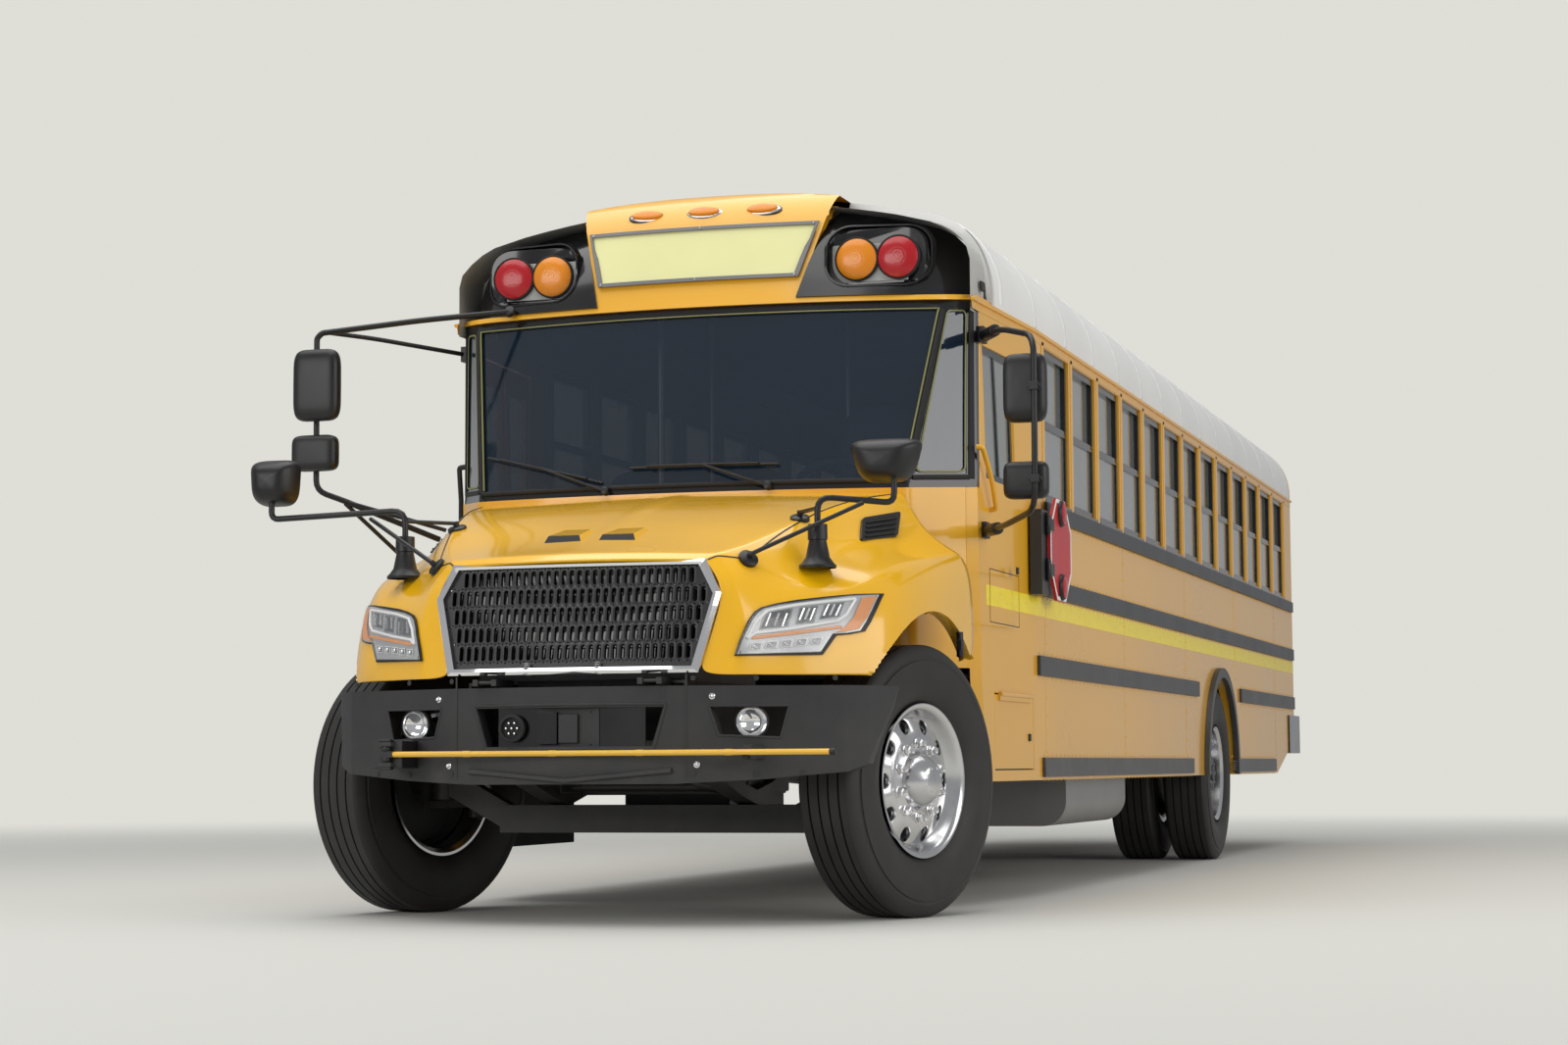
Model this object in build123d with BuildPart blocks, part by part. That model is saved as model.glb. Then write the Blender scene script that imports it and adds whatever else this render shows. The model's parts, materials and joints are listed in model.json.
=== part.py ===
from build123d import *
import math
import os

os.makedirs("parts", exist_ok=True)

# ---------------------------------------------------------------- driving sizes (mm)
# Frame: +X is the bus's left, -Y is its front, +Z is up, the tyres stand on z = 0.

# overall
# Stations are measured back from a datum plane just ahead of the front axle.
FRONT_REACH = 950.0          # datum to the face of the crossing gate
REAR_REACH = 10960.0         # datum to the face of the rear bumper
DATUM_Y = (FRONT_REACH - REAR_REACH) / 2
WHEELBASE = 6950.0
FRONT_HUB = 60.0             # station of the front axle
REAR_HUB = FRONT_HUB + WHEELBASE

# body section
HALF_WIDTH = 1219.0
WALL = 50.0
ROOF_T = 45.0
SKIRT_Z = 515.0
FLOOR_Z = 1020.0             # top of the floor
FLOOR_T = 45.0
SEAM_Z = 2511.0              # where the roof meets the side walls
SHOULDER_R = 380.0
CROWN_R = 4000.0
CROWN_Z = 3040.0

# lengthwise stations
WALL_FOOT = 813.0            # lower front corner of the side walls
CAP_BACK = 1000.0            # joint between front cap and roof
BODY_REAR = 10650.0          # outer face of the rear wall
REAR_T = 50.0
SKIRT_TAIL = 9670.0          # skirt sweeps up behind this station
TAIL_Z = 655.0

# nose: a raked line turned about a distant upright axis, so it bows in plan
NOSE_R = 4200.0
SILL_Z = 1735.0
SILL_Y = 402.0
HEAD_Z = 2511.0
HEAD_Y = 591.0
CAP_FOOT_Y = 572.0
CAP_BREAK = (683.0, 2871.0)
CAP_MID = (762.0, 2986.0)
CAP_TOP_Y = 985.0
CAP_T = 45.0
FRAME_T = 40.0
GLASS_T = 8.0
GLASS_SET = 8.0              # glass behind the face of its frame

# side windows
WINDOW_Z = (1773.0, 2461.0)
WINDOW_FIRST = 1862.0
WINDOW_PITCH = 646.8
PILLAR = 60.0
WINDOWS = 13
SASH = 30.0
SASH_T = 26.0
PANE_T = 6.0
DRIVER_WINDOW = ((735.0, 1762.0), (1290.0, 1762.0), (1290.0, 2328.0), (812.0, 2328.0))

# rails along the sides: bottom, top, front and rear stations
RAIL_T = 16.0
RAILS = (
    (528.0, 614.0, 1755.0, 5907.0),
    (528.0, 614.0, 7458.0, 9520.0),
    (975.0, 1063.0, 1675.0, 6149.0),
    (975.0, 1063.0, 7871.0, 10600.0),
    (1331.0, 1413.0, 1668.0, 10600.0),
    (1685.0, 1759.0, 1862.0, 10600.0),
)

# rear wheel arch and its flare
ARCH_R = 600.0
FLARE_W = 45.0
FLARE_OUT = 32.0

# entrance door, right side
DOOR_Y = (880.0, 1640.0)
DOOR_Z = (282.0, 2400.0)
DOOR_T = 40.0
MOVE_GAP = 6.0
HINGE_R = 10.0
SEAT_GAP = 0.3
STEP_IN = 774.0              # inboard face of the stepwell
STEP_Z = (240.0, 500.0, 760.0)
STEP_T = 15.0

# rear emergency door
TAIL_DOOR_HALF = 335.0
TAIL_DOOR_Z = (1060.0, 2440.0)
TAIL_WINDOW_X = (450.0, 1090.0)

# battery door, left skirt
BATTERY_Y = (836.0, 1585.0)
BATTERY_Z = (560.0, 880.0)
BATTERY_T = 20.0

# roof hatches
HATCH_Y = (3600.0, 8450.0)
HATCH = 600.0
CURB = 30.0
CURB_Z = 3056.0
LID_T = 28.0

# chassis
RAIL_X = (356.0, 432.0)
RAIL_Z = (640.0, 900.0)
RAIL_WEB = 10.0
RAIL_Y = (-790.0, 10700.0)
CROSS_Y = (-640.0, 1500.0, 3200.0, 4900.0, 6300.0, 7750.0, 9300.0, 10600.0)
FLOOR_BEAM_Y = (1900.0, 3500.0, 5200.0, 8600.0, 10200.0)

# wheels: hub height equals the tyre's radius
TYRE_R = 524.0
TYRE_HALF = 138.0
TREAD_HALF = 118.0
BEAD_R = 284.0
RIM_R = 297.0
RIM_HALF = 117.0
RIM_T = 9.0
BOLT_CIRCLE = 285.75
STUDS = 10
STUD_R = 12.0
HAND_HOLE_R = 27.0
HAND_HOLE_AT = 218.0
SPINDLE_R = 45.0
RUN = 0.05                   # running clearance, on the radius
KING_X = 905.0
WHEEL_OUT = 120.0            # kingpin to the wheel's middle plane
STEER_REST = 18.0            # wheels stand turned to the bus's right
KING_R = 24.0
ARM_BACK = 190.0
TIE_Z = 400.0
TIE_R = 19.0
DUAL_X = (745.0, 1075.0)

# hood
HOOD_FRONT = -835.0
HOOD_BACK = 385.0            # on the centre plane; bows back towards the sides
HOOD_Z = 915.0
HOOD_T = 30.0
NOSE_HALF = 560.0
GRILLE_TOP = 1345.0
GRILLE_BOTTOM = 931.0
COWL_TOP = 1700.0
FENDER_ARCH_R = 655.0
HOOD_HINGE = (-885.0, 897.0)
HOOD_PIN_R = 14.0
HOOD_PIN_X = (300.0, 350.0)

# bumpers
BUMPER_Z = (520.0, 878.0)
BUMPER_T = 60.0
GATE_Z = 634.0
GATE_R = 13.0
GATE_PIVOT = (-705.0, -933.0)
GATE_TIP = 1042.0
TAIL_BUMPER_Z = (655.0, 930.0)

# stop arm, left side
STOP_PIVOT = (1287.0, 1618.0)
STOP_MID = (1862.0, 1537.0)
STOP_ACROSS = 457.0
STOP_T = 14.0
STOP_BOX = ((1545.0, 1680.0), (1325.0, 1700.0))

# seats
ROWS = 12
ROW_FIRST = 2150.0
ROW_PITCH = 690.0
SEAT_X = (185.0, 1160.0)
SEAT_DEPTH = 390.0
SEAT_Z = (1360.0, 1480.0)
BACK_TOP = 2060.0
BACK_T = 90.0

# tow eyes
TOW_R = 26.0
TOW_T = 25.0
TOW_X = 394.0
FRONT_TOW = (480.0, -690.0, 750.0)

# licence plate bracket holes
PLATE_DX = 177.8
PLATE_DZ = 120.65
PLATE_HOLE_R = 3.5

IN = HALF_WIDTH - WALL
HUB_Z = TYRE_R
TURN = math.radians(STEER_REST)


# ---------------------------------------------------------------- helpers
def fa(station):
    """Y of a station measured back from the datum plane."""
    return DATUM_Y + station


def cross_plane(station):
    """Upright plane across the bus: local x is +X, local y is +Z."""
    return Plane(origin=(0, fa(station), 0), x_dir=(1, 0, 0), z_dir=(0, -1, 0))


def side_plane(x):
    """Upright plane along the bus: local x is +Y, local y is +Z."""
    return Plane(origin=(x, 0, 0), x_dir=(0, 1, 0), z_dir=(1, 0, 0))


def block(x, y, z, mode=Mode.ADD):
    """Box from its low and high X, stations and Z, in the current part."""
    centre = ((x[0] + x[1]) / 2, fa((y[0] + y[1]) / 2), (z[0] + z[1]) / 2)
    with Locations(centre):
        Box(abs(x[1] - x[0]), abs(y[1] - y[0]), abs(z[1] - z[0]), mode=mode)


def both(x):
    """The same X span on the left and on the right side."""
    return ((x[0], x[1]), (-x[1], -x[0]))


def rod(start, end, radius, mode=Mode.ADD):
    """Round bar between two points (x, station, z)."""
    a = Vector(start[0], fa(start[1]), start[2])
    b = Vector(end[0], fa(end[1]), end[2])
    with BuildSketch(Plane(origin=a, z_dir=(b - a))) as profile:
        Circle(radius)
    extrude(profile.sketch, amount=(b - a).length, mode=mode)


def side_prism(points, x, mode=Mode.ADD):
    """Outline of (station, z) points, extruded from x[0] to x[1]."""
    with BuildSketch(side_plane(x[0])) as profile:
        with BuildLine():
            Polyline([(fa(p[0]), p[1]) for p in points], close=True)
        make_face()
    extrude(profile.sketch, amount=x[1] - x[0], mode=mode)


def cross_prism(points, y, mode=Mode.ADD):
    """Outline of (x, z) points, extruded from station y[0] back to y[1]."""
    with BuildSketch(cross_plane(y[0])) as profile:
        with BuildLine():
            Polyline(points, close=True)
        make_face()
    extrude(profile.sketch, amount=-(y[1] - y[0]), mode=mode)


def plan_prism(points, z, mode=Mode.ADD):
    """Outline of (x, station) points, extruded from z[0] up to z[1]."""
    with BuildSketch(Plane.XY.offset(z[0])) as profile:
        with BuildLine():
            Polyline([(p[0], fa(p[1])) for p in points], close=True)
        make_face()
    extrude(profile.sketch, amount=z[1] - z[0], mode=mode)


def section(y, inset, z_base, mode=Mode.ADD):
    """Body section under the arched roof, set in by inset, between two stations."""
    half = HALF_WIDTH - inset
    r_shoulder = SHOULDER_R - inset
    r_crown = CROWN_R - inset
    z_crown = CROWN_Z - CROWN_R
    x_mid = HALF_WIDTH - SHOULDER_R
    z_mid = z_crown + math.sqrt((CROWN_R - SHOULDER_R) ** 2 - x_mid ** 2)
    a = math.atan2(z_mid - z_crown, x_mid)
    join = (r_crown * math.cos(a), z_crown + r_crown * math.sin(a))
    bend = (x_mid + r_shoulder * math.cos(a / 2), z_mid + r_shoulder * math.sin(a / 2))
    with BuildSketch(cross_plane(y[0])) as profile:
        with BuildLine():
            Polyline((half, z_mid), (half, z_base), (-half, z_base), (-half, z_mid))
            ThreePointArc((half, z_mid), bend, join)
            ThreePointArc(join, (0, z_crown + r_crown), (-join[0], join[1]))
            ThreePointArc((-join[0], join[1]), (-bend[0], bend[1]), (-half, z_mid))
        make_face()
    extrude(profile.sketch, amount=-(y[1] - y[0]), mode=mode)


def nose_line(z):
    """Station of the raked windshield line on the centre plane at height z."""
    return SILL_Y + (z - SILL_Z) * (HEAD_Y - SILL_Y) / (HEAD_Z - SILL_Z)


def bowed(x, z):
    """Station of the windshield surface at x and height z."""
    radius = NOSE_R + SILL_Y - nose_line(z)
    return SILL_Y + NOSE_R - math.sqrt(radius ** 2 - x ** 2)


def bow_wall(front, thick, z, mode=Mode.ADD):
    """Upright wall that bows in plan like the windshield."""
    axis_y = fa(SILL_Y + NOSE_R)
    with BuildSketch(side_plane(0)) as profile:
        with BuildLine():
            Polyline(
                (fa(front), z[0]),
                (fa(front), z[1]),
                (fa(front + thick), z[1]),
                (fa(front + thick), z[0]),
                close=True,
            )
        make_face()
    revolve(profile.sketch, axis=Axis((0, axis_y, 0), (0, 0, 1)), mode=mode)


def behind_glass(shift, z, mode):
    """Everything behind the raked windshield surface, moved back by shift."""
    axis_y = fa(SILL_Y + NOSE_R)
    with BuildSketch(side_plane(0)) as profile:
        with BuildLine():
            Polyline(
                (fa(nose_line(z[0]) + shift), z[0]),
                (fa(nose_line(z[1]) + shift), z[1]),
                (axis_y, z[1]),
                (axis_y, z[0]),
                close=True,
            )
        make_face()
    revolve(profile.sketch, axis=Axis((0, axis_y, 0), (0, 0, 1)), mode=mode)


def behind_cap(shift, z_low, mode):
    """Everything behind the front cap's surface, moved back by shift."""
    axis_y = fa(SILL_Y + NOSE_R)
    rake = (CAP_BREAK[0] - CAP_FOOT_Y) / (CAP_BREAK[1] - SEAM_Z)
    foot = CAP_FOOT_Y + rake * (z_low - SEAM_Z) + shift
    with BuildSketch(side_plane(0)) as profile:
        with BuildLine():
            Polyline(
                (fa(CAP_TOP_Y + shift), CROWN_Z - shift),
                (axis_y, CROWN_Z - shift),
                (axis_y, z_low),
                (fa(foot), z_low),
                (fa(CAP_BREAK[0] + shift), CAP_BREAK[1]),
            )
            ThreePointArc(
                (fa(CAP_BREAK[0] + shift), CAP_BREAK[1]),
                (fa(CAP_MID[0] + shift), CAP_MID[1] - shift * 0.6),
                (fa(CAP_TOP_Y + shift), CROWN_Z - shift),
            )
        make_face()
    revolve(profile.sketch, axis=Axis((0, axis_y, 0), (0, 0, 1)), mode=mode)


def window_span(index):
    """Front and rear stations of a passenger window."""
    front = WINDOW_FIRST + index * WINDOW_PITCH
    return front, front + WINDOW_PITCH - PILLAR


def windows(x, inset, mode=Mode.ADD):
    """All passenger windows of one side, or their panes when inset."""
    middle = sum(WINDOW_Z) / 2
    spans = [WINDOW_Z]
    if inset:
        spans = [(WINDOW_Z[0] + inset, middle - inset / 2), (middle + inset / 2, WINDOW_Z[1] - inset)]
    with BuildSketch(side_plane(x[0])) as profile:
        for index in range(WINDOWS):
            front, rear = window_span(index)
            for low, high in spans:
                with Locations((fa((front + rear) / 2), (low + high) / 2)):
                    Rectangle(rear - front - 2 * inset, high - low)
    extrude(profile.sketch, amount=x[1] - x[0], mode=mode)


def steered(x, y):
    """A point beside a kingpin, turned with the wheels as they stand."""
    return (
        x * math.cos(TURN) + y * math.sin(TURN),
        -x * math.sin(TURN) + y * math.cos(TURN),
    )


# ---------------------------------------------------------------- chassis
with BuildPart() as chassis_frame:
    for rail_x in both(RAIL_X):
        block(rail_x, RAIL_Y, RAIL_Z)
    for side in (1, -1):
        web = sorted((side * (RAIL_X[0] - 1), side * (RAIL_X[1] - RAIL_WEB)))
        inner_z = (RAIL_Z[0] + RAIL_WEB, RAIL_Z[1] - RAIL_WEB)
        block(web, (RAIL_Y[0] - 1, RAIL_Y[1] + 1), inner_z, Mode.SUBTRACT)
    for y in CROSS_Y:
        block((-RAIL_X[1] + RAIL_WEB, RAIL_X[1] - RAIL_WEB), (y, y + 60), (680, 860))
    for side in (1, -1):
        x = side * TOW_X
        block((x - TOW_T / 2, x + TOW_T / 2), (10600, 11000 - 60), (560, 650))
        rod((x - TOW_T, 10890, 605), (x + TOW_T, 10890, 605), TOW_R, Mode.SUBTRACT)
        x, y, z = side * FRONT_TOW[0], FRONT_TOW[1], FRONT_TOW[2]
        block(sorted((side * RAIL_X[1], x + side * 50)), (y - 50, y + 50), (z - TOW_T / 2, z + TOW_T / 2))
        rod((x, y, z - TOW_T), (x, y, z + TOW_T), TOW_R, Mode.SUBTRACT)
    for side in (1, -1):
        outer = (side * (HOOD_PIN_X[1] + 2), side * (HOOD_PIN_X[1] + 22))
        inner = (side * (HOOD_PIN_X[0] - 22), side * (HOOD_PIN_X[0] - 2))
        bar_z = (HOOD_HINGE[1] - 12, HOOD_HINGE[1] + 12)
        block(sorted(outer), (HOOD_HINGE[0] - 13, -680), bar_z)
        block(sorted(inner), (HOOD_HINGE[0] - 13, -720), bar_z)
        block(sorted((inner[0], side * RAIL_X[1])), (-760, -720), (bar_z[0], RAIL_Z[1]))
        rod((inner[0], *HOOD_HINGE), (outer[1], *HOOD_HINGE), HOOD_PIN_R / 2)
chassis_frame.part.label = "chassis_frame"
export_step(chassis_frame.part, "parts/chassis_frame.step")

with BuildPart() as floor_beams:
    for y in FLOOR_BEAM_Y:
        block((-IN, IN), (y, y + 70), (RAIL_Z[1], FLOOR_Z - FLOOR_T))
floor_beams.part.label = "floor_beams"
export_step(floor_beams.part, "parts/floor_beams.step")

ENGINE = ((-330.0, 330.0), (-560.0, 370.0), (600.0, 1300.0))
COOLER = ((-430.0, 430.0), (-690.0, -600.0), (910.0, 1280.0))
with BuildPart() as engine_block:
    block(*ENGINE)
    block(*COOLER)
    block((-120, 120), (COOLER[1][1], ENGINE[1][0]), (1000, 1200))
engine_block.part.label = "engine_block"
export_step(engine_block.part, "parts/engine_block.step")

EYE_R = 46.0
EYE_Z = (455.0, 593.0)
BEAM_Z = (322.0, 432.0)
SPRING_X = (355.0, 435.0)
SPRING_T = 50.0
with BuildPart() as front_axle:
    block((-640, 640), (FRONT_HUB - 48, FRONT_HUB + 48), BEAM_Z)
    for side in (1, -1):
        cross_prism(
            [(side * 600, BEAM_Z[0]), (side * (KING_X - 35), 470), (side * (KING_X - 35), 580),
             (side * 600, BEAM_Z[1])],
            (FRONT_HUB - 36, FRONT_HUB + 36),
        )
        king = (side * KING_X, FRONT_HUB)
        rod((*king, EYE_Z[0]), (*king, EYE_Z[1]), EYE_R)
        rod((*king, 400), (*king, 640), KING_R + RUN, Mode.SUBTRACT)
        spring = [(-660, 600), (-560, 560), (-200, 470), (0, BEAM_Z[1]), (200, 470), (560, 560),
                  (660, 600), (660, RAIL_Z[0]), (560, 610), (200, 520), (0, 490), (-200, 520),
                  (-560, 610), (-660, RAIL_Z[0])]
        side_prism(
            [(FRONT_HUB + y, z) for y, z in spring],
            sorted((side * SPRING_X[0], side * SPRING_X[1])),
        )
front_axle.part.label = "front_axle"
export_step(front_axle.part, "parts/front_axle.step")

AXLE_TUBE_R = 66.0
DIFF_R = 190.0
REAR_TUBE_X = 560.0
STUB_X = 1000.0
REAR_SPRING_TOP = 640.0
with BuildPart() as rear_axle:
    rod((-REAR_TUBE_X, REAR_HUB, HUB_Z), (REAR_TUBE_X, REAR_HUB, HUB_Z), AXLE_TUBE_R)
    rod((-STUB_X, REAR_HUB, HUB_Z), (STUB_X, REAR_HUB, HUB_Z), SPINDLE_R)
    with Locations((0, fa(REAR_HUB), HUB_Z)):
        Sphere(DIFF_R)
    rod((0, REAR_HUB - 330, HUB_Z), (0, REAR_HUB, HUB_Z), 90)
    for side in (1, -1):
        low, high = sorted((side * SPRING_X[0], side * SPRING_X[1]))
        y = REAR_HUB
        side_prism(
            [(y - 700, 600), (y - 500, 600), (y - 200, 588), (y, 578), (y + 200, 588), (y + 500, 600),
             (y + 700, 600), (y + 700, RAIL_Z[0]), (y - 700, RAIL_Z[0])],
            (low, high),
        )
rear_axle.part.label = "rear_axle"
export_step(rear_axle.part, "parts/rear_axle.step")

SHAFT_R = 50.0
with BuildPart() as drive_shaft:
    rod((0, ENGINE[1][1], 640), (0, 560, 640), SHAFT_R + 20)
    rod((0, 540, 640), (0, 3230, 600), SHAFT_R)
    rod((0, 3230, 600), (0, REAR_HUB - 390, HUB_Z), SHAFT_R - 4)
    rod((0, REAR_HUB - 410, HUB_Z), (0, REAR_HUB - 330, HUB_Z), SHAFT_R + 20)
    block((-75, 75), (3190, 3270), (530, 680))
drive_shaft.part.label = "drive_shaft"
export_step(drive_shaft.part, "parts/drive_shaft.step")

TANK = ((500.0, 1120.0), (2750.0, 4300.0))
TANK_Z = (290.0, 640.0)
with BuildPart() as fuel_tank:
    with BuildSketch(cross_plane(TANK[1][0])):
        with Locations(((TANK[0][0] + TANK[0][1]) / 2, (TANK_Z[0] + TANK_Z[1]) / 2)):
            RectangleRounded(TANK[0][1] - TANK[0][0], TANK_Z[1] - TANK_Z[0], 120)
    extrude(amount=-(TANK[1][1] - TANK[1][0]))
    for y in (3000, 4000):
        block((RAIL_X[1], TANK[0][1] - 150), (y, y + 60), (TANK_Z[1] - 20, TANK_Z[1] + 40))
fuel_tank.part.label = "fuel_tank"
export_step(fuel_tank.part, "parts/fuel_tank.step")

MUFFLER_R = 130.0
with BuildPart() as exhaust:
    rod((-640, 2000, 560), (-640, 3500, 560), MUFFLER_R)
    rod((-640, 3500, 560), (-640, 6050, 470), 50)
    rod((-640, 1100, 560), (-640, 2000, 560), 50)
    for y in (2200, 3300):
        block((-660, -432), (y, y + 50), (670, 700))
exhaust.part.label = "exhaust"
export_step(exhaust.part, "parts/exhaust.step")

BATTERY_X = (700.0, 1140.0)
with BuildPart() as underbody_boxes:
    block(BATTERY_X, (BATTERY_Y[0] + 10, BATTERY_Y[1] - 10), (590, 850))
    block((RAIL_X[1], BATTERY_X[0]), (BATTERY_Y[0] + 40, BATTERY_Y[0] + 100), (700, 800))
    block((RAIL_X[1], BATTERY_X[0]), (BATTERY_Y[1] - 100, BATTERY_Y[1] - 40), (700, 800))
    rod((560, 7700, 470), (560, 8500, 470), 110)
    rod((-560, 7700, 470), (-560, 8500, 470), 110)
    for x in (560, -560):
        low, high = sorted((x, math.copysign(RAIL_X[1], x)))
        block((low, high), (7900, 7960), (560, 680))
        block((low, high), (8300, 8360), (560, 680))
underbody_boxes.part.label = "underbody_boxes"
export_step(underbody_boxes.part, "parts/underbody_boxes.step")

# ---------------------------------------------------------------- body shell
COWL_FRONT = HOOD_BACK + MOVE_GAP
COWL_T = 55.0
HOUSE_X = 575.0              # inboard face of the rear wheelhouses
HOUSE_R = 640.0
HOUSE_Z = 1150.0
FIREWALL_BACK = 600.0
HOUSE_Y = (REAR_HUB - HOUSE_R, REAR_HUB + HOUSE_R)
WELL_Y = (DOOR_Y[0] - STEP_T, DOOR_Y[1] + STEP_T)
with BuildPart() as floor_panel:
    slab_z = (FLOOR_Z - FLOOR_T, FLOOR_Z)
    block((-IN, IN), (300, CAP_BACK), slab_z)
    bow_wall(COWL_FRONT + COWL_T, 2000, slab_z, Mode.INTERSECT)
    block((-IN, IN), (CAP_BACK, BODY_REAR - REAR_T), slab_z)
    block((HOUSE_X, IN + 1), HOUSE_Y, (slab_z[0] - 1, slab_z[1] + 1), Mode.SUBTRACT)
    block((-IN - 1, -HOUSE_X), HOUSE_Y, (slab_z[0] - 1, slab_z[1] + 1), Mode.SUBTRACT)
    block((-IN - 1, -STEP_IN), WELL_Y, (slab_z[0] - 1, slab_z[1] + 1), Mode.SUBTRACT)
floor_panel.part.label = "floor_panel"
export_step(floor_panel.part, "parts/floor_panel.step")

with BuildPart() as wheel_housings:
    for side in (1, -1):
        block(sorted((side * HOUSE_X, side * IN)), HOUSE_Y, (FLOOR_Z - FLOOR_T, HOUSE_Z))
        block(
            sorted((side * (HOUSE_X + STEP_T), side * (IN + 1))),
            (HOUSE_Y[0] + STEP_T, HOUSE_Y[1] - STEP_T),
            (FLOOR_Z - FLOOR_T - 1, HOUSE_Z - STEP_T),
            Mode.SUBTRACT,
        )
wheel_housings.part.label = "wheel_housings"
export_step(wheel_housings.part, "parts/wheel_housings.step")

with BuildPart() as stepwell:
    block((-IN, -STEP_IN), WELL_Y, (STEP_Z[0], FLOOR_Z))
    tread = (IN - STEP_IN) / 2
    for index in range(2):
        z_tread = STEP_Z[index] + STEP_T
        x_in = -IN + tread * (index + 1)
        block((-IN - 1, x_in), DOOR_Y, (z_tread, FLOOR_Z + 1), Mode.SUBTRACT)
    block(
        (-IN + tread + STEP_T, -STEP_IN + 1),
        (WELL_Y[0] - 1, WELL_Y[1] + 1),
        (STEP_Z[0] - 1, STEP_Z[1]),
        Mode.SUBTRACT,
    )
    block((-STEP_IN - STEP_T, -STEP_IN + 1), DOOR_Y, (FLOOR_Z, FLOOR_Z + 1), Mode.SUBTRACT)
stepwell.part.label = "stepwell"
export_step(stepwell.part, "parts/stepwell.step")

WALL_KNEE = bowed(HALF_WIDTH, SILL_Z) + FRAME_T + 1
WALL_HEAD = bowed(HALF_WIDTH, HEAD_Z) + FRAME_T + 1
for side, name in ((1, "left"), (-1, "right")):
    wall_x = sorted((side * IN, side * HALF_WIDTH))
    with BuildPart() as side_wall:
        side_prism(
            [(WALL_FOOT, SKIRT_Z), (SKIRT_TAIL, SKIRT_Z), (BODY_REAR - 420, TAIL_Z),
             (BODY_REAR - REAR_T, TAIL_Z), (BODY_REAR - REAR_T, SEAM_Z), (WALL_HEAD, SEAM_Z),
             (WALL_KNEE, SILL_Z)],
            wall_x,
        )
        windows((wall_x[0] - 1, wall_x[1] + 1), 0, Mode.SUBTRACT)
        rod(
            (side * (IN - 1), REAR_HUB, HUB_Z),
            (side * (HALF_WIDTH + 1), REAR_HUB, HUB_Z),
            ARCH_R,
            Mode.SUBTRACT,
        )
        if side > 0:
            side_prism(DRIVER_WINDOW, (wall_x[0] - 1, wall_x[1] + 1), Mode.SUBTRACT)
            block((wall_x[0] - 1, wall_x[1] + 1), BATTERY_Y, BATTERY_Z, Mode.SUBTRACT)
        else:
            block((wall_x[0] - 1, wall_x[1] + 1), DOOR_Y, (SKIRT_Z - 1, DOOR_Z[1]), Mode.SUBTRACT)
    side_wall.part.label = f"side_wall_{name}"
    export_step(side_wall.part, f"parts/side_wall_{name}.step")

with BuildPart() as roof:
    roof_y = (CAP_BACK, BODY_REAR - REAR_T)
    section(roof_y, 0, SEAM_Z)
    section(roof_y, ROOF_T, SEAM_Z - 1, Mode.SUBTRACT)
    for y in HATCH_Y:
        half = HATCH / 2
        block((-half, half), (y - half, y + half), (CROWN_Z - ROOF_T + 5, CURB_Z))
        half = HATCH / 2 - CURB
        block((-half, half), (y - half, y + half), (CROWN_Z - 100, CURB_Z + 1), Mode.SUBTRACT)
roof.part.label = "roof"
export_step(roof.part, "parts/roof.step")

for y, name in zip(HATCH_Y, ("front", "rear")):
    with BuildPart() as roof_hatch:
        half = HATCH / 2 + 12
        lid_z = (CURB_Z + SEAT_GAP, CURB_Z + SEAT_GAP + LID_T)
        block((-half, half), (y - half, y + half), lid_z)
        hinge = (y - half - HINGE_R, CURB_Z + SEAT_GAP + HINGE_R)
        block((-220, 220), (hinge[0], y - half + 5), (hinge[1], lid_z[1]))
        rod((-220, *hinge), (220, *hinge), HINGE_R)
        half = HATCH / 2 - 20
        block((-half, half), (y - half, y + half), (lid_z[1] - 1, lid_z[1] + 10))
    roof_hatch.part.label = f"roof_hatch_{name}"
    export_step(roof_hatch.part, f"parts/roof_hatch_{name}.step")

LAMP_Z = 2694.0
LAMP_R = 89.0
LAMP_X = (682.0, 862.0)
LAMP_FACE = 700.0
POCKET = ((580.0, 965.0), (2592.0, 2800.0))
with BuildPart() as cap_hollow:
    section((CAP_FOOT_Y - 20, CAP_BACK + 1), CAP_T, SEAM_Z - 1)
    behind_cap(CAP_T, SEAM_Z - 2, Mode.INTERSECT)

with BuildPart() as front_cap:
    section((CAP_FOOT_Y - 20, CAP_BACK), 0, SEAM_Z)
    behind_cap(0, SEAM_Z - 1, Mode.INTERSECT)
    add(cap_hollow.part, mode=Mode.SUBTRACT)
    for pocket_x in both(POCKET[0]):
        block(pocket_x, (LAMP_FACE + 6, LAMP_FACE + 70), POCKET[1])
        block(pocket_x, (CAP_FOOT_Y - 40, LAMP_FACE + 12), POCKET[1], Mode.SUBTRACT)
front_cap.part.label = "front_cap"
export_step(front_cap.part, "parts/front_cap.step")

HOUSING_OUT = 40.0
with BuildPart() as cap_outer:
    section((CAP_FOOT_Y - 90, CAP_BACK + 1), 0, SEAM_Z)

with BuildPart() as lamp_housings:
    for side in (1, -1):
        cross_prism(
            [(side * 449, 2555), (side * 520, 2530), (side * HALF_WIDTH, 2530), (side * HALF_WIDTH, 3040),
             (side * 640, 3040), (side * 553, 2935)],
            (CAP_FOOT_Y - 80, CAP_BACK - 100),
        )
    behind_cap(-HOUSING_OUT, 2500, Mode.INTERSECT)
    add(cap_outer.part, mode=Mode.INTERSECT)
    behind_cap(0, 2490, Mode.SUBTRACT)
    for pocket_x in both(POCKET[0]):
        block(pocket_x, (CAP_FOOT_Y - 120, LAMP_FACE + 71), POCKET[1], Mode.SUBTRACT)
lamp_housings.part.label = "lamp_housings"
export_step(lamp_housings.part, "parts/lamp_housings.step")

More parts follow.
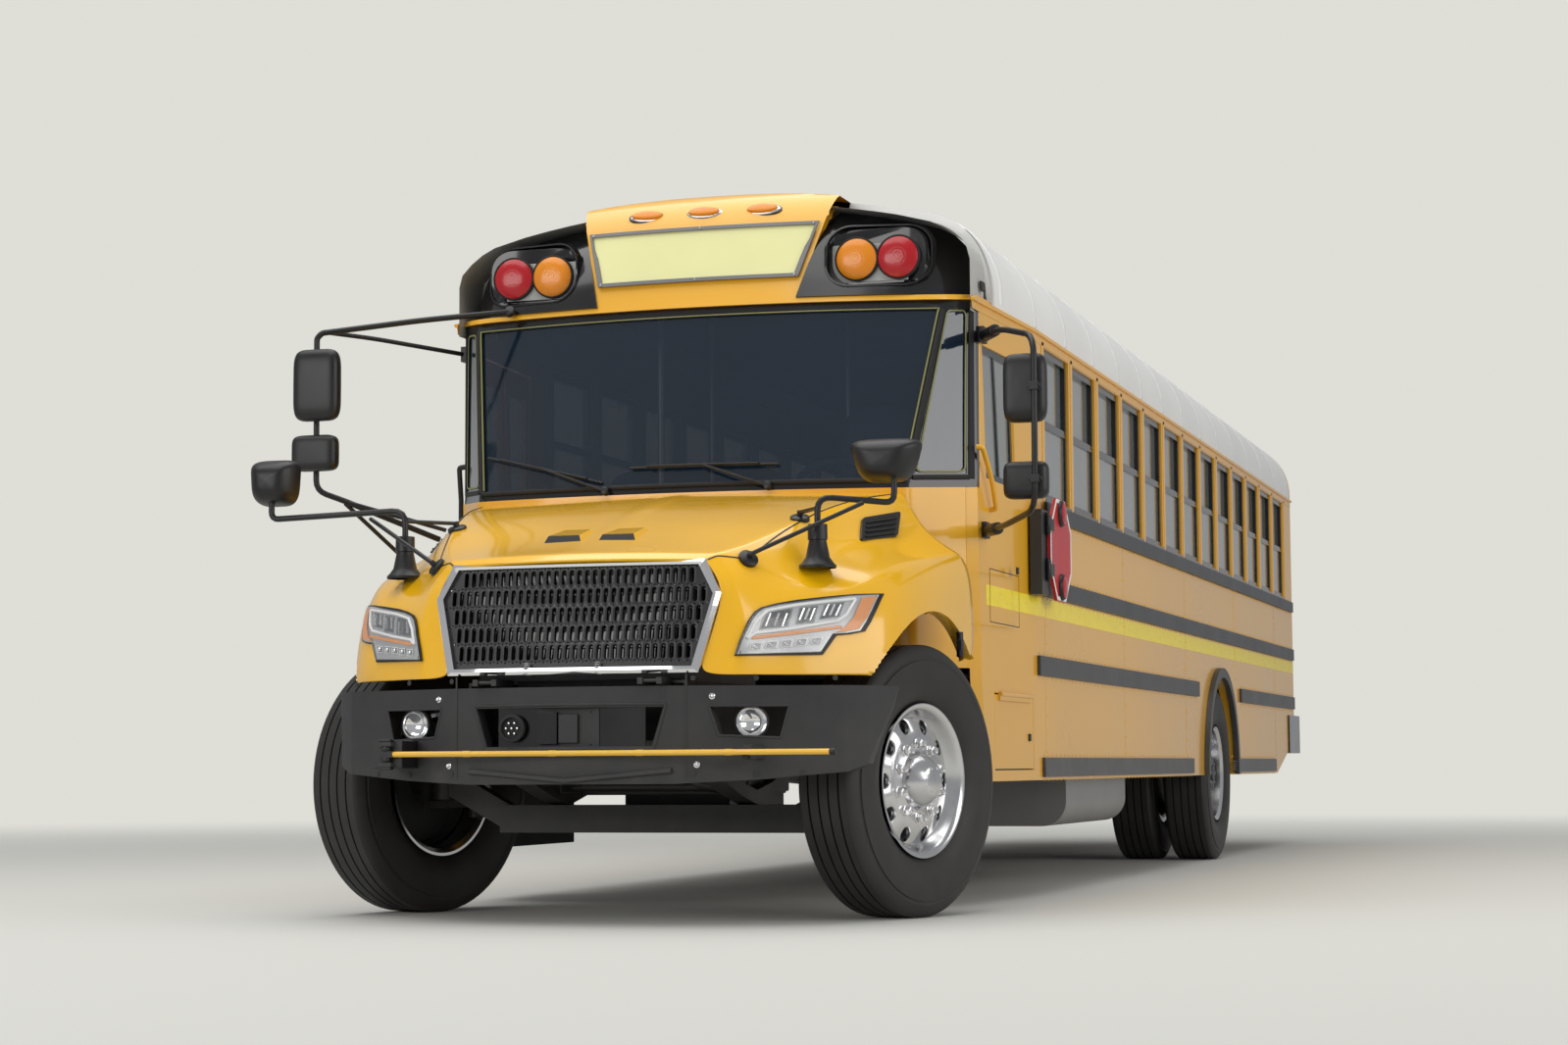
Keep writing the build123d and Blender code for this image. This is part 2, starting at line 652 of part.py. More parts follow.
TAIL_LAMP_X = (560.0, 760.0)
with BuildPart() as rear_wall:
    section((BODY_REAR - REAR_T, BODY_REAR), 0, TAIL_Z)
    door_x = (-TAIL_DOOR_HALF, TAIL_DOOR_HALF)
    through = (BODY_REAR - REAR_T - 1, BODY_REAR + 1)
    block(door_x, through, TAIL_DOOR_Z, Mode.SUBTRACT)
    for window_x in both(TAIL_WINDOW_X):
        block(window_x, through, WINDOW_Z, Mode.SUBTRACT)
    block((-RAIL_X[1] - 8, RAIL_X[1] + 8), through, (TAIL_Z - 1, RAIL_Z[1] + 8), Mode.SUBTRACT)
rear_wall.part.label = "rear_wall"
export_step(rear_wall.part, "parts/rear_wall.step")

# windshield: two-piece corner frame with one wide pane and two corner panes
GLASS_MAIN = ((-1026.0, 2476.0), (1026.0, 2476.0), (920.0, 1752.0), (-920.0, 1752.0))
GLASS_SIDE = ((1068.0, 2470.0), (1170.0, 2470.0), (1172.0, 1768.0), (966.0, 1768.0))
with BuildPart() as windshield_frame:
    edge = HALF_WIDTH - 4
    cross_prism([(-edge, SILL_Z - 25), (edge, SILL_Z - 25), (edge, HEAD_Z), (-edge, HEAD_Z)], (300, 1000))
    behind_glass(0, (SILL_Z - 30, HEAD_Z + 5), Mode.INTERSECT)
    behind_glass(FRAME_T, (SILL_Z - 40, HEAD_Z + 10), Mode.SUBTRACT)
    cross_prism(GLASS_MAIN, (200, 1000), Mode.SUBTRACT)
    for side in (1, -1):
        cross_prism([(side * x, z) for x, z in GLASS_SIDE], (200, 1000), Mode.SUBTRACT)
windshield_frame.part.label = "windshield_frame"
export_step(windshield_frame.part, "parts/windshield_frame.step")

with BuildPart() as body_glass:
    cross_prism(GLASS_MAIN, (200, 1000))
    for side in (1, -1):
        cross_prism([(side * x, z) for x, z in GLASS_SIDE], (200, 1000))
    behind_glass(GLASS_SET, (SILL_Z - 30, HEAD_Z + 5), Mode.INTERSECT)
    behind_glass(GLASS_SET + GLASS_T, (SILL_Z - 40, HEAD_Z + 10), Mode.SUBTRACT)
    mid = HALF_WIDTH - WALL / 2
    for side in (1, -1):
        windows(sorted((side * mid - PANE_T / 2, side * mid + PANE_T / 2)), SASH)
    pane = [
        (DRIVER_WINDOW[0][0] + 34, DRIVER_WINDOW[0][1] + SASH),
        (DRIVER_WINDOW[1][0] - SASH, DRIVER_WINDOW[1][1] + SASH),
        (DRIVER_WINDOW[2][0] - SASH, DRIVER_WINDOW[2][1] - SASH),
        (DRIVER_WINDOW[3][0] + 27, DRIVER_WINDOW[3][1] - SASH),
    ]
    side_prism(pane, (mid - PANE_T / 2, mid + PANE_T / 2))
    rear_mid = BODY_REAR - REAR_T / 2
    for window_x in both(TAIL_WINDOW_X):
        block(
            (window_x[0] + SASH, window_x[1] - SASH),
            (rear_mid - PANE_T / 2, rear_mid + PANE_T / 2),
            (WINDOW_Z[0] + SASH, WINDOW_Z[1] - SASH),
        )
body_glass.part.label = "body_glass"
export_step(body_glass.part, "parts/body_glass.step")

with BuildPart() as window_frames:
    for side in (1, -1):
        windows(sorted((side * mid - SASH_T / 2, side * mid + SASH_T / 2)), 0)
    side_prism(DRIVER_WINDOW, (mid - SASH_T / 2, mid + SASH_T / 2))
    for window_x in both(TAIL_WINDOW_X):
        block(window_x, (rear_mid - SASH_T / 2, rear_mid + SASH_T / 2), WINDOW_Z)
    for side in (1, -1):
        windows(sorted((side * mid - SASH_T, side * mid + SASH_T)), SASH, Mode.SUBTRACT)
    side_prism(pane, (mid - SASH_T, mid + SASH_T), Mode.SUBTRACT)
    for window_x in both(TAIL_WINDOW_X):
        block(
            (window_x[0] + SASH, window_x[1] - SASH),
            (rear_mid - SASH_T, rear_mid + SASH_T),
            (WINDOW_Z[0] + SASH, WINDOW_Z[1] - SASH),
            Mode.SUBTRACT,
        )
window_frames.part.label = "window_frames"
export_step(window_frames.part, "parts/window_frames.step")

# cowl: bowed firewall under the windshield and the body's front corners
COWL_Z = (FLOOR_Z - FLOOR_T, SILL_Z - 25.0)
with BuildPart() as cowl:
    bow_wall(COWL_FRONT, COWL_T, COWL_Z)
    block((-IN, IN), (300, 800), COWL_Z, Mode.INTERSECT)
    for side in (1, -1):
        side_prism(
            [(WALL_FOOT, SKIRT_Z), (WALL_KNEE + 3, COWL_Z[1]), (566, COWL_Z[1]),
             (575, 1460), (608, 930), (700, SKIRT_Z)],
            sorted((side * IN, side * HALF_WIDTH)),
        )
cowl.part.label = "cowl"
export_step(cowl.part, "parts/cowl.step")

with BuildPart() as side_trim:
    for side in (1, -1):
        rail_x = sorted((side * HALF_WIDTH, side * (HALF_WIDTH + RAIL_T)))
        for z_low, z_high, front, rear in RAILS:
            block(rail_x, (front, rear), (z_low, z_high))
        flare_x = sorted((side * (HALF_WIDTH - 20), side * (HALF_WIDTH + FLARE_OUT)))
        rod((flare_x[0], REAR_HUB, HUB_Z), (flare_x[1], REAR_HUB, HUB_Z), ARCH_R + FLARE_W)
    for side in (1, -1):
        cut_x = sorted((side * (HALF_WIDTH - 30), side * (HALF_WIDTH + FLARE_OUT + 1)))
        rod((cut_x[0], REAR_HUB, HUB_Z), (cut_x[1], REAR_HUB, HUB_Z), ARCH_R - 15, Mode.SUBTRACT)
        block(cut_x, (REAR_HUB - 700, REAR_HUB + 700), (-200, SKIRT_Z), Mode.SUBTRACT)
        under = sorted((side * (HALF_WIDTH - 40), side * HALF_WIDTH))
        rod((under[0], REAR_HUB, HUB_Z), (under[1], REAR_HUB, HUB_Z), ARCH_R + FLARE_W + 5, Mode.SUBTRACT)
    block((HALF_WIDTH, STOP_PIVOT[0] - 12 - SEAT_GAP), STOP_BOX[0], STOP_BOX[1])
side_trim.part.label = "side_trim"
export_step(side_trim.part, "parts/side_trim.step")

# ---------------------------------------------------------------- bumpers
BUMPER_LINE = (
    (0.0, -905.0), (453.0, -858.0), (707.0, -750.0), (985.0, -640.0), (1065.0, -560.0), (1140.0, -411.0),
)
BUMPER_BACK = (
    (1085.0, -411.0), (1010.0, -530.0), (950.0, -585.0), (680.0, -690.0), (440.0, -795.0), (0.0, -840.0),
)
with BuildPart() as steer_sweep:
    heights = (500, 560, 620, 680, 740, 800, 860, 920)
    for side in (1, -1):
        reach = [
            math.hypot(WHEEL_OUT + TREAD_HALF, math.sqrt(TYRE_R ** 2 - (z - HUB_Z) ** 2)) + MOVE_GAP
            for z in heights
        ]
        base = Plane(origin=(side * KING_X, fa(FRONT_HUB), 0), x_dir=(1, 0, 0), z_dir=(0, -1, 0))
        with BuildSketch(base) as profile:
            with BuildLine():
                Polyline([(r, z) for r, z in zip(reach, heights)] + [(0, 920), (0, 500)], close=True)
            make_face()
        revolve(profile.sketch, axis=Axis((side * KING_X, fa(FRONT_HUB), 0), (0, 0, 1)))

with BuildPart() as front_bumper:
    for side in (1, -1):
        plan_prism([(side * x, y) for x, y in BUMPER_LINE + BUMPER_BACK], BUMPER_Z)
    for side in (1, -1):
        cross_prism(
            [(side * 400, BUMPER_Z[0] - 1), (side * 1260, BUMPER_Z[0] - 1), (side * 1260, BUMPER_Z[1] + 1),
             (side * 1141, BUMPER_Z[1] + 1), (side * 1060, 590), (side * 1000, 562), (side * 700, 535),
             (side * 400, BUMPER_Z[0])],
            (-950, -300),
            Mode.SUBTRACT,
        )
        cross_prism(
            [(side * 560, 700), (side * 530, 800), (side * 800, 800), (side * 770, 690)],
            (-950, -500),
            Mode.SUBTRACT,
        )
    add(steer_sweep.part, mode=Mode.SUBTRACT)
    for side in (1, -1):
        block(sorted((side * 408, side * RAIL_X[1])), (-810, RAIL_Y[0]), (700, 800))
    x, y = GATE_PIVOT
    block((x - 60, x + 55), (y + 17 + SEAT_GAP, -745), (GATE_Z - 49, GATE_Z + 51))
    for low, high in ((GATE_Z - 46, GATE_Z - 30 - SEAT_GAP), (GATE_Z + 30 + SEAT_GAP, GATE_Z + 46)):
        block((x - 25, x + 25), (y - 15, y + 40), (low, high))
    block((-x - 15, -x + 15), (y + GATE_R + SEAT_GAP, -750), (GATE_Z - 24, GATE_Z + 24))
    cross_prism([(-325, 659), (-368, 802), (368, 802), (325, 659)], (-950, -700), Mode.SUBTRACT)
    bracket = ((-120.0, 120.0), (-872.0, -866.0), (650.0, 800.0))
    block(*bracket)
    block((-60, 60), (-868, -838), (640, 662))
    for dx in (-PLATE_DX / 2, PLATE_DX / 2):
        for dz in (-PLATE_DZ / 2, PLATE_DZ / 2):
            z = (bracket[2][0] + bracket[2][1]) / 2 + dz
            rod((dx, -880, z), (dx, -860, z), PLATE_HOLE_R, Mode.SUBTRACT)
front_bumper.part.label = "front_bumper"
export_step(front_bumper.part, "parts/front_bumper.step")

with BuildPart() as rear_bumper:
    reach = REAR_REACH
    plan_prism(
        [(-1230, 10300), (-1230, 10890), (-1160, reach), (1160, reach), (1230, 10890), (1230, 10300),
         (HALF_WIDTH, 10300), (HALF_WIDTH, 10884), (1155, reach - 12), (-1155, reach - 12),
         (-HALF_WIDTH, 10884), (-HALF_WIDTH, 10300)],
        TAIL_BUMPER_Z,
    )
    block((-430, 430), (10700, reach - 10), (700, 860))
rear_bumper.part.label = "rear_bumper"
export_step(rear_bumper.part, "parts/rear_bumper.step")

# ---------------------------------------------------------------- hood
HOOD_PLAN = (
    (0.0, -850.0), (500.0, -835.0), (614.0, -795.0), (900.0, -600.0), (1090.0, -430.0), (1141.0, -350.0),
    (1175.0, 0.0), (1190.0, 640.0), (0.0, 640.0),
)
HOOD_SECTIONS = (
    # station, half width at the foot, at the shoulder, at the top; shoulder and top heights
    (-900.0, 555.0, 560.0, 470.0, 1215.0, 1330.0),
    (-300.0, 760.0, 700.0, 540.0, 1400.0, 1480.0),
    (640.0, 1100.0, 1065.0, 720.0, 1665.0, 1735.0),
)


def hood_body(inset):
    """Tapered middle of the hood between the grille and the cowl."""
    with BuildPart() as body:
        for near, far in zip(HOOD_SECTIONS[:-1], HOOD_SECTIONS[1:]):
            for station, foot, shoulder, top, z_shoulder, z_top in (near, far):
                with BuildSketch(cross_plane(station)):
                    with BuildLine():
                        Polyline(
                            (foot - inset, HOOD_Z - (40 if inset else 0)),
                            (shoulder - inset, z_shoulder - inset * 0.6),
                            (top - inset * 0.5, z_top - inset),
                            (-top + inset * 0.5, z_top - inset),
                            (-shoulder + inset, z_shoulder - inset * 0.6),
                            (-foot + inset, HOOD_Z - (40 if inset else 0)),
                            close=True,
                        )
                    make_face()
            loft(ruled=True)
    return body.part


def hood_fenders(inset):
    """Wide lower body of the hood with its fender tops."""
    with BuildPart() as body:
        points = [(x - (inset if x > 0 else 0), y + (inset * 1.2 if y < -300 else 0)) for x, y in HOOD_PLAN]
        whole = points + [(-x, y) for x, y in reversed(points[1:-1])]
        plan_prism(whole, (HOOD_Z - (40 if inset else 0), 1600))
        side_prism(
            [(-1000, HOOD_Z - 60), (-1000, 1180 - inset), (-650, 1270 - inset), (-150, 1385 - inset),
             (200, 1400 - inset), (660, 1470 - inset), (660, HOOD_Z - 60)],
            (-1300, 1300),
            Mode.INTERSECT,
        )
        cross_prism(
            [(-1300, HOOD_Z - 60), (-1300, 1220 - inset), (-1130 + inset, 1300 - inset), (-900, 1500),
             (900, 1500), (1130 - inset, 1300 - inset), (1300, 1220 - inset), (1300, HOOD_Z - 60)],
            (-1100, 700),
            Mode.INTERSECT,
        )
    return body.part


LAMP_PLANE = Plane(
    origin=(850.0, fa(-612.0), 1100.0),
    x_dir=(0.79, 0.613, 0),
    z_dir=(0.613, -0.79, 0),
)
LAMP_SHAPE = (
    (-285.0, -108.0), (-240.0, 0.0), (-178.0, 62.0), (318.0, 122.0), (285.0, 20.0), (210.0, -30.0),
    (140.0, -38.0), (100.0, -88.0),
)


def lamp_prism(grow, depth, out):
    """Headlamp body of the left side, from depth behind the fender skin to out before it."""
    with BuildPart() as body:
        with BuildSketch(LAMP_PLANE.offset(-depth)):
            with BuildLine():
                Polyline(LAMP_SHAPE, close=True)
            make_face()
            if grow:
                offset(amount=grow, kind=Kind.INTERSECTION)
        extrude(amount=depth + out)
    return body.part


def mirrored(part):
    """The same piece on the right side."""
    return part.mirror(Plane.YZ)


with BuildPart() as hood:
    add(hood_body(0))
    add(hood_fenders(0))
    cross_prism([(-1300, 800), (1300, 800), (1300, 1900), (-1300, 1900)], (-1100, -836), Mode.SUBTRACT)
    bow_wall(HOOD_BACK, 900, (800, 1900), Mode.SUBTRACT)
    add(hood_body(HOOD_T), mode=Mode.SUBTRACT)
    add(hood_fenders(HOOD_T), mode=Mode.SUBTRACT)
    for side in (1, -1):
        low, high = sorted((side * 820, side * 1300))
        rod((low, FRONT_HUB, HUB_Z), (high, FRONT_HUB, HUB_Z), FENDER_ARCH_R, Mode.SUBTRACT)
    cross_prism(
        [(-500, 1318), (500, 1318), (545, 1219), (478, 945), (-478, 945), (-545, 1219)],
        (-1000, -700),
        Mode.SUBTRACT,
    )
    add(lamp_prism(0, 120, 200), mode=Mode.SUBTRACT)
    add(mirrored(lamp_prism(0, 120, 200)), mode=Mode.SUBTRACT)
    for x in (HOOD_PIN_X, (-HOOD_PIN_X[1], -HOOD_PIN_X[0])):
        block(x, (-880, -815), (HOOD_HINGE[1] - 12, HOOD_HINGE[1] + 12))
        block(x, (-836, -815), (HOOD_HINGE[1] - 12, HOOD_Z + 20))
        rod((x[0], *HOOD_HINGE), (x[1], *HOOD_HINGE), HOOD_PIN_R)
        rod((x[0] - 1, *HOOD_HINGE), (x[1] + 1, *HOOD_HINGE), HOOD_PIN_R / 2 + RUN, Mode.SUBTRACT)
hood.part.label = "hood"
export_step(hood.part, "parts/hood.step")

with BuildPart() as headlamps:
    add(lamp_prism(0, 90, 8))
    add(mirrored(lamp_prism(0, 90, 8)))
headlamps.part.label = "headlamps"
export_step(headlamps.part, "parts/headlamps.step")

GRILLE_RING = ((-515, 1338), (515, 1338), (570, 1219), (495, 928), (-495, 928), (-570, 1219))
GRILLE_HOLE = ((-490, 1308), (490, 1308), (535, 1219), (468, 955), (-468, 955), (-535, 1219))
with BuildPart() as grille_surround:
    cross_prism(GRILLE_RING, (-852, -836))
    cross_prism(GRILLE_HOLE, (-860, -830), Mode.SUBTRACT)
grille_surround.part.label = "grille_surround"
export_step(grille_surround.part, "parts/grille_surround.step")

SLOT_PITCH = 38.0
with BuildPart() as grille_mesh:
    cross_prism(GRILLE_HOLE, (-846, -816))
    with BuildSketch(cross_plane(-850)) as slots:
        with BuildLine():
            Polyline([(x * 0.97, 1131 + (z - 1131) * 0.94) for x, z in GRILLE_HOLE], close=True)
        make_face()
        with GridLocations(SLOT_PITCH, 1, 29, 1):
            Rectangle(13, 500, mode=Mode.SUBTRACT)
    extrude(slots.sketch, amount=-50, mode=Mode.SUBTRACT)
grille_mesh.part.label = "grille_mesh"
export_step(grille_mesh.part, "parts/grille_mesh.step")

TUBE_R = 11.0


def tube(points, radius=TUBE_R):
    """Round tube bent through points (x, station, z), in the current part."""
    for start, end in zip(points[:-1], points[1:]):
        rod(start, end, radius)
    for point in points[1:-1]:
        with Locations((point[0], fa(point[1]), point[2])):
            Sphere(radius)


with BuildPart() as cross_mirrors:
    for side, head, elbow in ((1, (1061, -320, 1738), 1102), (-1, (-1418, -480, 1720), -1418)):
        base = (side * 843, -469)
        with Locations((base[0], fa(base[1]), 1385)):
            Cone(48, 22, 130)
        tube([(base[0], base[1], 1440), (base[0], base[1], 1590), (elbow, head[1], 1570),
              (elbow, head[1], head[2] - 70)])
        tube([(side * 640, -663, 1362), (elbow, head[1], 1560)], 8)
        rod((side * 640, -663, 1290), (side * 640, -663, 1366), 26)
        with Locations((head[0], fa(head[1]), head[2])):
            Box(300 if side > 0 else 200, 120, 165)
    add(hood_body(0), mode=Mode.SUBTRACT)
    add(hood_fenders(0), mode=Mode.SUBTRACT)
cross_mirrors.part.label = "cross_mirrors"
export_step(cross_mirrors.part, "parts/cross_mirrors.step")

MIRROR_T = 70.0
with BuildPart() as side_mirrors:
    tube([(-HALF_WIDTH - TUBE_R, 825, 2376), (-1400, 300, 2420), (-1558, 195, 2420),
          (-1556, 195, 1752), (-1453, 260, 1710), (-1231, 620, 1592)])
    tube([(-1231, 830, 2480), (-1400, 300, 2432)])
    tube([(-1453, 260, 1708), (-1231, 640, 1000)], 9)
    block((-1640, -1432), (180 - MIRROR_T, 180), (2040, 2350))
    block((-1644, -1436), (180 - MIRROR_T, 180), (1828, 1985))
    for z in (2120, 2270, 1906):
        block((-1566, -1546), (175, 192), (z - 20, z + 20))
    tube([(HALF_WIDTH + TUBE_R, 850, 2350), (1400, 420, 2290), (1472, 340, 2250),
          (1470, 340, 1580), (1400, 420, 1545), (HALF_WIDTH + TUBE_R, 760, 1530)])
    block((1392, 1566), (325 - MIRROR_T, 325), (1930, 2208))
    block((1388, 1570), (325 - MIRROR_T, 325), (1626, 1778))
    for z in (2000, 2140, 1702):
        block((1462, 1482), (320, 337), (z - 20, z + 20))
    for x, y, z in ((-1225, 815, 2376), (-1225, 830, 2480), (-1225, 640, 1000), (-1225, 640, 1592),
                    (1225, 850, 2350), (1225, 765, 1530)):
        side = 1 if x > 0 else -1
        block(sorted((side * HALF_WIDTH, side * (HALF_WIDTH + 24))), (y - 35, y + 35), (z - 30, z + 30))
side_mirrors.part.label = "side_mirrors"
export_step(side_mirrors.part, "parts/side_mirrors.step")

# ---------------------------------------------------------------- lamps and signs
with BuildPart() as body_lamps:
    for side in (1, -1):
        for x in LAMP_X:
            rod((side * x, LAMP_FACE, LAMP_Z), (side * x, LAMP_FACE + 12, LAMP_Z), LAMP_R)
            rod((side * x, BODY_REAR, LAMP_Z + 20), (side * x, BODY_REAR + 25, LAMP_Z + 20), LAMP_R)
        for x, z, r in ((1010, 1480, 89), (1010, 1240, 89), (1010, 1600, 40)):
            rod((side * x, BODY_REAR, z), (side * x, BODY_REAR + 20, z), r)
    for x in (-259, 0, 259):
        with Locations((x, fa(BODY_REAR + 12), 2870)):
            Box(110, 24, 45)
body_lamps.part.label = "body_lamps"
export_step(body_lamps.part, "parts/body_lamps.step")

with BuildPart() as marker_lamps:
    for x in (-259, 0, 259):
        plane = Plane(
            origin=(x, fa(734 + x * x / (2 * NOSE_R)), 2932), x_dir=(1, 0, 0), z_dir=(0, -0.86, 0.51)
        )
        with BuildSketch(plane) as profile:
            SlotOverall(150, 58)
        extrude(profile.sketch, amount=40)
        extrude(profile.sketch, amount=-20)
    add(front_cap.part, mode=Mode.SUBTRACT)
marker_lamps.part.label = "marker_lamps"
export_step(marker_lamps.part, "parts/marker_lamps.step")

SIGN = ((-445.0, 2625.0), (445.0, 2625.0), (516.0, 2871.0), (-516.0, 2871.0))
with BuildPart() as sign_boards:
    cross_prism(SIGN, (400, 1200))
    behind_cap(-10, SEAM_Z - 1, Mode.INTERSECT)
    behind_cap(0, SEAM_Z - 2, Mode.SUBTRACT)
    block((-450, 450), (BODY_REAR, BODY_REAR + 8), (2560, 2780))
sign_boards.part.label = "sign_boards"
export_step(sign_boards.part, "parts/sign_boards.step")

WIPERS = (
    # pivot, then both ends of the blade: x and z
    (-330.0, (-350.0, 1764.0), (-917.0, 1901.0)),
    (378.0, (413.0, 1820.0), (-228.0, 1823.0)),
)
with BuildPart() as wipers:
    for hub_x, low, tip in WIPERS:
        blade = [(x, bowed(x, z) - 26, z) for x, z in (low, tip)]
        rod(*blade, 9)
        middle = tuple((a + b) / 2 for a, b in zip(*blade))
        hub = (hub_x, bowed(hub_x, SILL_Z - 20) - 20, SILL_Z - 8)
        rod(hub, middle, 7)
        rod((hub[0], hub[1] - 9, hub[2]), (hub[0], hub[1] + 40, hub[2] - 8), 12)
    add(cowl.part, mode=Mode.SUBTRACT)
    add(windshield_frame.part, mode=Mode.SUBTRACT)
wipers.part.label = "wipers"
export_step(wipers.part, "parts/wipers.step")

# ---------------------------------------------------------------- cabin
DASH_BACK = 860.0
WHEEL_AT = (560.0, 930.0, 1720.0)
with BuildPart() as dashboard:
    block((-380, IN - 4), (FIREWALL_BACK + 60, DASH_BACK), (1400, 1660))
    block((200, 900), (FIREWALL_BACK + 60, DASH_BACK + 30), (1560, 1700))
    block((-380, -340), (FIREWALL_BACK + 60, DASH_BACK), (FLOOR_Z, 1400))
    block((900, IN - 4), (FIREWALL_BACK + 60, DASH_BACK - 60), (FLOOR_Z, 1400))
    rod((WHEEL_AT[0], DASH_BACK - 20, 1600), WHEEL_AT, 28)
    tilt = Plane(origin=(WHEEL_AT[0], fa(WHEEL_AT[1]), WHEEL_AT[2]), z_dir=(0, 0.55, 0.83))
    with BuildSketch(tilt) as rim:
        Circle(228)
        Circle(204, mode=Mode.SUBTRACT)
        for angle in (90, 210, 330):
            with PolarLocations(105, 1, start_angle=angle):
                Rectangle(212, 30)
    extrude(rim.sketch, amount=22)
dashboard.part.label = "dashboard"
export_step(dashboard.part, "parts/dashboard.step")

with BuildPart() as seat_pads:
    for seat_x in both(SEAT_X):
        for row in range(ROWS):
            y = ROW_FIRST + row * ROW_PITCH
            block(seat_x, (y, y + SEAT_DEPTH), SEAT_Z)
            block(seat_x, (y + SEAT_DEPTH, y + SEAT_DEPTH + BACK_T), (SEAT_Z[0], BACK_TOP))
    block((310, 810), (1180, 1640), (1400, 1520))
    block((310, 810), (1640, 1760), (1400, 2200))
seat_pads.part.label = "seat_pads"
export_step(seat_pads.part, "parts/seat_pads.step")

with BuildPart() as seat_frames:
    for side in (1, -1):
        for row in range(ROWS):
            y = ROW_FIRST + row * ROW_PITCH
            leg_x = sorted((side * (SEAT_X[0] + 60), side * (SEAT_X[0] + 100)))
            tray_x = sorted((side * SEAT_X[0], side * IN))
            block(tray_x, (y + 60, y + SEAT_DEPTH + BACK_T - 30), (SEAT_Z[0] - 30, SEAT_Z[0]))
            block(leg_x, (y + 80, y + 120), (FLOOR_Z, SEAT_Z[0] - 30))
            block(leg_x, (y + 380, y + 420), (FLOOR_Z, SEAT_Z[0] - 30))
    block((440, 680), (1300, 1600), (FLOOR_Z, 1400))
seat_frames.part.label = "seat_frames"
export_step(seat_frames.part, "parts/seat_frames.step")

# ---------------------------------------------------------------- doors
LEAF_GAP = 14.0
LEAF = (DOOR_Y[1] - DOOR_Y[0] - 2 * MOVE_GAP - LEAF_GAP) / 2
HINGE_X = -(HALF_WIDTH + HINGE_R)
LEAF_Z = (DOOR_Z[0], DOOR_Z[1] - MOVE_GAP)
PANES = ((LEAF_Z[0] + 130, 1180.0), (1290.0, LEAF_Z[1] - 110))
for name, outer, inner in (
    ("front", DOOR_Y[0] + MOVE_GAP, DOOR_Y[0] + MOVE_GAP + LEAF),
    ("rear", DOOR_Y[1] - MOVE_GAP, DOOR_Y[1] - MOVE_GAP - LEAF),
):
    toward = 1 if inner > outer else -1
    leaf_y = sorted((outer, inner))
    hinge_y = outer - toward * MOVE_GAP / 2
    with BuildPart() as door_leaf:
        block((-HALF_WIDTH, -HALF_WIDTH + DOOR_T), leaf_y, LEAF_Z)
        for pane_z in PANES:
            glass_y = (leaf_y[0] + 55, leaf_y[1] - 55)
            block((-HALF_WIDTH - 1, -HALF_WIDTH + DOOR_T + 1), glass_y, pane_z, Mode.SUBTRACT)
        rod((HINGE_X, hinge_y, 560), (HINGE_X, hinge_y, 2300), HINGE_R - SEAT_GAP)
        strip = sorted((hinge_y, outer + toward * 30))
        block((HINGE_X, -HALF_WIDTH), strip, (560, 2300))
    door_leaf.part.label = f"entrance_door_{name}"
    export_step(door_leaf.part, f"parts/entrance_door_{name}.step")
    with BuildPart() as door_pane:
        for pane_z in PANES:
            block((-HALF_WIDTH + 16, -HALF_WIDTH + 24), glass_y, pane_z)
    door_pane.part.label = f"entrance_glass_{name}"
    export_step(door_pane.part, f"parts/entrance_glass_{name}.step")

TAIL_HINGE = (-TAIL_DOOR_HALF + MOVE_GAP / 2, BODY_REAR + HINGE_R)
TAIL_PANE = ((-215.0, 215.0), (1773.0, 2330.0))
with BuildPart() as rear_door:
    door_x = (-TAIL_DOOR_HALF + MOVE_GAP, TAIL_DOOR_HALF - MOVE_GAP)
    door_z = (TAIL_DOOR_Z[0] + MOVE_GAP, TAIL_DOOR_Z[1] - MOVE_GAP)
    block(door_x, (BODY_REAR - DOOR_T, BODY_REAR), door_z)
    block(TAIL_PANE[0], (BODY_REAR - DOOR_T - 1, BODY_REAR + 1), TAIL_PANE[1], Mode.SUBTRACT)
    rod((*TAIL_HINGE, 1200), (*TAIL_HINGE, 2300), HINGE_R - SEAT_GAP)
    block((TAIL_HINGE[0], door_x[0] + 40), (BODY_REAR, TAIL_HINGE[1]), (1200, 2300))
    block((240, 310), (BODY_REAR, BODY_REAR + 30), (1520, 1620))
rear_door.part.label = "rear_door"
export_step(rear_door.part, "parts/rear_door.step")

with BuildPart() as rear_door_glass:
    block(TAIL_PANE[0], (BODY_REAR - 24, BODY_REAR - 16), TAIL_PANE[1])
rear_door_glass.part.label = "rear_door_glass"
export_step(rear_door_glass.part, "parts/rear_door_glass.step")

BATTERY_HINGE = (HALF_WIDTH + HINGE_R, BATTERY_Z[1] - MOVE_GAP / 2)
with BuildPart() as battery_door:
    panel_y = (BATTERY_Y[0] + MOVE_GAP, BATTERY_Y[1] - MOVE_GAP)
    block(
        (HALF_WIDTH - BATTERY_T, HALF_WIDTH), panel_y, (BATTERY_Z[0] + MOVE_GAP, BATTERY_Z[1] - MOVE_GAP)
    )
    start = (BATTERY_HINGE[0], panel_y[0] + 60, BATTERY_HINGE[1])
    end = (BATTERY_HINGE[0], panel_y[1] - 60, BATTERY_HINGE[1])
    rod(start, end, HINGE_R - SEAT_GAP)
    block(
        (HALF_WIDTH, BATTERY_HINGE[0]), (start[1], end[1]), (BATTERY_Z[1] - 30, BATTERY_HINGE[1])
    )
battery_door.part.label = "battery_door"
export_step(battery_door.part, "parts/battery_door.step")

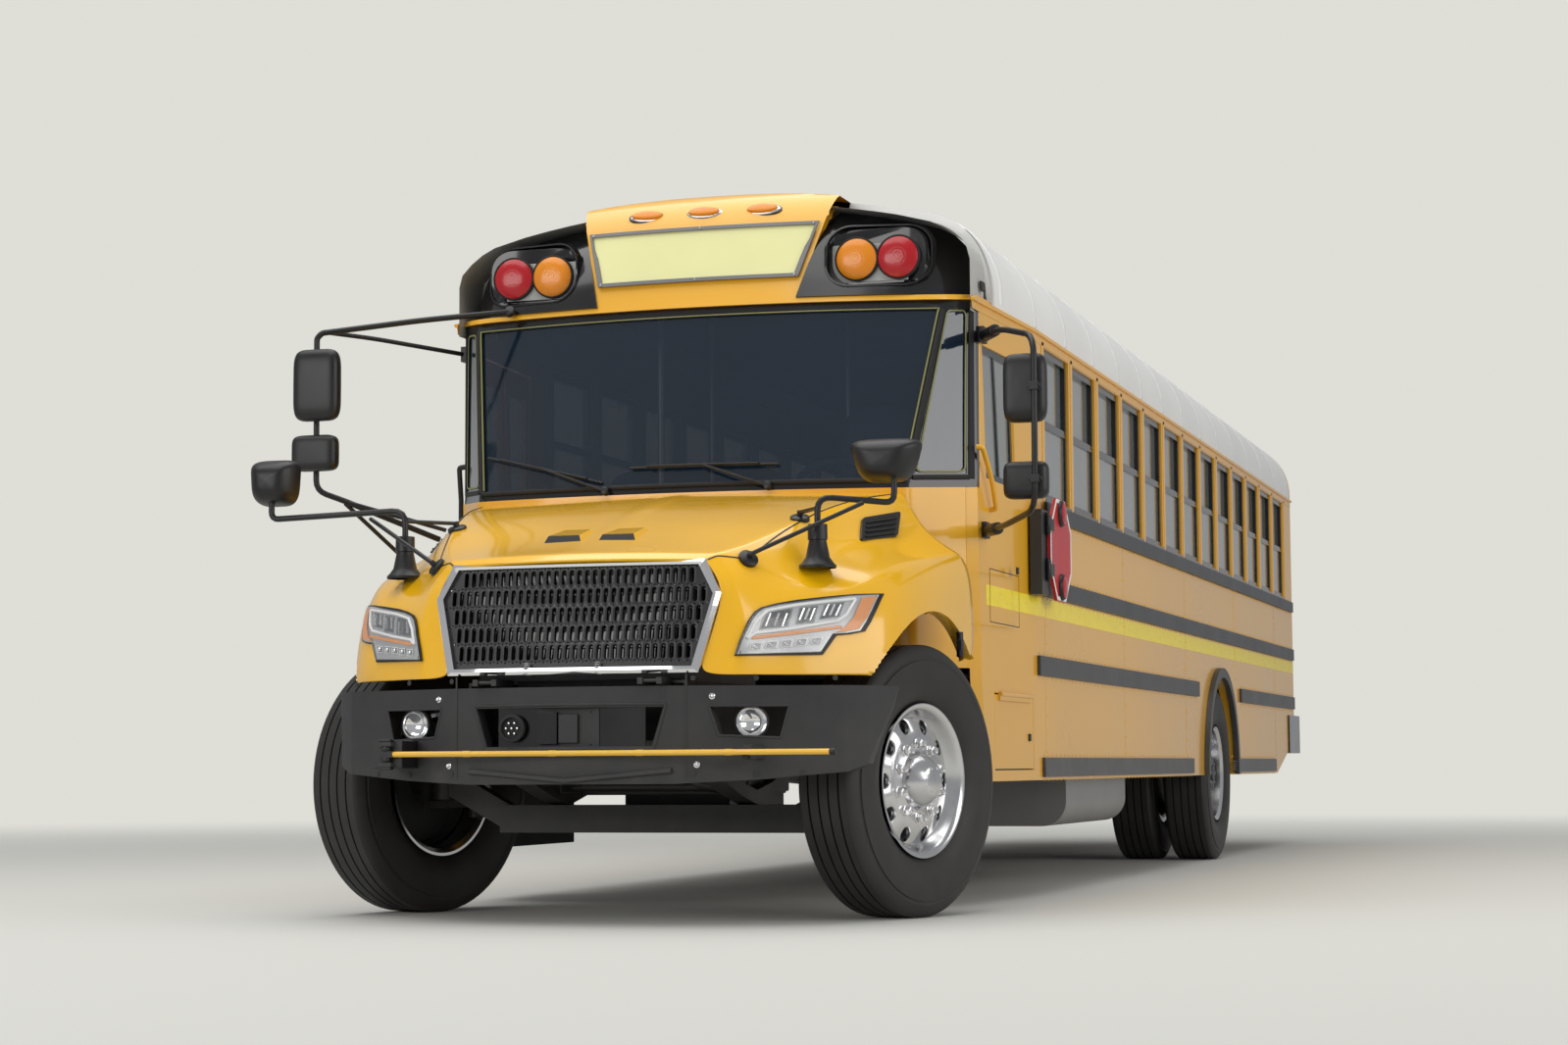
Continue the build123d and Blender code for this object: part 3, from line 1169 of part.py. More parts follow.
# ---------------------------------------------------------------- stop arm and crossing gate
with BuildPart() as stop_arm:
    x, y = STOP_PIVOT
    with BuildSketch(Plane(origin=(x - STOP_T / 2, fa(STOP_MID[0]), STOP_MID[1]), x_dir=(0, 1, 0),
                           z_dir=(1, 0, 0))) as octagon:
        RegularPolygon(STOP_ACROSS / 2, 8, major_radius=False, rotation=22.5)
    extrude(octagon.sketch, amount=STOP_T)
    for z in (STOP_MID[1] - 165, STOP_MID[1] + 165):
        rod((x - 25, STOP_MID[0], z), (x + 25, STOP_MID[0], z), 50)
    for z in (STOP_MID[1] - 100, STOP_MID[1] + 100):
        block((x - STOP_T / 2, x + STOP_T / 2), (y, STOP_MID[0] - 200), (z - 25, z + 25))
        rod((x, y, z - 40), (x, y, z + 40), 12)
stop_arm.part.label = "stop_arm"
export_step(stop_arm.part, "parts/stop_arm.step")

with BuildPart() as crossing_gate:
    x, y = GATE_PIVOT
    rod((x, y, GATE_Z), (GATE_TIP, y, GATE_Z), GATE_R)
    rod((x, y, GATE_Z - 30), (x, y, GATE_Z + 30), 17)
crossing_gate.part.label = "crossing_gate"
export_step(crossing_gate.part, "parts/crossing_gate.step")

# ---------------------------------------------------------------- front steering
for side, name in ((1, "left"), (-1, "right")):
    x = side * KING_X
    y = FRONT_HUB
    spin = Axis((x, fa(y), 0), (0, 0, 1))
    with BuildPart() as knuckle:
        rod((x, y, 424), (x, y, 628), KING_R)
        block(sorted((x - side * 30, x + side * 72)), (y - 40, y + 40), (598, 628))
        block(sorted((x - side * 30, x + side * 72)), (y - 40, y + 40), (420, 450))
        block(sorted((x + side * 54, x + side * 72)), (y - 60, y + 60), (420, 628))
        rod((x + side * 60, y, HUB_Z), (x + side * 210, y, HUB_Z), SPINDLE_R)
        block((x - 18, x + 18), (y, y + ARM_BACK + 24), (420, 445))
        rod((x, y + ARM_BACK, TIE_Z - 22), (x, y + ARM_BACK, 425), 12)
    turned = knuckle.part.rotate(spin, -STEER_REST)
    turned.label = f"knuckle_{name}"
    export_step(turned, f"parts/knuckle_{name}.step")

swung = steered(0, ARM_BACK)
ends = [(side * KING_X + swung[0], FRONT_HUB + swung[1]) for side in (-1, 1)]
with BuildPart() as tie_rod:
    rod((ends[0][0] + 15, ends[0][1], TIE_Z - 6), (ends[1][0] - 15, ends[1][1], TIE_Z - 6), TIE_R - 3)
    for x, y in ends:
        rod((x, y, TIE_Z - 20), (x, y, TIE_Z + 12), 27)
    for x, y in ends:
        rod((x, y, TIE_Z - 30), (x, y, TIE_Z + 20), 12 + RUN, Mode.SUBTRACT)
tie_rod.part.label = "tie_rod"
export_step(tie_rod.part, "parts/tie_rod.step")

# ---------------------------------------------------------------- wheels
TYRE_SHAPE = (
    (-92.0, BEAD_R), (-104.0, 302.0), (-130.0, 345.0), (-TYRE_HALF, 400.0), (-134.0, 465.0),
    (-TREAD_HALF, 512.0), (-104.0, TYRE_R), (-78.0, TYRE_R), (-76.0, 510.0), (-68.0, 510.0),
    (-66.0, TYRE_R), (-30.0, TYRE_R), (-28.0, 510.0), (-20.0, 510.0), (-18.0, TYRE_R),
)
TYRE_LOOP = TYRE_SHAPE + tuple((-a, r) for a, r in reversed(TYRE_SHAPE))
RIM_IN = BEAD_R - SEAT_GAP
FRONT_RIM = (
    (-40.0, SPINDLE_R + RUN), (-40.0, 110.0), (52.0, 110.0), (70.0, 150.0), (70.0, 192.0), (54.0, 240.0),
    (10.0, 264.0), (-100.0, 268.0), (-106.0, 276.0), (-RIM_HALF, 286.0), (-RIM_HALF, RIM_R),
    (-RIM_HALF + RIM_T, RIM_R), (-RIM_HALF + RIM_T, RIM_IN + 4), (-92.0, RIM_IN), (92.0, RIM_IN),
    (RIM_HALF - RIM_T, RIM_IN + 4), (RIM_HALF - RIM_T, RIM_R), (RIM_HALF, RIM_R), (RIM_HALF, 286.0),
    (104.0, 272.0), (66.0, 250.0), (84.0, 192.0), (84.0, 112.0), (140.0, 92.0), (162.0, 60.0),
    (166.0, 0.0), (100.0, 0.0), (100.0, SPINDLE_R + RUN),
)


def ring(loop, centre_x, side, station):
    """Solid of revolution about a wheel's axle from (axial, radial) points."""
    with BuildSketch(cross_plane(station)) as profile:
        with BuildLine():
            Polyline([(centre_x + side * a, HUB_Z + r) for a, r in loop], close=True)
        make_face()
    revolve(profile.sketch, axis=Axis((centre_x, fa(station), HUB_Z), (1, 0, 0)))


def round_the_hub(centre_x, a_from, a_to, at, count, radius, station, mode, phase=0.0):
    """A circle of round bars or holes along the axle direction."""
    for index in range(count):
        angle = 2 * math.pi * (index + phase) / count
        y = station + at * math.cos(angle)
        z = HUB_Z + at * math.sin(angle)
        rod((centre_x + a_from, y, z), (centre_x + a_to, y, z), radius, mode)


for side, name in ((1, "left"), (-1, "right")):
    spin = Axis((side * KING_X, fa(FRONT_HUB), 0), (0, 0, 1))
    middle = side * (KING_X + WHEEL_OUT)
    with BuildPart() as tyre:
        ring(TYRE_LOOP, middle, side, FRONT_HUB)
    turned = tyre.part.rotate(spin, -STEER_REST)
    turned.label = f"tyre_front_{name}"
    export_step(turned, f"parts/tyre_front_{name}.step")
    with BuildPart() as rim:
        ring(FRONT_RIM, middle, side, FRONT_HUB)
        round_the_hub(middle, side * 30, side * 110, HAND_HOLE_AT, 10, HAND_HOLE_R, FRONT_HUB,
                      Mode.SUBTRACT)
        round_the_hub(middle, side * 80, side * 116, BOLT_CIRCLE / 2, STUDS, 15, FRONT_HUB,
                      Mode.ADD, 0.5)
    turned = rim.part.rotate(spin, -STEER_REST)
    turned.label = f"rim_front_{name}"
    export_step(turned, f"parts/rim_front_{name}.step")

DUAL_MID = sum(DUAL_X) / 2
DUAL_HALF = (DUAL_X[1] - DUAL_X[0]) / 2
HALF_RIM = (
    (0.0, 100.0), (0.0, 186.0), (30.0, 226.0), (DUAL_HALF - 60, 250.0), (DUAL_HALF + 100, 264.0),
    (DUAL_HALF + RIM_HALF, 286.0), (DUAL_HALF + RIM_HALF, RIM_R), (DUAL_HALF + RIM_HALF - RIM_T, RIM_R),
    (DUAL_HALF + RIM_HALF - RIM_T, RIM_IN + 4), (DUAL_HALF + 92, RIM_IN), (DUAL_HALF - 92, RIM_IN),
    (DUAL_HALF - RIM_HALF + RIM_T, RIM_IN + 4), (DUAL_HALF - RIM_HALF + RIM_T, RIM_R),
    (DUAL_HALF - RIM_HALF, RIM_R), (DUAL_HALF - RIM_HALF, 270.0), (20.0, 240.0), (-12.0, 200.0),
    (-12.0, 100.0),
)
for side, name in ((1, "left"), (-1, "right")):
    with BuildPart() as tyre:
        for x in DUAL_X:
            ring(TYRE_LOOP, side * x, side, REAR_HUB)
    tyre.part.label = f"tyre_rear_{name}"
    export_step(tyre.part, f"parts/tyre_rear_{name}.step")
    with BuildPart() as rim:
        ring(HALF_RIM, side * DUAL_MID, side, REAR_HUB)
        ring(HALF_RIM, side * DUAL_MID, -side, REAR_HUB)
        ring(
            ((-130.0, SPINDLE_R + RUN), (-130.0, 110.0), (90.0, 110.0), (140.0, 80.0), (180.0, 60.0),
             (184.0, 0.0), (100.0, 0.0), (100.0, SPINDLE_R + RUN)),
            side * DUAL_MID, side, REAR_HUB,
        )
        round_the_hub(side * DUAL_MID, -60, 60, HAND_HOLE_AT - 10, 10, 24, REAR_HUB, Mode.SUBTRACT)
        round_the_hub(
            side * DUAL_MID, side * 10, side * 46, BOLT_CIRCLE / 2, STUDS, 15, REAR_HUB, Mode.ADD, 0.5
        )
    rim.part.label = f"rim_rear_{name}"
    export_step(rim.part, f"parts/rim_rear_{name}.step")
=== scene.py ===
import json
import math
import bpy
import bmesh
from mathutils import Matrix, Vector
from mathutils.bvhtree import BVHTree

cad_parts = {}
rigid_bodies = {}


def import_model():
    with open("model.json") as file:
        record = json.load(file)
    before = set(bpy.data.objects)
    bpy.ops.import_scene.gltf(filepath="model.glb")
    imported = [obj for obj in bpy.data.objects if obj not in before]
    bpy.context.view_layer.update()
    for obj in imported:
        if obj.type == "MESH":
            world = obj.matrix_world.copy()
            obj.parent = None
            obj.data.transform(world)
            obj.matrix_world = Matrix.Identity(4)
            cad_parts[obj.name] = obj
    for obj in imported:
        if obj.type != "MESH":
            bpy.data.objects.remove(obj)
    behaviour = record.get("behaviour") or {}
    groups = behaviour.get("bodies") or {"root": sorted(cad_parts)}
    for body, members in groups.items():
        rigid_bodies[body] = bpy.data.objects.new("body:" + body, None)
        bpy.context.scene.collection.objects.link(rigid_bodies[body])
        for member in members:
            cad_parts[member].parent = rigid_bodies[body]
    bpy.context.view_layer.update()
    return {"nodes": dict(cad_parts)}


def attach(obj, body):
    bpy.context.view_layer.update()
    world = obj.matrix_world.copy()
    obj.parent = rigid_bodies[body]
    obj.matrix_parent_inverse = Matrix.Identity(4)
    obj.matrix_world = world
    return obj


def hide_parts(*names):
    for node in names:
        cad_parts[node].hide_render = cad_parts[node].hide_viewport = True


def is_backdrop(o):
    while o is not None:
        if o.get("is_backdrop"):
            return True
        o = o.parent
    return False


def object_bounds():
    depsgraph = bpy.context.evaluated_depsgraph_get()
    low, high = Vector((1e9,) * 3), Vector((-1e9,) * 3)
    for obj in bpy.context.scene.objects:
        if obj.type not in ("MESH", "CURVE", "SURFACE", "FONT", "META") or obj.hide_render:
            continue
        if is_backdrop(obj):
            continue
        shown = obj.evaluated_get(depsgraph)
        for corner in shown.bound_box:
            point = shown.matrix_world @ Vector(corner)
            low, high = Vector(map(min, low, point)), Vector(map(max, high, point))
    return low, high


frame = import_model()
nodes = frame["nodes"]
scene = bpy.context.scene

# ---------------------------------------------------------------- frame
# Stations are millimetres back from a datum just ahead of the front axle.
DATUM = -5005.0
HUB_Z = 524.0
FRONT_HUB = 60.0
REAR_HUB = 7010.0
KING_X = 905.0
WHEEL_OUT = 120.0
STEER = math.radians(18)
HALF = 1219.0
REAR = 10650.0


def P(x, y, z):
    """A point from x, station and z in millimetres."""
    return Vector((x / 1000, (y + DATUM) / 1000, z / 1000))


def along(knots, t):
    """Value at t on the line through (t, value) knots, level past the last one."""
    for (t0, v0), (t1, v1) in zip(knots[:-1], knots[1:]):
        if t <= t1:
            return v0 + (t - t0) * (v1 - v0) / (t1 - t0)
    return knots[-1][1]


def bowed(x, z):
    """Station of the raked, bowed windshield surface."""
    line = 402 + (z - 1735) * (591 - 402) / (2511 - 1735)
    radius = 4200 + 402 - line
    return 402 + 4200 - math.sqrt(radius ** 2 - x ** 2)


# ---------------------------------------------------------------- materials
def finish(name, color, rough=0.4, metal=0.0, vary=0.06, scale=3.0, grain=0.0, grain_scale=400.0,
           coat=0.0, dirt=0.0, alpha=1.0, swing=0.08, ior=1.45):
    """Painted, moulded or metal surface: drifting colour, uneven gloss, fine bump, dust in low places."""
    m = bpy.data.materials.new(name)
    m.use_nodes = True
    nt = m.node_tree
    nt.nodes.clear()
    out = nt.nodes.new("ShaderNodeOutputMaterial")
    bsdf = nt.nodes.new("ShaderNodeBsdfPrincipled")
    nt.links.new(bsdf.outputs[0], out.inputs[0])
    place = nt.nodes.new("ShaderNodeTexCoord")
    drift = nt.nodes.new("ShaderNodeTexNoise")
    drift.inputs["Scale"].default_value = scale
    drift.inputs["Detail"].default_value = 5
    nt.links.new(place.outputs["Object"], drift.inputs["Vector"])
    ramp = nt.nodes.new("ShaderNodeValToRGB")
    low = [max(0, c * (1 - vary)) for c in color[:3]]
    high = [min(1, c * (1 + vary)) for c in color[:3]]
    ramp.color_ramp.elements[0].position = 0.3
    ramp.color_ramp.elements[1].position = 0.7
    ramp.color_ramp.elements[0].color = (*low, 1)
    ramp.color_ramp.elements[1].color = (*high, 1)
    nt.links.new(drift.outputs["Fac"], ramp.inputs[0])
    colour = ramp.outputs[0]
    if dirt:
        geo = nt.nodes.new("ShaderNodeSeparateXYZ")
        nt.links.new(place.outputs["Object"], geo.inputs[0])
        fall = nt.nodes.new("ShaderNodeMapRange")
        fall.inputs["From Min"].default_value = 0.3
        fall.inputs["From Max"].default_value = 1.3
        fall.inputs["To Min"].default_value = dirt
        fall.inputs["To Max"].default_value = 0.0
        nt.links.new(geo.outputs["Z"], fall.inputs["Value"])
        spots = nt.nodes.new("ShaderNodeTexNoise")
        spots.inputs["Scale"].default_value = 9
        spots.inputs["Detail"].default_value = 8
        nt.links.new(place.outputs["Object"], spots.inputs["Vector"])
        times = nt.nodes.new("ShaderNodeMath")
        times.operation = "MULTIPLY"
        nt.links.new(fall.outputs[0], times.inputs[0])
        nt.links.new(spots.outputs["Fac"], times.inputs[1])
        mix = nt.nodes.new("ShaderNodeMix")
        mix.data_type = "RGBA"
        mix.inputs["B"].default_value = (0.34, 0.31, 0.27, 1)
        nt.links.new(times.outputs[0], mix.inputs["Factor"])
        nt.links.new(colour, mix.inputs["A"])
        colour = mix.outputs["Result"]
    nt.links.new(colour, bsdf.inputs["Base Color"])
    gloss = nt.nodes.new("ShaderNodeMapRange")
    gloss.inputs["To Min"].default_value = max(0.02, rough - swing)
    gloss.inputs["To Max"].default_value = rough + swing
    nt.links.new(drift.outputs["Fac"], gloss.inputs["Value"])
    nt.links.new(gloss.outputs[0], bsdf.inputs["Roughness"])
    bsdf.inputs["Metallic"].default_value = metal
    bsdf.inputs["Coat Weight"].default_value = coat
    bsdf.inputs["Coat Roughness"].default_value = 0.08
    bsdf.inputs["IOR"].default_value = ior
    bsdf.inputs["Alpha"].default_value = alpha
    if grain:
        fine = nt.nodes.new("ShaderNodeTexNoise")
        fine.inputs["Scale"].default_value = grain_scale
        fine.inputs["Detail"].default_value = 3
        nt.links.new(place.outputs["Object"], fine.inputs["Vector"])
        bump = nt.nodes.new("ShaderNodeBump")
        bump.inputs["Strength"].default_value = grain
        bump.inputs["Distance"].default_value = 0.001
        nt.links.new(fine.outputs["Fac"], bump.inputs["Height"])
        nt.links.new(bump.outputs[0], bsdf.inputs["Normal"])
    m.diffuse_color = (*color[:3], 1)
    return m


YELLOW = finish("school_bus_yellow", (0.78, 0.40, 0.020), 0.30, vary=0.03, scale=1.2, grain=0.05,
                grain_scale=60, coat=0.55, dirt=0.18)
HOOD_YELLOW = finish("moulded_yellow", (0.86, 0.46, 0.004), 0.24, vary=0.03, scale=1.6, grain=0.05,
                     grain_scale=50, coat=0.7, dirt=0.1)
WHITE = finish("roof_white", (0.80, 0.80, 0.78), 0.38, vary=0.03, scale=1.5, grain=0.05, grain_scale=60,
               coat=0.3)
BLACK = finish("black_moulding", (0.009, 0.009, 0.010), 0.38, vary=0.25, grain=0.25, grain_scale=900)
GLOSS_BLACK = finish("black_paint", (0.006, 0.006, 0.007), 0.18, vary=0.2, grain=0.03, coat=0.4)
RAIL = finish("rail_grey", (0.034, 0.035, 0.038), 0.40, vary=0.12, grain=0.08, dirt=0.25)
BUMPER = finish("bumper_grey", (0.020, 0.0205, 0.023), 0.55, vary=0.12, grain=0.7, grain_scale=1400,
                dirt=0.12)
FRAME_BLACK = finish("chassis_black", (0.009, 0.009, 0.010), 0.45, vary=0.3, grain=0.2, dirt=0.12)
CAST = finish("cast_grey", (0.16, 0.16, 0.165), 0.6, metal=0.4, vary=0.2, grain=0.5, grain_scale=250)
STEEL = finish("bare_steel", (0.32, 0.32, 0.33), 0.42, metal=0.85, vary=0.15, grain=0.15, dirt=0.5)
RUBBER = finish("rubber", (0.012, 0.012, 0.013), 0.7, vary=0.2, grain=0.3, grain_scale=700)
TYRE = finish("tyre_rubber", (0.012, 0.0115, 0.011), 0.55, vary=0.22, scale=8, grain=0.4, grain_scale=600,
              dirt=0.06)
ALLOY = finish("polished_alloy", (0.60, 0.60, 0.61), 0.20, metal=1.0, vary=0.05, scale=14, grain=0.04)
CHROME = finish("chrome", (0.86, 0.86, 0.87), 0.07, metal=1.0, vary=0.03, swing=0.03)
GLASS_DARK = finish("windshield_glass", (0.006, 0.017, 0.034), 0.04, vary=0.05, alpha=0.74, coat=1.0,
                    swing=0.01)
GLASS_SIDE = finish("tinted_glass", (0.26, 0.28, 0.275), 0.06, vary=0.08, alpha=0.80, coat=1.0, swing=0.01)
CORNER_GLASS = finish("corner_glass", (0.008, 0.018, 0.036), 0.04, vary=0.05, alpha=0.95, coat=1.0,
                      swing=0.01)
MIRROR = finish("mirror_face", (0.80, 0.82, 0.84), 0.04, metal=1.0, vary=0.02, swing=0.01)
CLEAR = finish("clear_lens", (0.70, 0.72, 0.74), 0.06, vary=0.02, alpha=0.09, coat=1.0, swing=0.02)
RED = finish("red_lens", (0.40, 0.004, 0.010), 0.26, vary=0.1, coat=0.25, grain=0.5, grain_scale=160)
AMBER = finish("amber_lens", (0.72, 0.235, 0.006), 0.28, vary=0.1, coat=0.25, grain=0.5, grain_scale=160)
SIGN = finish("reflective_sheet", (0.74, 0.73, 0.36), 0.35, vary=0.03, grain=0.05, grain_scale=300)
TAPE = finish("yellow_tape", (0.90, 0.70, 0.02), 0.30, vary=0.05, scale=30, grain=0.1, grain_scale=200)
WHITE_TRIM = finish("white_sheet", (0.78, 0.78, 0.77), 0.35, vary=0.04)
STOP_RED = finish("stop_red", (0.45, 0.012, 0.018), 0.35, vary=0.06)
GATE = finish("gate_yellow", (0.80, 0.45, 0.015), 0.3, vary=0.04, coat=0.4, dirt=0.2)
VINYL = finish("seat_vinyl", (0.030, 0.045, 0.085), 0.5, vary=0.14, scale=6, grain=0.5, grain_scale=350)
GASKET = finish("gasket_line", (0.22, 0.22, 0.085), 0.45, vary=0.06)
DASH = finish("dashboard_plastic", (0.045, 0.046, 0.048), 0.6, vary=0.15, grain=0.5, grain_scale=800)
CABIN = finish("cabin_liner", (0.42, 0.42, 0.40), 0.6, vary=0.06, grain=0.2)


def wear(name, mat):
    """Gives every material slot of a CAD node one material."""
    for s in nodes[name].material_slots:
        s.material = mat


for name in ("chassis_frame", "floor_beams", "front_axle", "rear_axle", "knuckle_left", "knuckle_right",
             "tie_rod",
             "drive_shaft", "underbody_boxes"):
    wear(name, FRAME_BLACK)
wear("engine_block", CAST)
for name in ("fuel_tank", "exhaust"):
    wear(name, STEEL)
for name in ("floor_panel", "wheel_housings", "stepwell"):
    wear(name, RUBBER)
for name in ("side_wall_left", "side_wall_right", "rear_wall", "front_cap", "cowl", "rear_door",
             "battery_door", "entrance_door_front", "entrance_door_rear"):
    wear(name, YELLOW)
wear("hood", HOOD_YELLOW)
for name in ("roof", "roof_hatch_front", "roof_hatch_rear"):
    wear(name, WHITE)
wear("lamp_housings", BLACK)
for name in ("windshield_frame", "window_frames"):
    wear(name, GLOSS_BLACK)
wear("body_glass", GLASS_SIDE)
for name in ("entrance_glass_front", "entrance_glass_rear", "rear_door_glass"):
    wear(name, GLASS_SIDE)
wear("side_trim", RAIL)
wear("front_bumper", BUMPER)
wear("rear_bumper", GLOSS_BLACK)
wear("headlamps", BLACK)
wear("grille_surround", CHROME)
wear("grille_mesh", BLACK)
wear("cross_mirrors", BLACK)
wear("side_mirrors", BLACK)
wear("body_lamps", RED)
wear("marker_lamps", AMBER)
wear("sign_boards", SIGN)
wear("wipers", BLACK)
wear("dashboard", DASH)
wear("seat_pads", VINYL)
wear("seat_frames", STEEL)
wear("stop_arm", STOP_RED)
wear("crossing_gate", GATE)
for corner in ("front_left", "front_right", "rear_left", "rear_right"):
    wear("tyre_" + corner, TYRE)
    wear("rim_" + corner, ALLOY)


# ---------------------------------------------------------------- mesh kit
ORIGIN = Vector((0, 0, 0))
AXLE = (1, 0, 0)


def bands(count, n, closed=True):
    """Four-sided faces that join each of count + 1 rows of n points to the next row."""
    return [(k * n + i, k * n + (i + 1) % n, (k + 1) * n + (i + 1) % n, (k + 1) * n + i)
            for k in range(count) for i in range(n if closed else n - 1)]


def bulge(value, power):
    """Value from -1 to 1 raised to a power, with its sign kept."""
    return math.copysign(abs(value) ** power, value)


class Kit:
    """Gathers faces of one piece, each with the index of its material."""

    def __init__(self):
        self.v = []
        self.f = []
        self.m = []
        self.mat = 0
        self.at = Matrix.Identity(4)

    def add(self, verts, faces):
        """Takes in points and faces, with the material in use."""
        base = len(self.v)
        self.v += [self.at @ Vector(v) for v in verts]
        self.f += [tuple(base + i for i in f) for f in faces]
        self.m += [self.mat] * len(faces)

    def prism(self, loop, push):
        """Solid between a flat loop and its copy, moved by push."""
        n = len(loop)
        push = Vector(push)
        verts = list(loop) + [Vector(p) + push for p in loop]
        self.add(verts, [tuple(reversed(range(n))), tuple(range(n, 2 * n))] + bands(1, n))

    def box(self, x, y, z):
        """Box between two values each of x, station and z."""
        a, b = P(x[0], y[0], z[0]), P(x[1], y[1], z[1])
        self.prism([Vector((a.x, a.y, a.z)), Vector((b.x, a.y, a.z)), Vector((b.x, b.y, a.z)),
                    Vector((a.x, b.y, a.z))], (0, 0, b.z - a.z))

    def lathe(self, profile, origin, axis, n=48):
        """Profile of (along, radius) pairs in metres, turned about an axis."""
        axis = Vector(axis).normalized()
        side = axis.orthogonal().normalized()
        up = axis.cross(side)
        rings = []
        verts = []
        for t, r in profile:
            if r < 1e-6:
                rings.append([len(verts)])
                verts.append(origin + axis * t)
                continue
            rings.append(list(range(len(verts), len(verts) + n)))
            for k in range(n):
                a = 2 * math.pi * k / n
                verts.append(origin + axis * t + side * (r * math.cos(a)) + up * (r * math.sin(a)))
        faces = []
        for low, high in zip(rings[:-1], rings[1:]):
            for k in range(n):
                a, b = low[k % len(low)], low[(k + 1) % len(low)]
                c, d = high[(k + 1) % len(high)], high[k % len(high)]
                loop = []
                for i in (a, b, c, d):
                    if i not in loop:
                        loop.append(i)
                if len(loop) > 2:
                    faces.append(tuple(loop))
        self.add(verts, faces)

    def pill(self, a, b, r, n=16, edge=0.25):
        """Round bar with softened ends."""
        length = (b - a).length
        r /= 1000
        e = min(r * edge, length / 3)
        self.lathe([(0, 0), (0, r - e), (e * 0.3, r - e * 0.3), (e, r), (length - e, r),
                    (length - e * 0.3, r - e * 0.3), (length, r - e), (length, 0)], a, b - a, n)

    def tube(self, points, r, n=12, cap=True):
        """Tube along points, with its corners rounded."""
        path = rounded(points)
        r /= 1000
        verts = []
        side = (path[1] - path[0]).normalized().orthogonal().normalized()
        for i, p in enumerate(path):
            go = (path[min(i + 1, len(path) - 1)] - path[max(i - 1, 0)]).normalized()
            side = (side - go * side.dot(go)).normalized()
            up = go.cross(side)
            for k in range(n):
                a = 2 * math.pi * k / n
                verts.append(p + side * (r * math.cos(a)) + up * (r * math.sin(a)))
        faces = bands(len(path) - 1, n)
        if cap:
            faces.append(tuple(reversed(range(n))))
            faces.append(tuple(range((len(path) - 1) * n, len(path) * n)))
        self.add(verts, faces)

    def ball(self, centre, r, n=16):
        """Ball of r mm about a point."""
        keep = self.at
        self.at = keep @ Matrix.Translation(centre)
        turns = [math.pi * k / 8 for k in range(9)]
        self.lathe([(-r / 1000 * math.cos(a), r / 1000 * math.sin(a)) for a in turns], ORIGIN, (0, 0, 1), n)
        self.at = keep

    def make(self, name, mats, body="chassis", slot=None, replaces=(), bevel=0.0, smooth=35):
        """Turns what was gathered into one piece."""
        mesh = bpy.data.meshes.new(name)
        mesh.from_pydata([tuple(v) for v in self.v], [], self.f)
        for m in mats:
            mesh.materials.append(m)
        mesh.polygons.foreach_set("material_index", self.m)
        bm = bmesh.new()
        bm.from_mesh(mesh)
        bmesh.ops.recalc_face_normals(bm, faces=bm.faces)
        bm.to_mesh(mesh)
        bm.free()
        return dress(mesh, name, body, replaces, bevel, smooth)


def dress(mesh, name, body, replaces=(), bevel=0.0, smooth=35):
    """Puts a mesh in the scene as a piece that rides on a body."""
    obj = bpy.data.objects.new(name, mesh)
    scene.collection.objects.link(obj)
    mesh.polygons.foreach_set("use_smooth", [True] * len(mesh.polygons))
    mesh.set_sharp_from_angle(angle=math.radians(smooth))
    if bevel:
        mod = obj.modifiers.new("edges", "BEVEL")
        mod.width = bevel / 1000
        mod.segments = 2
        mod.limit_method = "ANGLE"
        mod.angle_limit = math.radians(35)
        mod.harden_normals = True
    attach(obj, body)
    if replaces:
        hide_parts(*replaces)
    return obj


def rounded(points, part=0.35, steps=4):
    """Path with its inner corners rounded by short arcs."""
    out = [points[0]]
    for a, b, c in zip(points[:-2], points[1:-1], points[2:]):
        reach = min((b - a).length, (c - b).length) * part
        reach = min(reach, 0.09)
        p = b + (a - b).normalized() * reach
        q = b + (c - b).normalized() * reach
        for k in range(steps + 1):
            t = k / steps
            out.append(p * (1 - t) ** 2 + b * (2 * t * (1 - t)) + q * t ** 2)
    out.append(points[-1])
    return out


def baked(obj):
    """Mesh of an object with its modifiers applied."""
    dg = bpy.context.evaluated_depsgraph_get()
    return bpy.data.meshes.new_from_object(obj.evaluated_get(dg))


def drape(loop, to_3d, push, tree, offset, cell=0.02, shell=0.0):
    """Flat outline cut into small faces and laid on a surface, standing off it by offset mm."""
    bm = bmesh.new()
    verts = [bm.verts.new((x / 1000, y / 1000, 0)) for x, y in loop]
    bm.faces.new(verts)
    xs = [v.co.x for v in bm.verts]
    ys = [v.co.y for v in bm.verts]
    for axis, low, high in ((0, min(xs), max(xs)), (1, min(ys), max(ys))):
        count = int((high - low) / cell)
        for k in range(1, count + 1):
            at = low + (high - low) * k / (count + 1)
            co = [0, 0, 0]
            no = [0, 0, 0]
            co[axis] = at
            no[axis] = 1
            bmesh.ops.bisect_plane(bm, geom=bm.verts[:] + bm.edges[:] + bm.faces[:], plane_co=co, plane_no=no)
    push = Vector(push).normalized()
    for v in bm.verts:
        start = to_3d(v.co.x * 1000, v.co.y * 1000)
        hit = tree.ray_cast(start, push)[0]
        v.co = start + push * 0.3 if hit is None else hit - push * (offset / 1000)
    if shell:
        bmesh.ops.recalc_face_normals(bm, faces=bm.faces)
        geo = bmesh.ops.extrude_face_region(bm, geom=bm.faces[:])
        for v in [g for g in geo["geom"] if isinstance(g, bmesh.types.BMVert)]:
            v.co -= push * (shell / 1000)
        bmesh.ops.recalc_face_normals(bm, faces=bm.faces)
    verts = [v.co.copy() for v in bm.verts]
    bm.verts.index_update()
    faces = [tuple(v.index for v in f.verts) for f in bm.faces]
    bm.free()
    return verts, faces


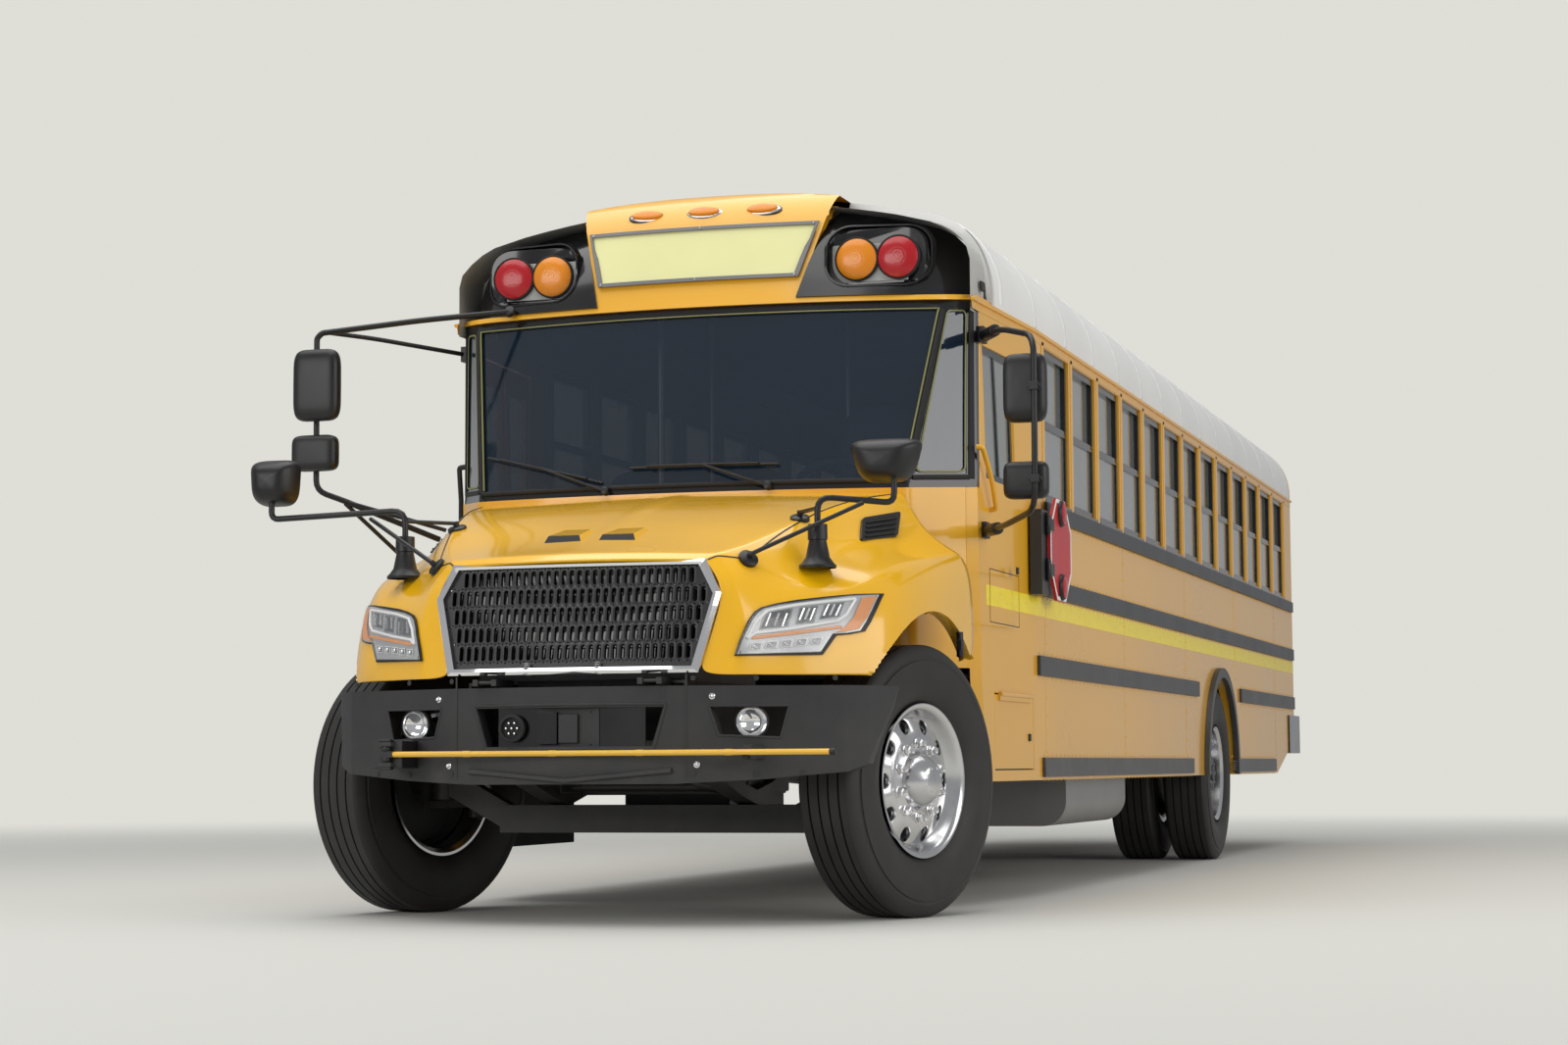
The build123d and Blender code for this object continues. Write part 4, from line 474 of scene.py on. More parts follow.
def tree_of(*meshes):
    """Surface to lay things on, from meshes in the row frame."""
    verts = []
    faces = []
    for mesh in meshes:
        base = len(verts)
        verts += [v.co.copy() for v in mesh.vertices]
        faces += [tuple(base + i for i in p.vertices) for p in mesh.polygons]
    return BVHTree.FromPolygons(verts, faces)


def facing_out(kit, name):
    mesh = bpy.data.meshes.new(name)
    mesh.from_pydata([tuple(v) for v in kit.v], [], kit.f)
    bm = bmesh.new()
    bm.from_mesh(mesh)
    bmesh.ops.recalc_face_normals(bm, faces=bm.faces)
    bm.to_mesh(mesh)
    bm.free()
    return mesh


BACKWARD = (0, 1, 0)

# ---------------------------------------------------------------- hood
# Rows run from the ridge of the hood down to its foot, columns from the grille back to the cowl.
HOOD = (
    ((0, -852, 1350), (0, -815, 1376), (0, -560, 1444), (0, -300, 1536), (0, -50, 1612), (0, 180, 1664),
     (0, 385, 1704)),
    ((60, -851, 1350), (60, -814, 1376), (62, -559, 1442), (64, -299, 1533), (66, -49, 1608), (68, 181, 1660),
     (70, 386, 1700)),
    ((260, -836, 1349), (265, -798, 1374), (290, -550, 1440), (310, -295, 1532), (330, -45, 1606),
     (345, 185, 1658), (360, 400, 1698)),
    ((490, -776, 1345), (530, -735, 1366), (628, -560, 1416), (715, -305, 1520), (785, -60, 1590),
     (845, 170, 1645), (920, 490, 1688)),
    ((520, -772, 1322), (565, -735, 1330), (664, -570, 1376), (762, -330, 1478), (824, -90, 1545),
     (880, 150, 1592), (952, 498, 1640)),
    ((558, -776, 1262), (612, -745, 1262), (712, -610, 1285), (800, -430, 1345), (868, -160, 1436),
     (918, 110, 1500), (998, 508, 1548)),
    ((566, -780, 1200), (630, -752, 1190), (752, -640, 1212), (868, -480, 1296), (960, -240, 1372),
     (1010, 60, 1432), (1080, 526, 1476)),
    ((548, -792, 1128), (642, -764, 1112), (772, -655, 1128), (935, -520, 1212), (1052, -300, 1316),
     (1105, 40, 1388), (1150, 545, 1432)),
    ((530, -804, 1058), (644, -776, 1040), (782, -670, 1040), (962, -540, 1100), (1094, -350, 1212),
     (1150, 30, 1318), (1182, 552, 1372)),
    ((510, -818, 990), (636, -790, 975), (784, -682, 975), (972, -552, 1010), (1118, -368, 1080),
     (1172, 20, 1180), (1196, 556, 1250)),
    ((492, -832, 920), (622, -802, 918), (782, -690, 918), (974, -560, 918), (1130, -378, 918),
     (1180, 0, 918), (1202, 558, 918)),
)
rows = [[(-x, y, z) for x, y, z in row] for row in reversed(HOOD[1:])] + [list(row) for row in HOOD]
columns = len(HOOD[0])
mesh = bpy.data.meshes.new("hood_cage")
mesh.from_pydata(
    [tuple(P(*point)) for row in rows for point in row],
    [],
    bands(len(rows) - 1, columns, closed=False),
)
cage = bpy.data.objects.new("hood_cage", mesh)
scene.collection.objects.link(cage)
crease = mesh.attributes.new("crease_edge", "FLOAT", "EDGE")
CREST = {3: 0.72, 1: 0.55, 0: 0.0, 7: 0.35}
middle = len(HOOD) - 1
for edge in mesh.edges:
    a, b = edge.vertices
    if a // columns == b // columns:
        crease.data[edge.index].value = CREST.get(abs(a // columns - middle), 0.0)
    elif {a % columns, b % columns} == {1}:
        crease.data[edge.index].value = 0.5
mod = cage.modifiers.new("smooth", "SUBSURF")
mod.levels = 4
mod.render_levels = 4
skin = baked(cage)
bpy.data.objects.remove(cage)
hood_tree = tree_of(skin)

ARCH_R = 0.655
ARCH_AT = P(0, FRONT_HUB, HUB_Z)
bm = bmesh.new()
bm.from_mesh(skin)


def from_hub(co):
    """Distance of a point from the wheel arch's axis, in metres."""
    return math.hypot(co.y - ARCH_AT.y, co.z - ARCH_AT.z)


gone = [f for f in bm.faces if abs(f.calc_center_median().x) > 0.78
        and from_hub(f.calc_center_median()) < ARCH_R]
bmesh.ops.delete(bm, geom=gone, context="FACES")
lip = [v for v in bm.verts if v.is_boundary and abs(v.co.x) > 0.78 and abs(from_hub(v.co) - ARCH_R) < 0.04
       and v.co.z > P(0, 0, 925).z]
for v in lip:
    r = from_hub(v.co)
    v.co.y = ARCH_AT.y + (v.co.y - ARCH_AT.y) * ARCH_R / r
    v.co.z = ARCH_AT.z + (v.co.z - ARCH_AT.z) * ARCH_R / r
near = set(lip)
edges = [e for e in bm.edges if e.is_boundary and e.verts[0] in near and e.verts[1] in near]
out = bmesh.ops.extrude_edge_only(bm, edges=edges)
for v in [g for g in out["geom"] if isinstance(g, bmesh.types.BMVert)]:
    v.co.x -= math.copysign(0.05, v.co.x)
bmesh.ops.recalc_face_normals(bm, faces=bm.faces)
bm.to_mesh(skin)
bm.free()
skin.materials.clear()
skin.materials.append(HOOD_YELLOW)
hood = dress(skin, "hood_shell", "hood", ["hood"], smooth=50)
mod = hood.modifiers.new("wall", "SOLIDIFY")
mod.thickness = 0.012
mod.offset = -1.0

# seams that run from the grille's corners up to the cowl, and the shut line round the nose
seams = Kit()
for side in (1, -1):
    line = [(498, -790), (640, -640), (735, -300), (800, -40), (862, 190), (925, 470)]
    path = []
    for (x0, y0), (x1, y1) in zip(line[:-1], line[1:]):
        for k in range(12):
            t = k / 12
            x, y = x0 + (x1 - x0) * t, y0 + (y1 - y0) * t
            hit = hood_tree.ray_cast(P(side * (x - 14), y, 2400), Vector((0, 0, -1)))[0]
            if hit is not None:
                path.append(hit)
    seams.tube(path, 3.2, 6)
seams.make("hood_seams", [BLACK], "hood", "black_plastic")

# scoops with dark slots behind a raised lip; each slot is a flat black face that stands in for the opening,
# painted shade
scoops = Kit()
for x0, x1 in ((-206, -76), (14, 144)):
    a = [P(x0 - 10, -574, 1438), P(x1 + 10, -574, 1438), P(x1 - 2, -560, 1466), P(x0 + 2, -560, 1466),
         P(x0 + 12, -410, 1500), P(x1 - 12, -410, 1500), P(x1 + 14, -420, 1488), P(x0 - 14, -420, 1488)]
    # black face across the scoop's mouth: painted shade in the opening
    scoops.mat = 1
    scoops.add(a[:4], [(0, 1, 2, 3)])
    scoops.mat = 0
    scoops.add([a[3], a[2], a[5], a[4]], [(0, 1, 2, 3)])
    scoops.add([a[0], a[3], a[4], a[7]], [(0, 1, 2, 3)])
    scoops.add([a[1], a[6], a[5], a[2]], [(0, 1, 2, 3)])
scoops.make("hood_scoops", [HOOD_YELLOW, BLACK], "hood", "hood_yellow", bevel=4)

# louvred vents beside the cowl, laid on the fender's inner slope; the slots between the louvres are flat
# near-black faces, painted shade
vents = Kit()
VENT = ((872, 53, 1545), (939, 365, 1592), (971, 194, 1486), (901, -78, 1452))


def on_vent(u, v, off, side):
    """Point of the vent's quad, u along it and v down it, pushed out by off mm."""
    a, b, c, d = (Vector(p) for p in VENT)
    p = (a * (1 - u) + b * u) * (1 - v) + (d * (1 - u) + c * u) * v
    out = (b - a).cross(d - a).normalized()
    out = out if out.y < 0 else -out
    p = p + out * off
    return P(side * p.x, p.y, p.z)


for side in (1, -1):
    u0, u1, v0, v1 = -0.02, 1.02, -0.04, 1.04
    verts = []
    for off in (9, -12):
        for u, v in ((u0 + 0.05, v0), (u1 - 0.05, v0), (u1, v0 + 0.08), (u1, v1 - 0.08), (u1 - 0.05, v1),
                     (u0 + 0.05, v1), (u0, v1 - 0.08), (u0, v0 + 0.08)):
            verts.append(on_vent(u, v, off, side))
    vents.mat = 0
    vents.add(verts, [tuple(range(8))] + bands(1, 8))
    for k in range(4):
        v = 0.17 + 0.22 * k
        # near-black face in each slot: painted shade behind the louvre
        vents.mat = 1
        vents.add([on_vent(0.10, v - 0.055, 9.6, side), on_vent(0.90, v - 0.055, 9.6, side),
                   on_vent(0.90, v + 0.055, 9.6, side), on_vent(0.10, v + 0.055, 9.6, side)], [(0, 1, 2, 3)])
        vents.mat = 0
        vents.tube([on_vent(0.09, v + 0.075, 12, side), on_vent(0.91, v + 0.075, 12, side)], 4, 6)
vents.make("hood_vents", [BLACK, finish("slot_painted_shade", (0.004, 0.004, 0.004), 0.8, vary=0.2)], "hood",
           "black_plastic")

# latches, and handles on the lower edge of each fender
pulls = Kit()
for side in (1, -1):
    pulls.pill(P(side * 1194, 330, 1010), P(side * 1194, 330, 1110), 14)
    pulls.box(sorted((side * 1186, side * 1206)), (308, 352), (1040, 1080))
pulls.make("hood_latches", [BLACK], "hood", "black_plastic", bevel=3)

# ---------------------------------------------------------------- grille
def grille_y(x, z):
    """Station of the grille's bowed, raked face."""
    return -862 + (z - 931) * 0.165 + (x / 1000) ** 2 * 120


def hexagon(top, wide, bottom, z_top, z_wide, z_bottom, cuts=6):
    """Closed outline with its runs divided, so that it can bow with the face."""
    corners = [(-top, z_top), (top, z_top), (wide, z_wide), (bottom, z_bottom), (-bottom, z_bottom),
               (-wide, z_wide)]
    loop = []
    for (x0, z0), (x1, z1) in zip(corners, corners[1:] + corners[:1]):
        for k in range(cuts):
            t = k / cuts
            loop.append((x0 + (x1 - x0) * t, z0 + (z1 - z0) * t))
    return loop


outer = hexagon(503, 566, 496, 1347, 1217, 926)
mid_loop = hexagon(490, 551, 482, 1337, 1217, 938)
inner = hexagon(478, 537, 470, 1327, 1217, 950)
ring = Kit()
n = len(outer)
layers = []
for loop, push in ((outer, 6), (outer, -12), (mid_loop, -22), (inner, -16), (inner, 14)):
    layers.append([P(x, grille_y(x, z) + push, z) for x, z in loop])
ring.add([v for layer in layers for v in layer], bands(len(layers) - 1, n))
ring.make("grille_frame", [CHROME], "hood", "chrome", ["grille_surround"], smooth=40)

# mesh of upright slots, each row staggered against the next
SLOT_W, SLOT_H, PITCH_X, PITCH_Z = 17.0, 56.0, 31.0, 70.0
ROUND = 8


def inside_hexagon(x, z, slack=0):
    """Whether a point of the front plane lies in the grille's opening, slack mm inside its edge."""
    if not 950 + slack < z < 1327 - slack:
        return False
    wide = 537 - (z - 1217) * (537 - 478) / 110 if z > 1217 else 470 + (z - 950) * (537 - 470) / 267
    return abs(x) < wide - slack


mesh_kit = Kit()
row_count = int((1327 - 950) / PITCH_Z) + 2
for r in range(row_count):
    z = 950 + (r - 0.35) * PITCH_Z + 12
    shift = PITCH_X / 2 if r % 2 else 0
    for c in range(-18, 19):
        x = c * PITCH_X + shift
        corners = [(x - PITCH_X / 2, z - PITCH_Z / 2), (x + PITCH_X / 2, z - PITCH_Z / 2),
                   (x + PITCH_X / 2, z + PITCH_Z / 2), (x - PITCH_X / 2, z + PITCH_Z / 2)]
        if not any(inside_hexagon(px, pz) for px, pz in corners):
            continue
        ring_out = []
        ring_in = []
        for k in range(4 * ROUND):
            a = 2 * math.pi * (k + 0.5) / (4 * ROUND) - 3 * math.pi / 4
            ca, sa = math.cos(a), math.sin(a)
            top = SLOT_H / 2 - SLOT_W / 2
            hx = SLOT_W / 2 * ca
            hz = SLOT_W / 2 * sa + math.copysign(top, sa)
            reach = min(PITCH_X / 2 / max(abs(ca), 1e-6), PITCH_Z / 2 / max(abs(sa), 1e-6))
            ox, oz = ca * reach, sa * reach
            ox = max(-PITCH_X / 2, min(PITCH_X / 2, ox))
            oz = max(-PITCH_Z / 2, min(PITCH_Z / 2, oz))
            ring_in.append((x + hx, z + hz))
            ring_out.append((x + ox, z + oz))
        keep_hole = all(inside_hexagon(px, pz, 1) for px, pz in ring_in)
        clip = []
        for px, pz in ring_out:
            pz = max(942, min(1335, pz))
            wide = 479 + (pz - 950) * (546 - 479) / 267
            if pz > 1217:
                wide = 546 - (pz - 1217) * (546 - 487) / 110
            clip.append((max(-wide, min(wide, px)), pz))
        if keep_hole:
            n = 4 * ROUND
            verts = [P(px, grille_y(px, pz) + 2, pz) for px, pz in clip]
            verts += [P(px, grille_y(px, pz) + 3, pz) for px, pz in ring_in]
            verts += [P(px, grille_y(px, pz) + 22, pz) for px, pz in ring_in]
            mesh_kit.add(verts, bands(2, n))
        else:
            mesh_kit.add([P(px, grille_y(px, pz) + 2, pz) for px, pz in clip], [tuple(range(len(clip)))])
dark = hexagon(480, 539, 472, 1329, 1217, 948)
mesh_kit.mat = 1
mesh_kit.add([P(x, grille_y(x, z) + 34, z) for x, z in dark], [tuple(range(len(dark)))])
mesh_kit.make("grille_net", [BLACK, GLOSS_BLACK], "hood", "black_plastic", ["grille_mesh"], smooth=30)

# ---------------------------------------------------------------- headlamps
# Outlines in x and z, seen from the front.
LAMP_LOOP = (
    (628, 990), (641, 1037), (659, 1086), (671, 1119), (686, 1147), (705, 1163), (748, 1177), (809, 1189),
    (888, 1202), (975, 1217), (1055, 1225), (1044, 1169), (1031, 1120), (1016, 1083), (976, 1073),
    (932, 1069),
    (916, 1038), (896, 1000),
)
PROJECTORS = (
    ((700, 1084), (712, 1131), (736, 1152), (793, 1160), (784, 1098)),
    ((812, 1107), (821, 1163), (872, 1172), (864, 1114)),
    ((886, 1125), (899, 1176), (953, 1188), (942, 1137)),
)
GUIDE = ((664, 1050), (686, 1109), (719, 1153), (801, 1174), (906, 1191), (990, 1204), (968, 1142),
         (942, 1117),
         (806, 1088), (687, 1069))
TURN_BAR = ((680, 1058), (807, 1078), (956, 1102), (960, 1092), (807, 1066), (680, 1046))
AMBER_END = ((1008, 1209), (1047, 1216), (1031, 1138), (1010, 1090), (967, 1079), (936, 1075), (966, 1094),
             (992, 1136))
CELLS = ((689, 1021), (738, 1027), (784, 1033), (831, 1038), (878, 1042))


def grown(loop, amount):
    """Outline moved away from its own middle by amount mm, or toward it where amount is below zero."""
    cx = sum(x for x, _ in loop) / len(loop)
    cz = sum(z for _, z in loop) / len(loop)
    out = []
    for x, z in loop:
        d = math.hypot(x - cx, z - cz)
        out.append((x + (x - cx) / d * amount, z + (z - cz) / d * amount))
    return out


rims = Kit()
lenses = Kit()
works = Kit()
for side in (1, -1):
    def here(u, v, s=side):
        """Point well ahead of the hood, at x = u and z = v."""
        return P(s * u, -1800, v)

    def on_lamp(x, z, off, s=side):
        """Point off mm ahead of the hood's skin."""
        hit = hood_tree.ray_cast(P(s * x, -1800, z), Vector(BACKWARD))[0]
        return hit + Vector((0, -off / 1000, 0))
    rims.mat = 0
    rims.add(*drape(grown(LAMP_LOOP, 9), here, BACKWARD, hood_tree, 2, 0.02, 8))
    rims.mat = 1
    rims.add(*drape(grown(LAMP_LOOP, -4), here, BACKWARD, hood_tree, 10.5, 0.02, 0))
    lenses.add(*drape(LAMP_LOOP, here, BACKWARD, hood_tree, 26, 0.02, 3))
    for block in PROJECTORS:
        works.mat = 3
        works.add(*drape(grown(block, 5), here, BACKWARD, hood_tree, 11.5, 0.02, 2))
        works.mat = 0
        works.add(*drape(grown(block, -2), here, BACKWARD, hood_tree, 14, 0.02, 1))
        low_x, high_x = min(x for x, _ in block), max(x for x, _ in block)
        for part in (0.22, 0.5, 0.78):
            x = low_x + (high_x - low_x) * part
            top, foot = (x + 8, block[2][1] - 8), (x - 4, block[0][1] + 12)
            works.mat = 3 if part == 0.5 else 1
            works.tube([on_lamp(*foot, 17), on_lamp(*top, 17)], 5 if part == 0.5 else 3, 6)
    works.mat = 4
    ring = GUIDE + GUIDE[:1]
    path = []
    for (x0, z0), (x1, z1) in zip(ring[:-1], ring[1:]):
        path += [on_lamp(x0 + (x1 - x0) * k / 4, z0 + (z1 - z0) * k / 4, 18) for k in range(4)]
    works.tube(path + path[:1], 5.5, 8, cap=False)
    works.mat = 2
    works.add(*drape(list(TURN_BAR), here, BACKWARD, hood_tree, 16, 0.02, 3))
    works.add(*drape(list(AMBER_END), here, BACKWARD, hood_tree, 15, 0.02, 5))
    for x, z in CELLS:
        cell = [(x - 20, z - 15), (x + 17, z - 13), (x + 22, z + 15), (x - 15, z + 12)]
        works.mat = 4
        works.add(*drape(cell, here, BACKWARD, hood_tree, 13, 0.02, 2))
        works.mat = 3
        works.add(*drape(grown(cell, -5), here, BACKWARD, hood_tree, 16, 0.02, 1))
        works.mat = 1
        works.lathe([(0.0, 0.009), (0.004, 0.007), (0.006, 0.0)], on_lamp(x + 2, z, 18), (side * 0.3, -1, 0),
                    10)
rims.make("lamp_bezels", [BLACK, finish("lamp_floor", (0.48, 0.49, 0.50), 0.30, metal=0.55, vary=0.15)],
          "hood", "lamp_clear", ["headlamps"])
works.make("lamp_works", [GLOSS_BLACK, CHROME, AMBER,
                          finish("lamp_tray", (0.22, 0.22, 0.23), 0.25, metal=0.8, vary=0.2),
                          finish("lamp_guide", (0.80, 0.80, 0.80), 0.35, vary=0.04)], "hood", "chrome")
lenses.make("lamp_lenses", [CLEAR], "hood", "lamp_clear")

# ---------------------------------------------------------------- wheels
def tyre(kit):
    """Ribbed truck tyre about the X axis, outward side at +X."""
    side_wall = [(-0.092, 0.2855), (-0.104, 0.300), (-0.118, 0.320), (-0.131, 0.348), (-0.1375, 0.392),
                 (-0.1375, 0.425), (-0.134, 0.462), (-0.130, 0.463), (-0.129, 0.470), (-0.131, 0.476),
                 (-0.127, 0.492), (-0.119, 0.508), (-0.112, 0.517), (-0.104, 0.5225)]
    ribs = []
    edges = [-0.104, -0.072, -0.064, -0.026, -0.018, 0.018, 0.026, 0.064, 0.072, 0.104]
    for k, (a, b) in enumerate(zip(edges[:-1], edges[1:])):
        if k % 2 == 0:
            ribs += [(a, 0.5235), (b, 0.5235)] if k else [(b, 0.5235)]
        else:
            ribs += [(a + 0.001, 0.508), (b - 0.001, 0.508)]
    profile = side_wall + ribs + [(-t, r) for t, r in reversed(side_wall)]
    kit.lathe(profile, ORIGIN, AXLE, 96)


def front_rim(kit):
    """Polished disc wheel with ten hand holes, outward side at +X."""
    ring_n = 120
    kit.mat = 0
    barrel = [(0.117, 0.297), (0.117, 0.288), (0.110, 0.276), (0.100, 0.270), (0.085, 0.262), (0.066, 0.250),
              (0.062, 0.246)]
    kit.lathe(barrel, ORIGIN, AXLE, ring_n)
    kit.lathe([(-0.117, 0.297), (-0.117, 0.286), (-0.100, 0.268), (0.010, 0.262), (0.050, 0.246)],
              ORIGIN, AXLE, ring_n)
    holes = 10
    hole_r, at = 0.029, 0.216

    def dish(r):
        """How far out the disc stands at radius r."""
        t = (r - 0.175) / (0.246 - 0.175)
        return 0.084 - 0.022 * max(0.0, t) ** 1.6
    for h in range(holes):
        a0 = 2 * math.pi * h / holes
        centre = (at * math.cos(a0), at * math.sin(a0))
        outer_ring = []
        inner_ring = []
        span = math.pi / holes
        border = []
        steps = 8
        for k in range(steps):
            border.append((0.246, a0 - span + 2 * span * k / steps))
        for k in range(steps):
            border.append((0.246 - (0.246 - 0.178) * k / steps, a0 + span))
        for k in range(steps):
            border.append((0.178, a0 + span - 2 * span * k / steps))
        for k in range(steps):
            border.append((0.178 + (0.246 - 0.178) * k / steps, a0 - span))
        for r, a in border:
            y, z = r * math.cos(a), r * math.sin(a)
            outer_ring.append(Vector((dish(r), y, z)))
            d = math.hypot(y - centre[0], z - centre[1])
            iy = centre[0] + (y - centre[0]) / d * hole_r
            iz = centre[1] + (z - centre[1]) / d * hole_r
            inner_ring.append((iy, iz))
        n = len(outer_ring)
        verts = list(outer_ring)
        for grow, drop in ((1.12, 0.0), (1.03, 0.0015), (0.97, 0.006), (0.97, 0.020)):
            for iy, iz in inner_ring:
                y = centre[0] + (iy - centre[0]) * grow
                z = centre[1] + (iz - centre[1]) * grow
                verts.append(Vector((dish(math.hypot(y, z)) - drop, y, z)))
        kit.add(verts, bands(4, n))
    kit.lathe([(0.084, 0.178), (0.0855, 0.172), (0.086, 0.115), (0.088, 0.112)], ORIGIN,
              AXLE, ring_n)
    kit.lathe([(0.086, 0.112), (0.112, 0.106), (0.135, 0.092), (0.150, 0.074), (0.158, 0.066), (0.162, 0.060),
               (0.1655, 0.044), (0.1665, 0.0)], ORIGIN, AXLE, 64)
    kit.lathe([(0.060, 0.250), (0.040, 0.236), (0.035, 0.150), (0.035, 0.0)], ORIGIN, AXLE, 48)
    for k in range(10):
        a = 2 * math.pi * (k + 0.5) / 10
        at_stud = Vector((0.086, 0.1428 * math.cos(a), 0.1428 * math.sin(a)))
        kit.mat = 1
        kit.lathe([(0, 0.022), (0.004, 0.022), (0.005, 0.019)], at_stud, (1, 0, 0), 24)
        kit.lathe([(0.004, 0.0185), (0.022, 0.0180), (0.026, 0.014), (0.038, 0.0125), (0.040, 0.0)], at_stud,
                  (1, 0, 0), 6)
    for k in range(8):
        a = 2 * math.pi * (k + 0.5) / 8
        at_bolt = Vector((0.160, 0.050 * math.cos(a), 0.050 * math.sin(a)))
        kit.lathe([(0, 0.006), (0.006, 0.006), (0.007, 0.0)], at_bolt, (1, 0, 0), 6)
    kit.mat = 2
    kit.lathe([(-0.02, 0.255), (0.030, 0.240), (0.030, 0.0)], ORIGIN, AXLE, 40)


def rear_rim(kit):
    """Deep dished outer wheel with its hub, outward side at +X, over the wheel's own middle plane."""
    kit.mat = 0
    kit.lathe([(0.117, 0.297), (0.117, 0.287), (0.108, 0.276), (0.090, 0.270), (0.020, 0.266),
               (-0.010, 0.262),
               (-0.040, 0.250), (-0.062, 0.236), (-0.080, 0.214), (-0.084, 0.178)], ORIGIN,
              AXLE, 96)
    for h in range(10):
        a = 2 * math.pi * h / 10
        at = Vector((-0.0785, 0.216 * math.cos(a), 0.216 * math.sin(a)))
        kit.mat = 2
        kit.lathe([(0, 0.028), (0.0045, 0.028), (0.005, 0.0)], at, (1, 0.0, 0.0), 24)
        kit.mat = 0
    kit.lathe([(-0.084, 0.178), (-0.086, 0.112), (-0.080, 0.110)], ORIGIN, AXLE, 96)
    kit.mat = 3
    kit.lathe([(-0.086, 0.112), (0.060, 0.106), (0.090, 0.098), (0.092, 0.060), (0.100, 0.055), (0.104, 0.0)],
              ORIGIN, AXLE, 48)
    for k in range(10):
        a = 2 * math.pi * (k + 0.5) / 10
        at = Vector((-0.086, 0.1428 * math.cos(a), 0.1428 * math.sin(a)))
        kit.mat = 1
        kit.lathe([(0, 0.022), (0.004, 0.022), (0.005, 0.019)], at, (1, 0, 0), 24)
        kit.lathe([(0.004, 0.0185), (0.022, 0.0180), (0.026, 0.014), (0.040, 0.0125), (0.042, 0.0)], at,
                  (1, 0, 0), 6)
    for k in range(8):
        a = 2 * math.pi * k / 8
        at = Vector((0.090, 0.078 * math.cos(a), 0.078 * math.sin(a)))
        kit.lathe([(0, 0.008), (0.008, 0.008), (0.009, 0.0)], at, (1, 0, 0), 6)


SHADE = finish("wheel_shade", (0.03, 0.03, 0.03), 0.6, vary=0.2)
for side, name in ((1, "left"), (-1, "right")):
    turn = -STEER if side > 0 else math.pi - STEER
    centre = P(side * (KING_X + WHEEL_OUT * math.cos(STEER)), FRONT_HUB - side * WHEEL_OUT * math.sin(STEER),
               HUB_Z)
    place = Matrix.Translation(centre) @ Matrix.Rotation(turn, 4, "Z")
    kit = Kit()
    kit.at = place
    tyre(kit)
    kit.make("front_tyre_" + name, [TYRE], "wheel_front_" + name, "tyre", ["tyre_front_" + name], smooth=28)
    kit = Kit()
    kit.at = place
    front_rim(kit)
    kit.make("front_disc_" + name, [ALLOY, CHROME, SHADE], "wheel_front_" + name, "alloy",
             ["rim_front_" + name])
    kit = Kit()
    for x in (745, 1075):
        kit.at = Matrix.Translation(P(side * x, REAR_HUB, HUB_Z)) @ Matrix.Rotation(
            0 if side > 0 else math.pi, 4, "Z")
        tyre(kit)
    kit.make("rear_tyres_" + name, [TYRE], "wheels_rear_" + name, "tyre", ["tyre_rear_" + name], smooth=28)
    kit = Kit()
    kit.at = Matrix.Translation(P(side * 1075, REAR_HUB, HUB_Z)) @ Matrix.Rotation(
        0 if side > 0 else math.pi, 4, "Z")
    rear_rim(kit)
    kit.make("rear_disc_" + name, [ALLOY, CHROME, SHADE, BLACK], "wheels_rear_" + name, "alloy")

# ---------------------------------------------------------------- cap, lamp housings and sign
def cap_line(z):
    """Station of the cap's raked face on the centre plane."""
    return along(((2480, 562.4), (2511, 572), (2871, 683), (2986, 762), (3060, 1090)), z)


def cap_face(x, z):
    """Station of the cap's bowed face."""
    return 4602 - math.sqrt((4602 - cap_line(z)) ** 2 - x ** 2)


def outside_cap(x, y, z, k=400.0):
    """Rounded distance outside the cap: below zero within it."""
    ax = abs(x)
    if z <= 2561.4:
        a = ax - HALF
    elif ax > 839 and (z - 2561.4) < (ax - 839) * 4.2:
        a = math.hypot(ax - 839, z - 2561.4) - 380
    else:
        a = math.hypot(ax, z + 960) - 4000
    b = (cap_face(min(ax, 1300) * (1 if x > 0 else -1), z) - y) * 0.93
    h = max(k - abs(a - b), 0) / k
    return max(a, b) + h * h * k / 4


POCKET_X = (560, 986)
POCKET_Z = (2580, 2836)


def pocket_loop(grow=0.0, steps=7, corner=100.0):
    """Rounded outline of the hooded recess in x and z."""
    x0, x1 = POCKET_X[0] - grow, POCKET_X[1] + grow
    z0, z1 = POCKET_Z[0] - grow, POCKET_Z[1] + grow
    c = corner + grow
    loop = []
    for cx, cz, a0 in ((x1 - c, z1 - c, 0), (x0 + c, z1 - c, 90), (x0 + c, z0 + c, 180),
                       (x1 - c, z0 + c, 270)):
        for k in range(steps + 1):
            a = math.radians(a0 + 90 * k / steps)
            loop.append((cx + c * math.cos(a), cz + c * math.sin(a)))
    return loop


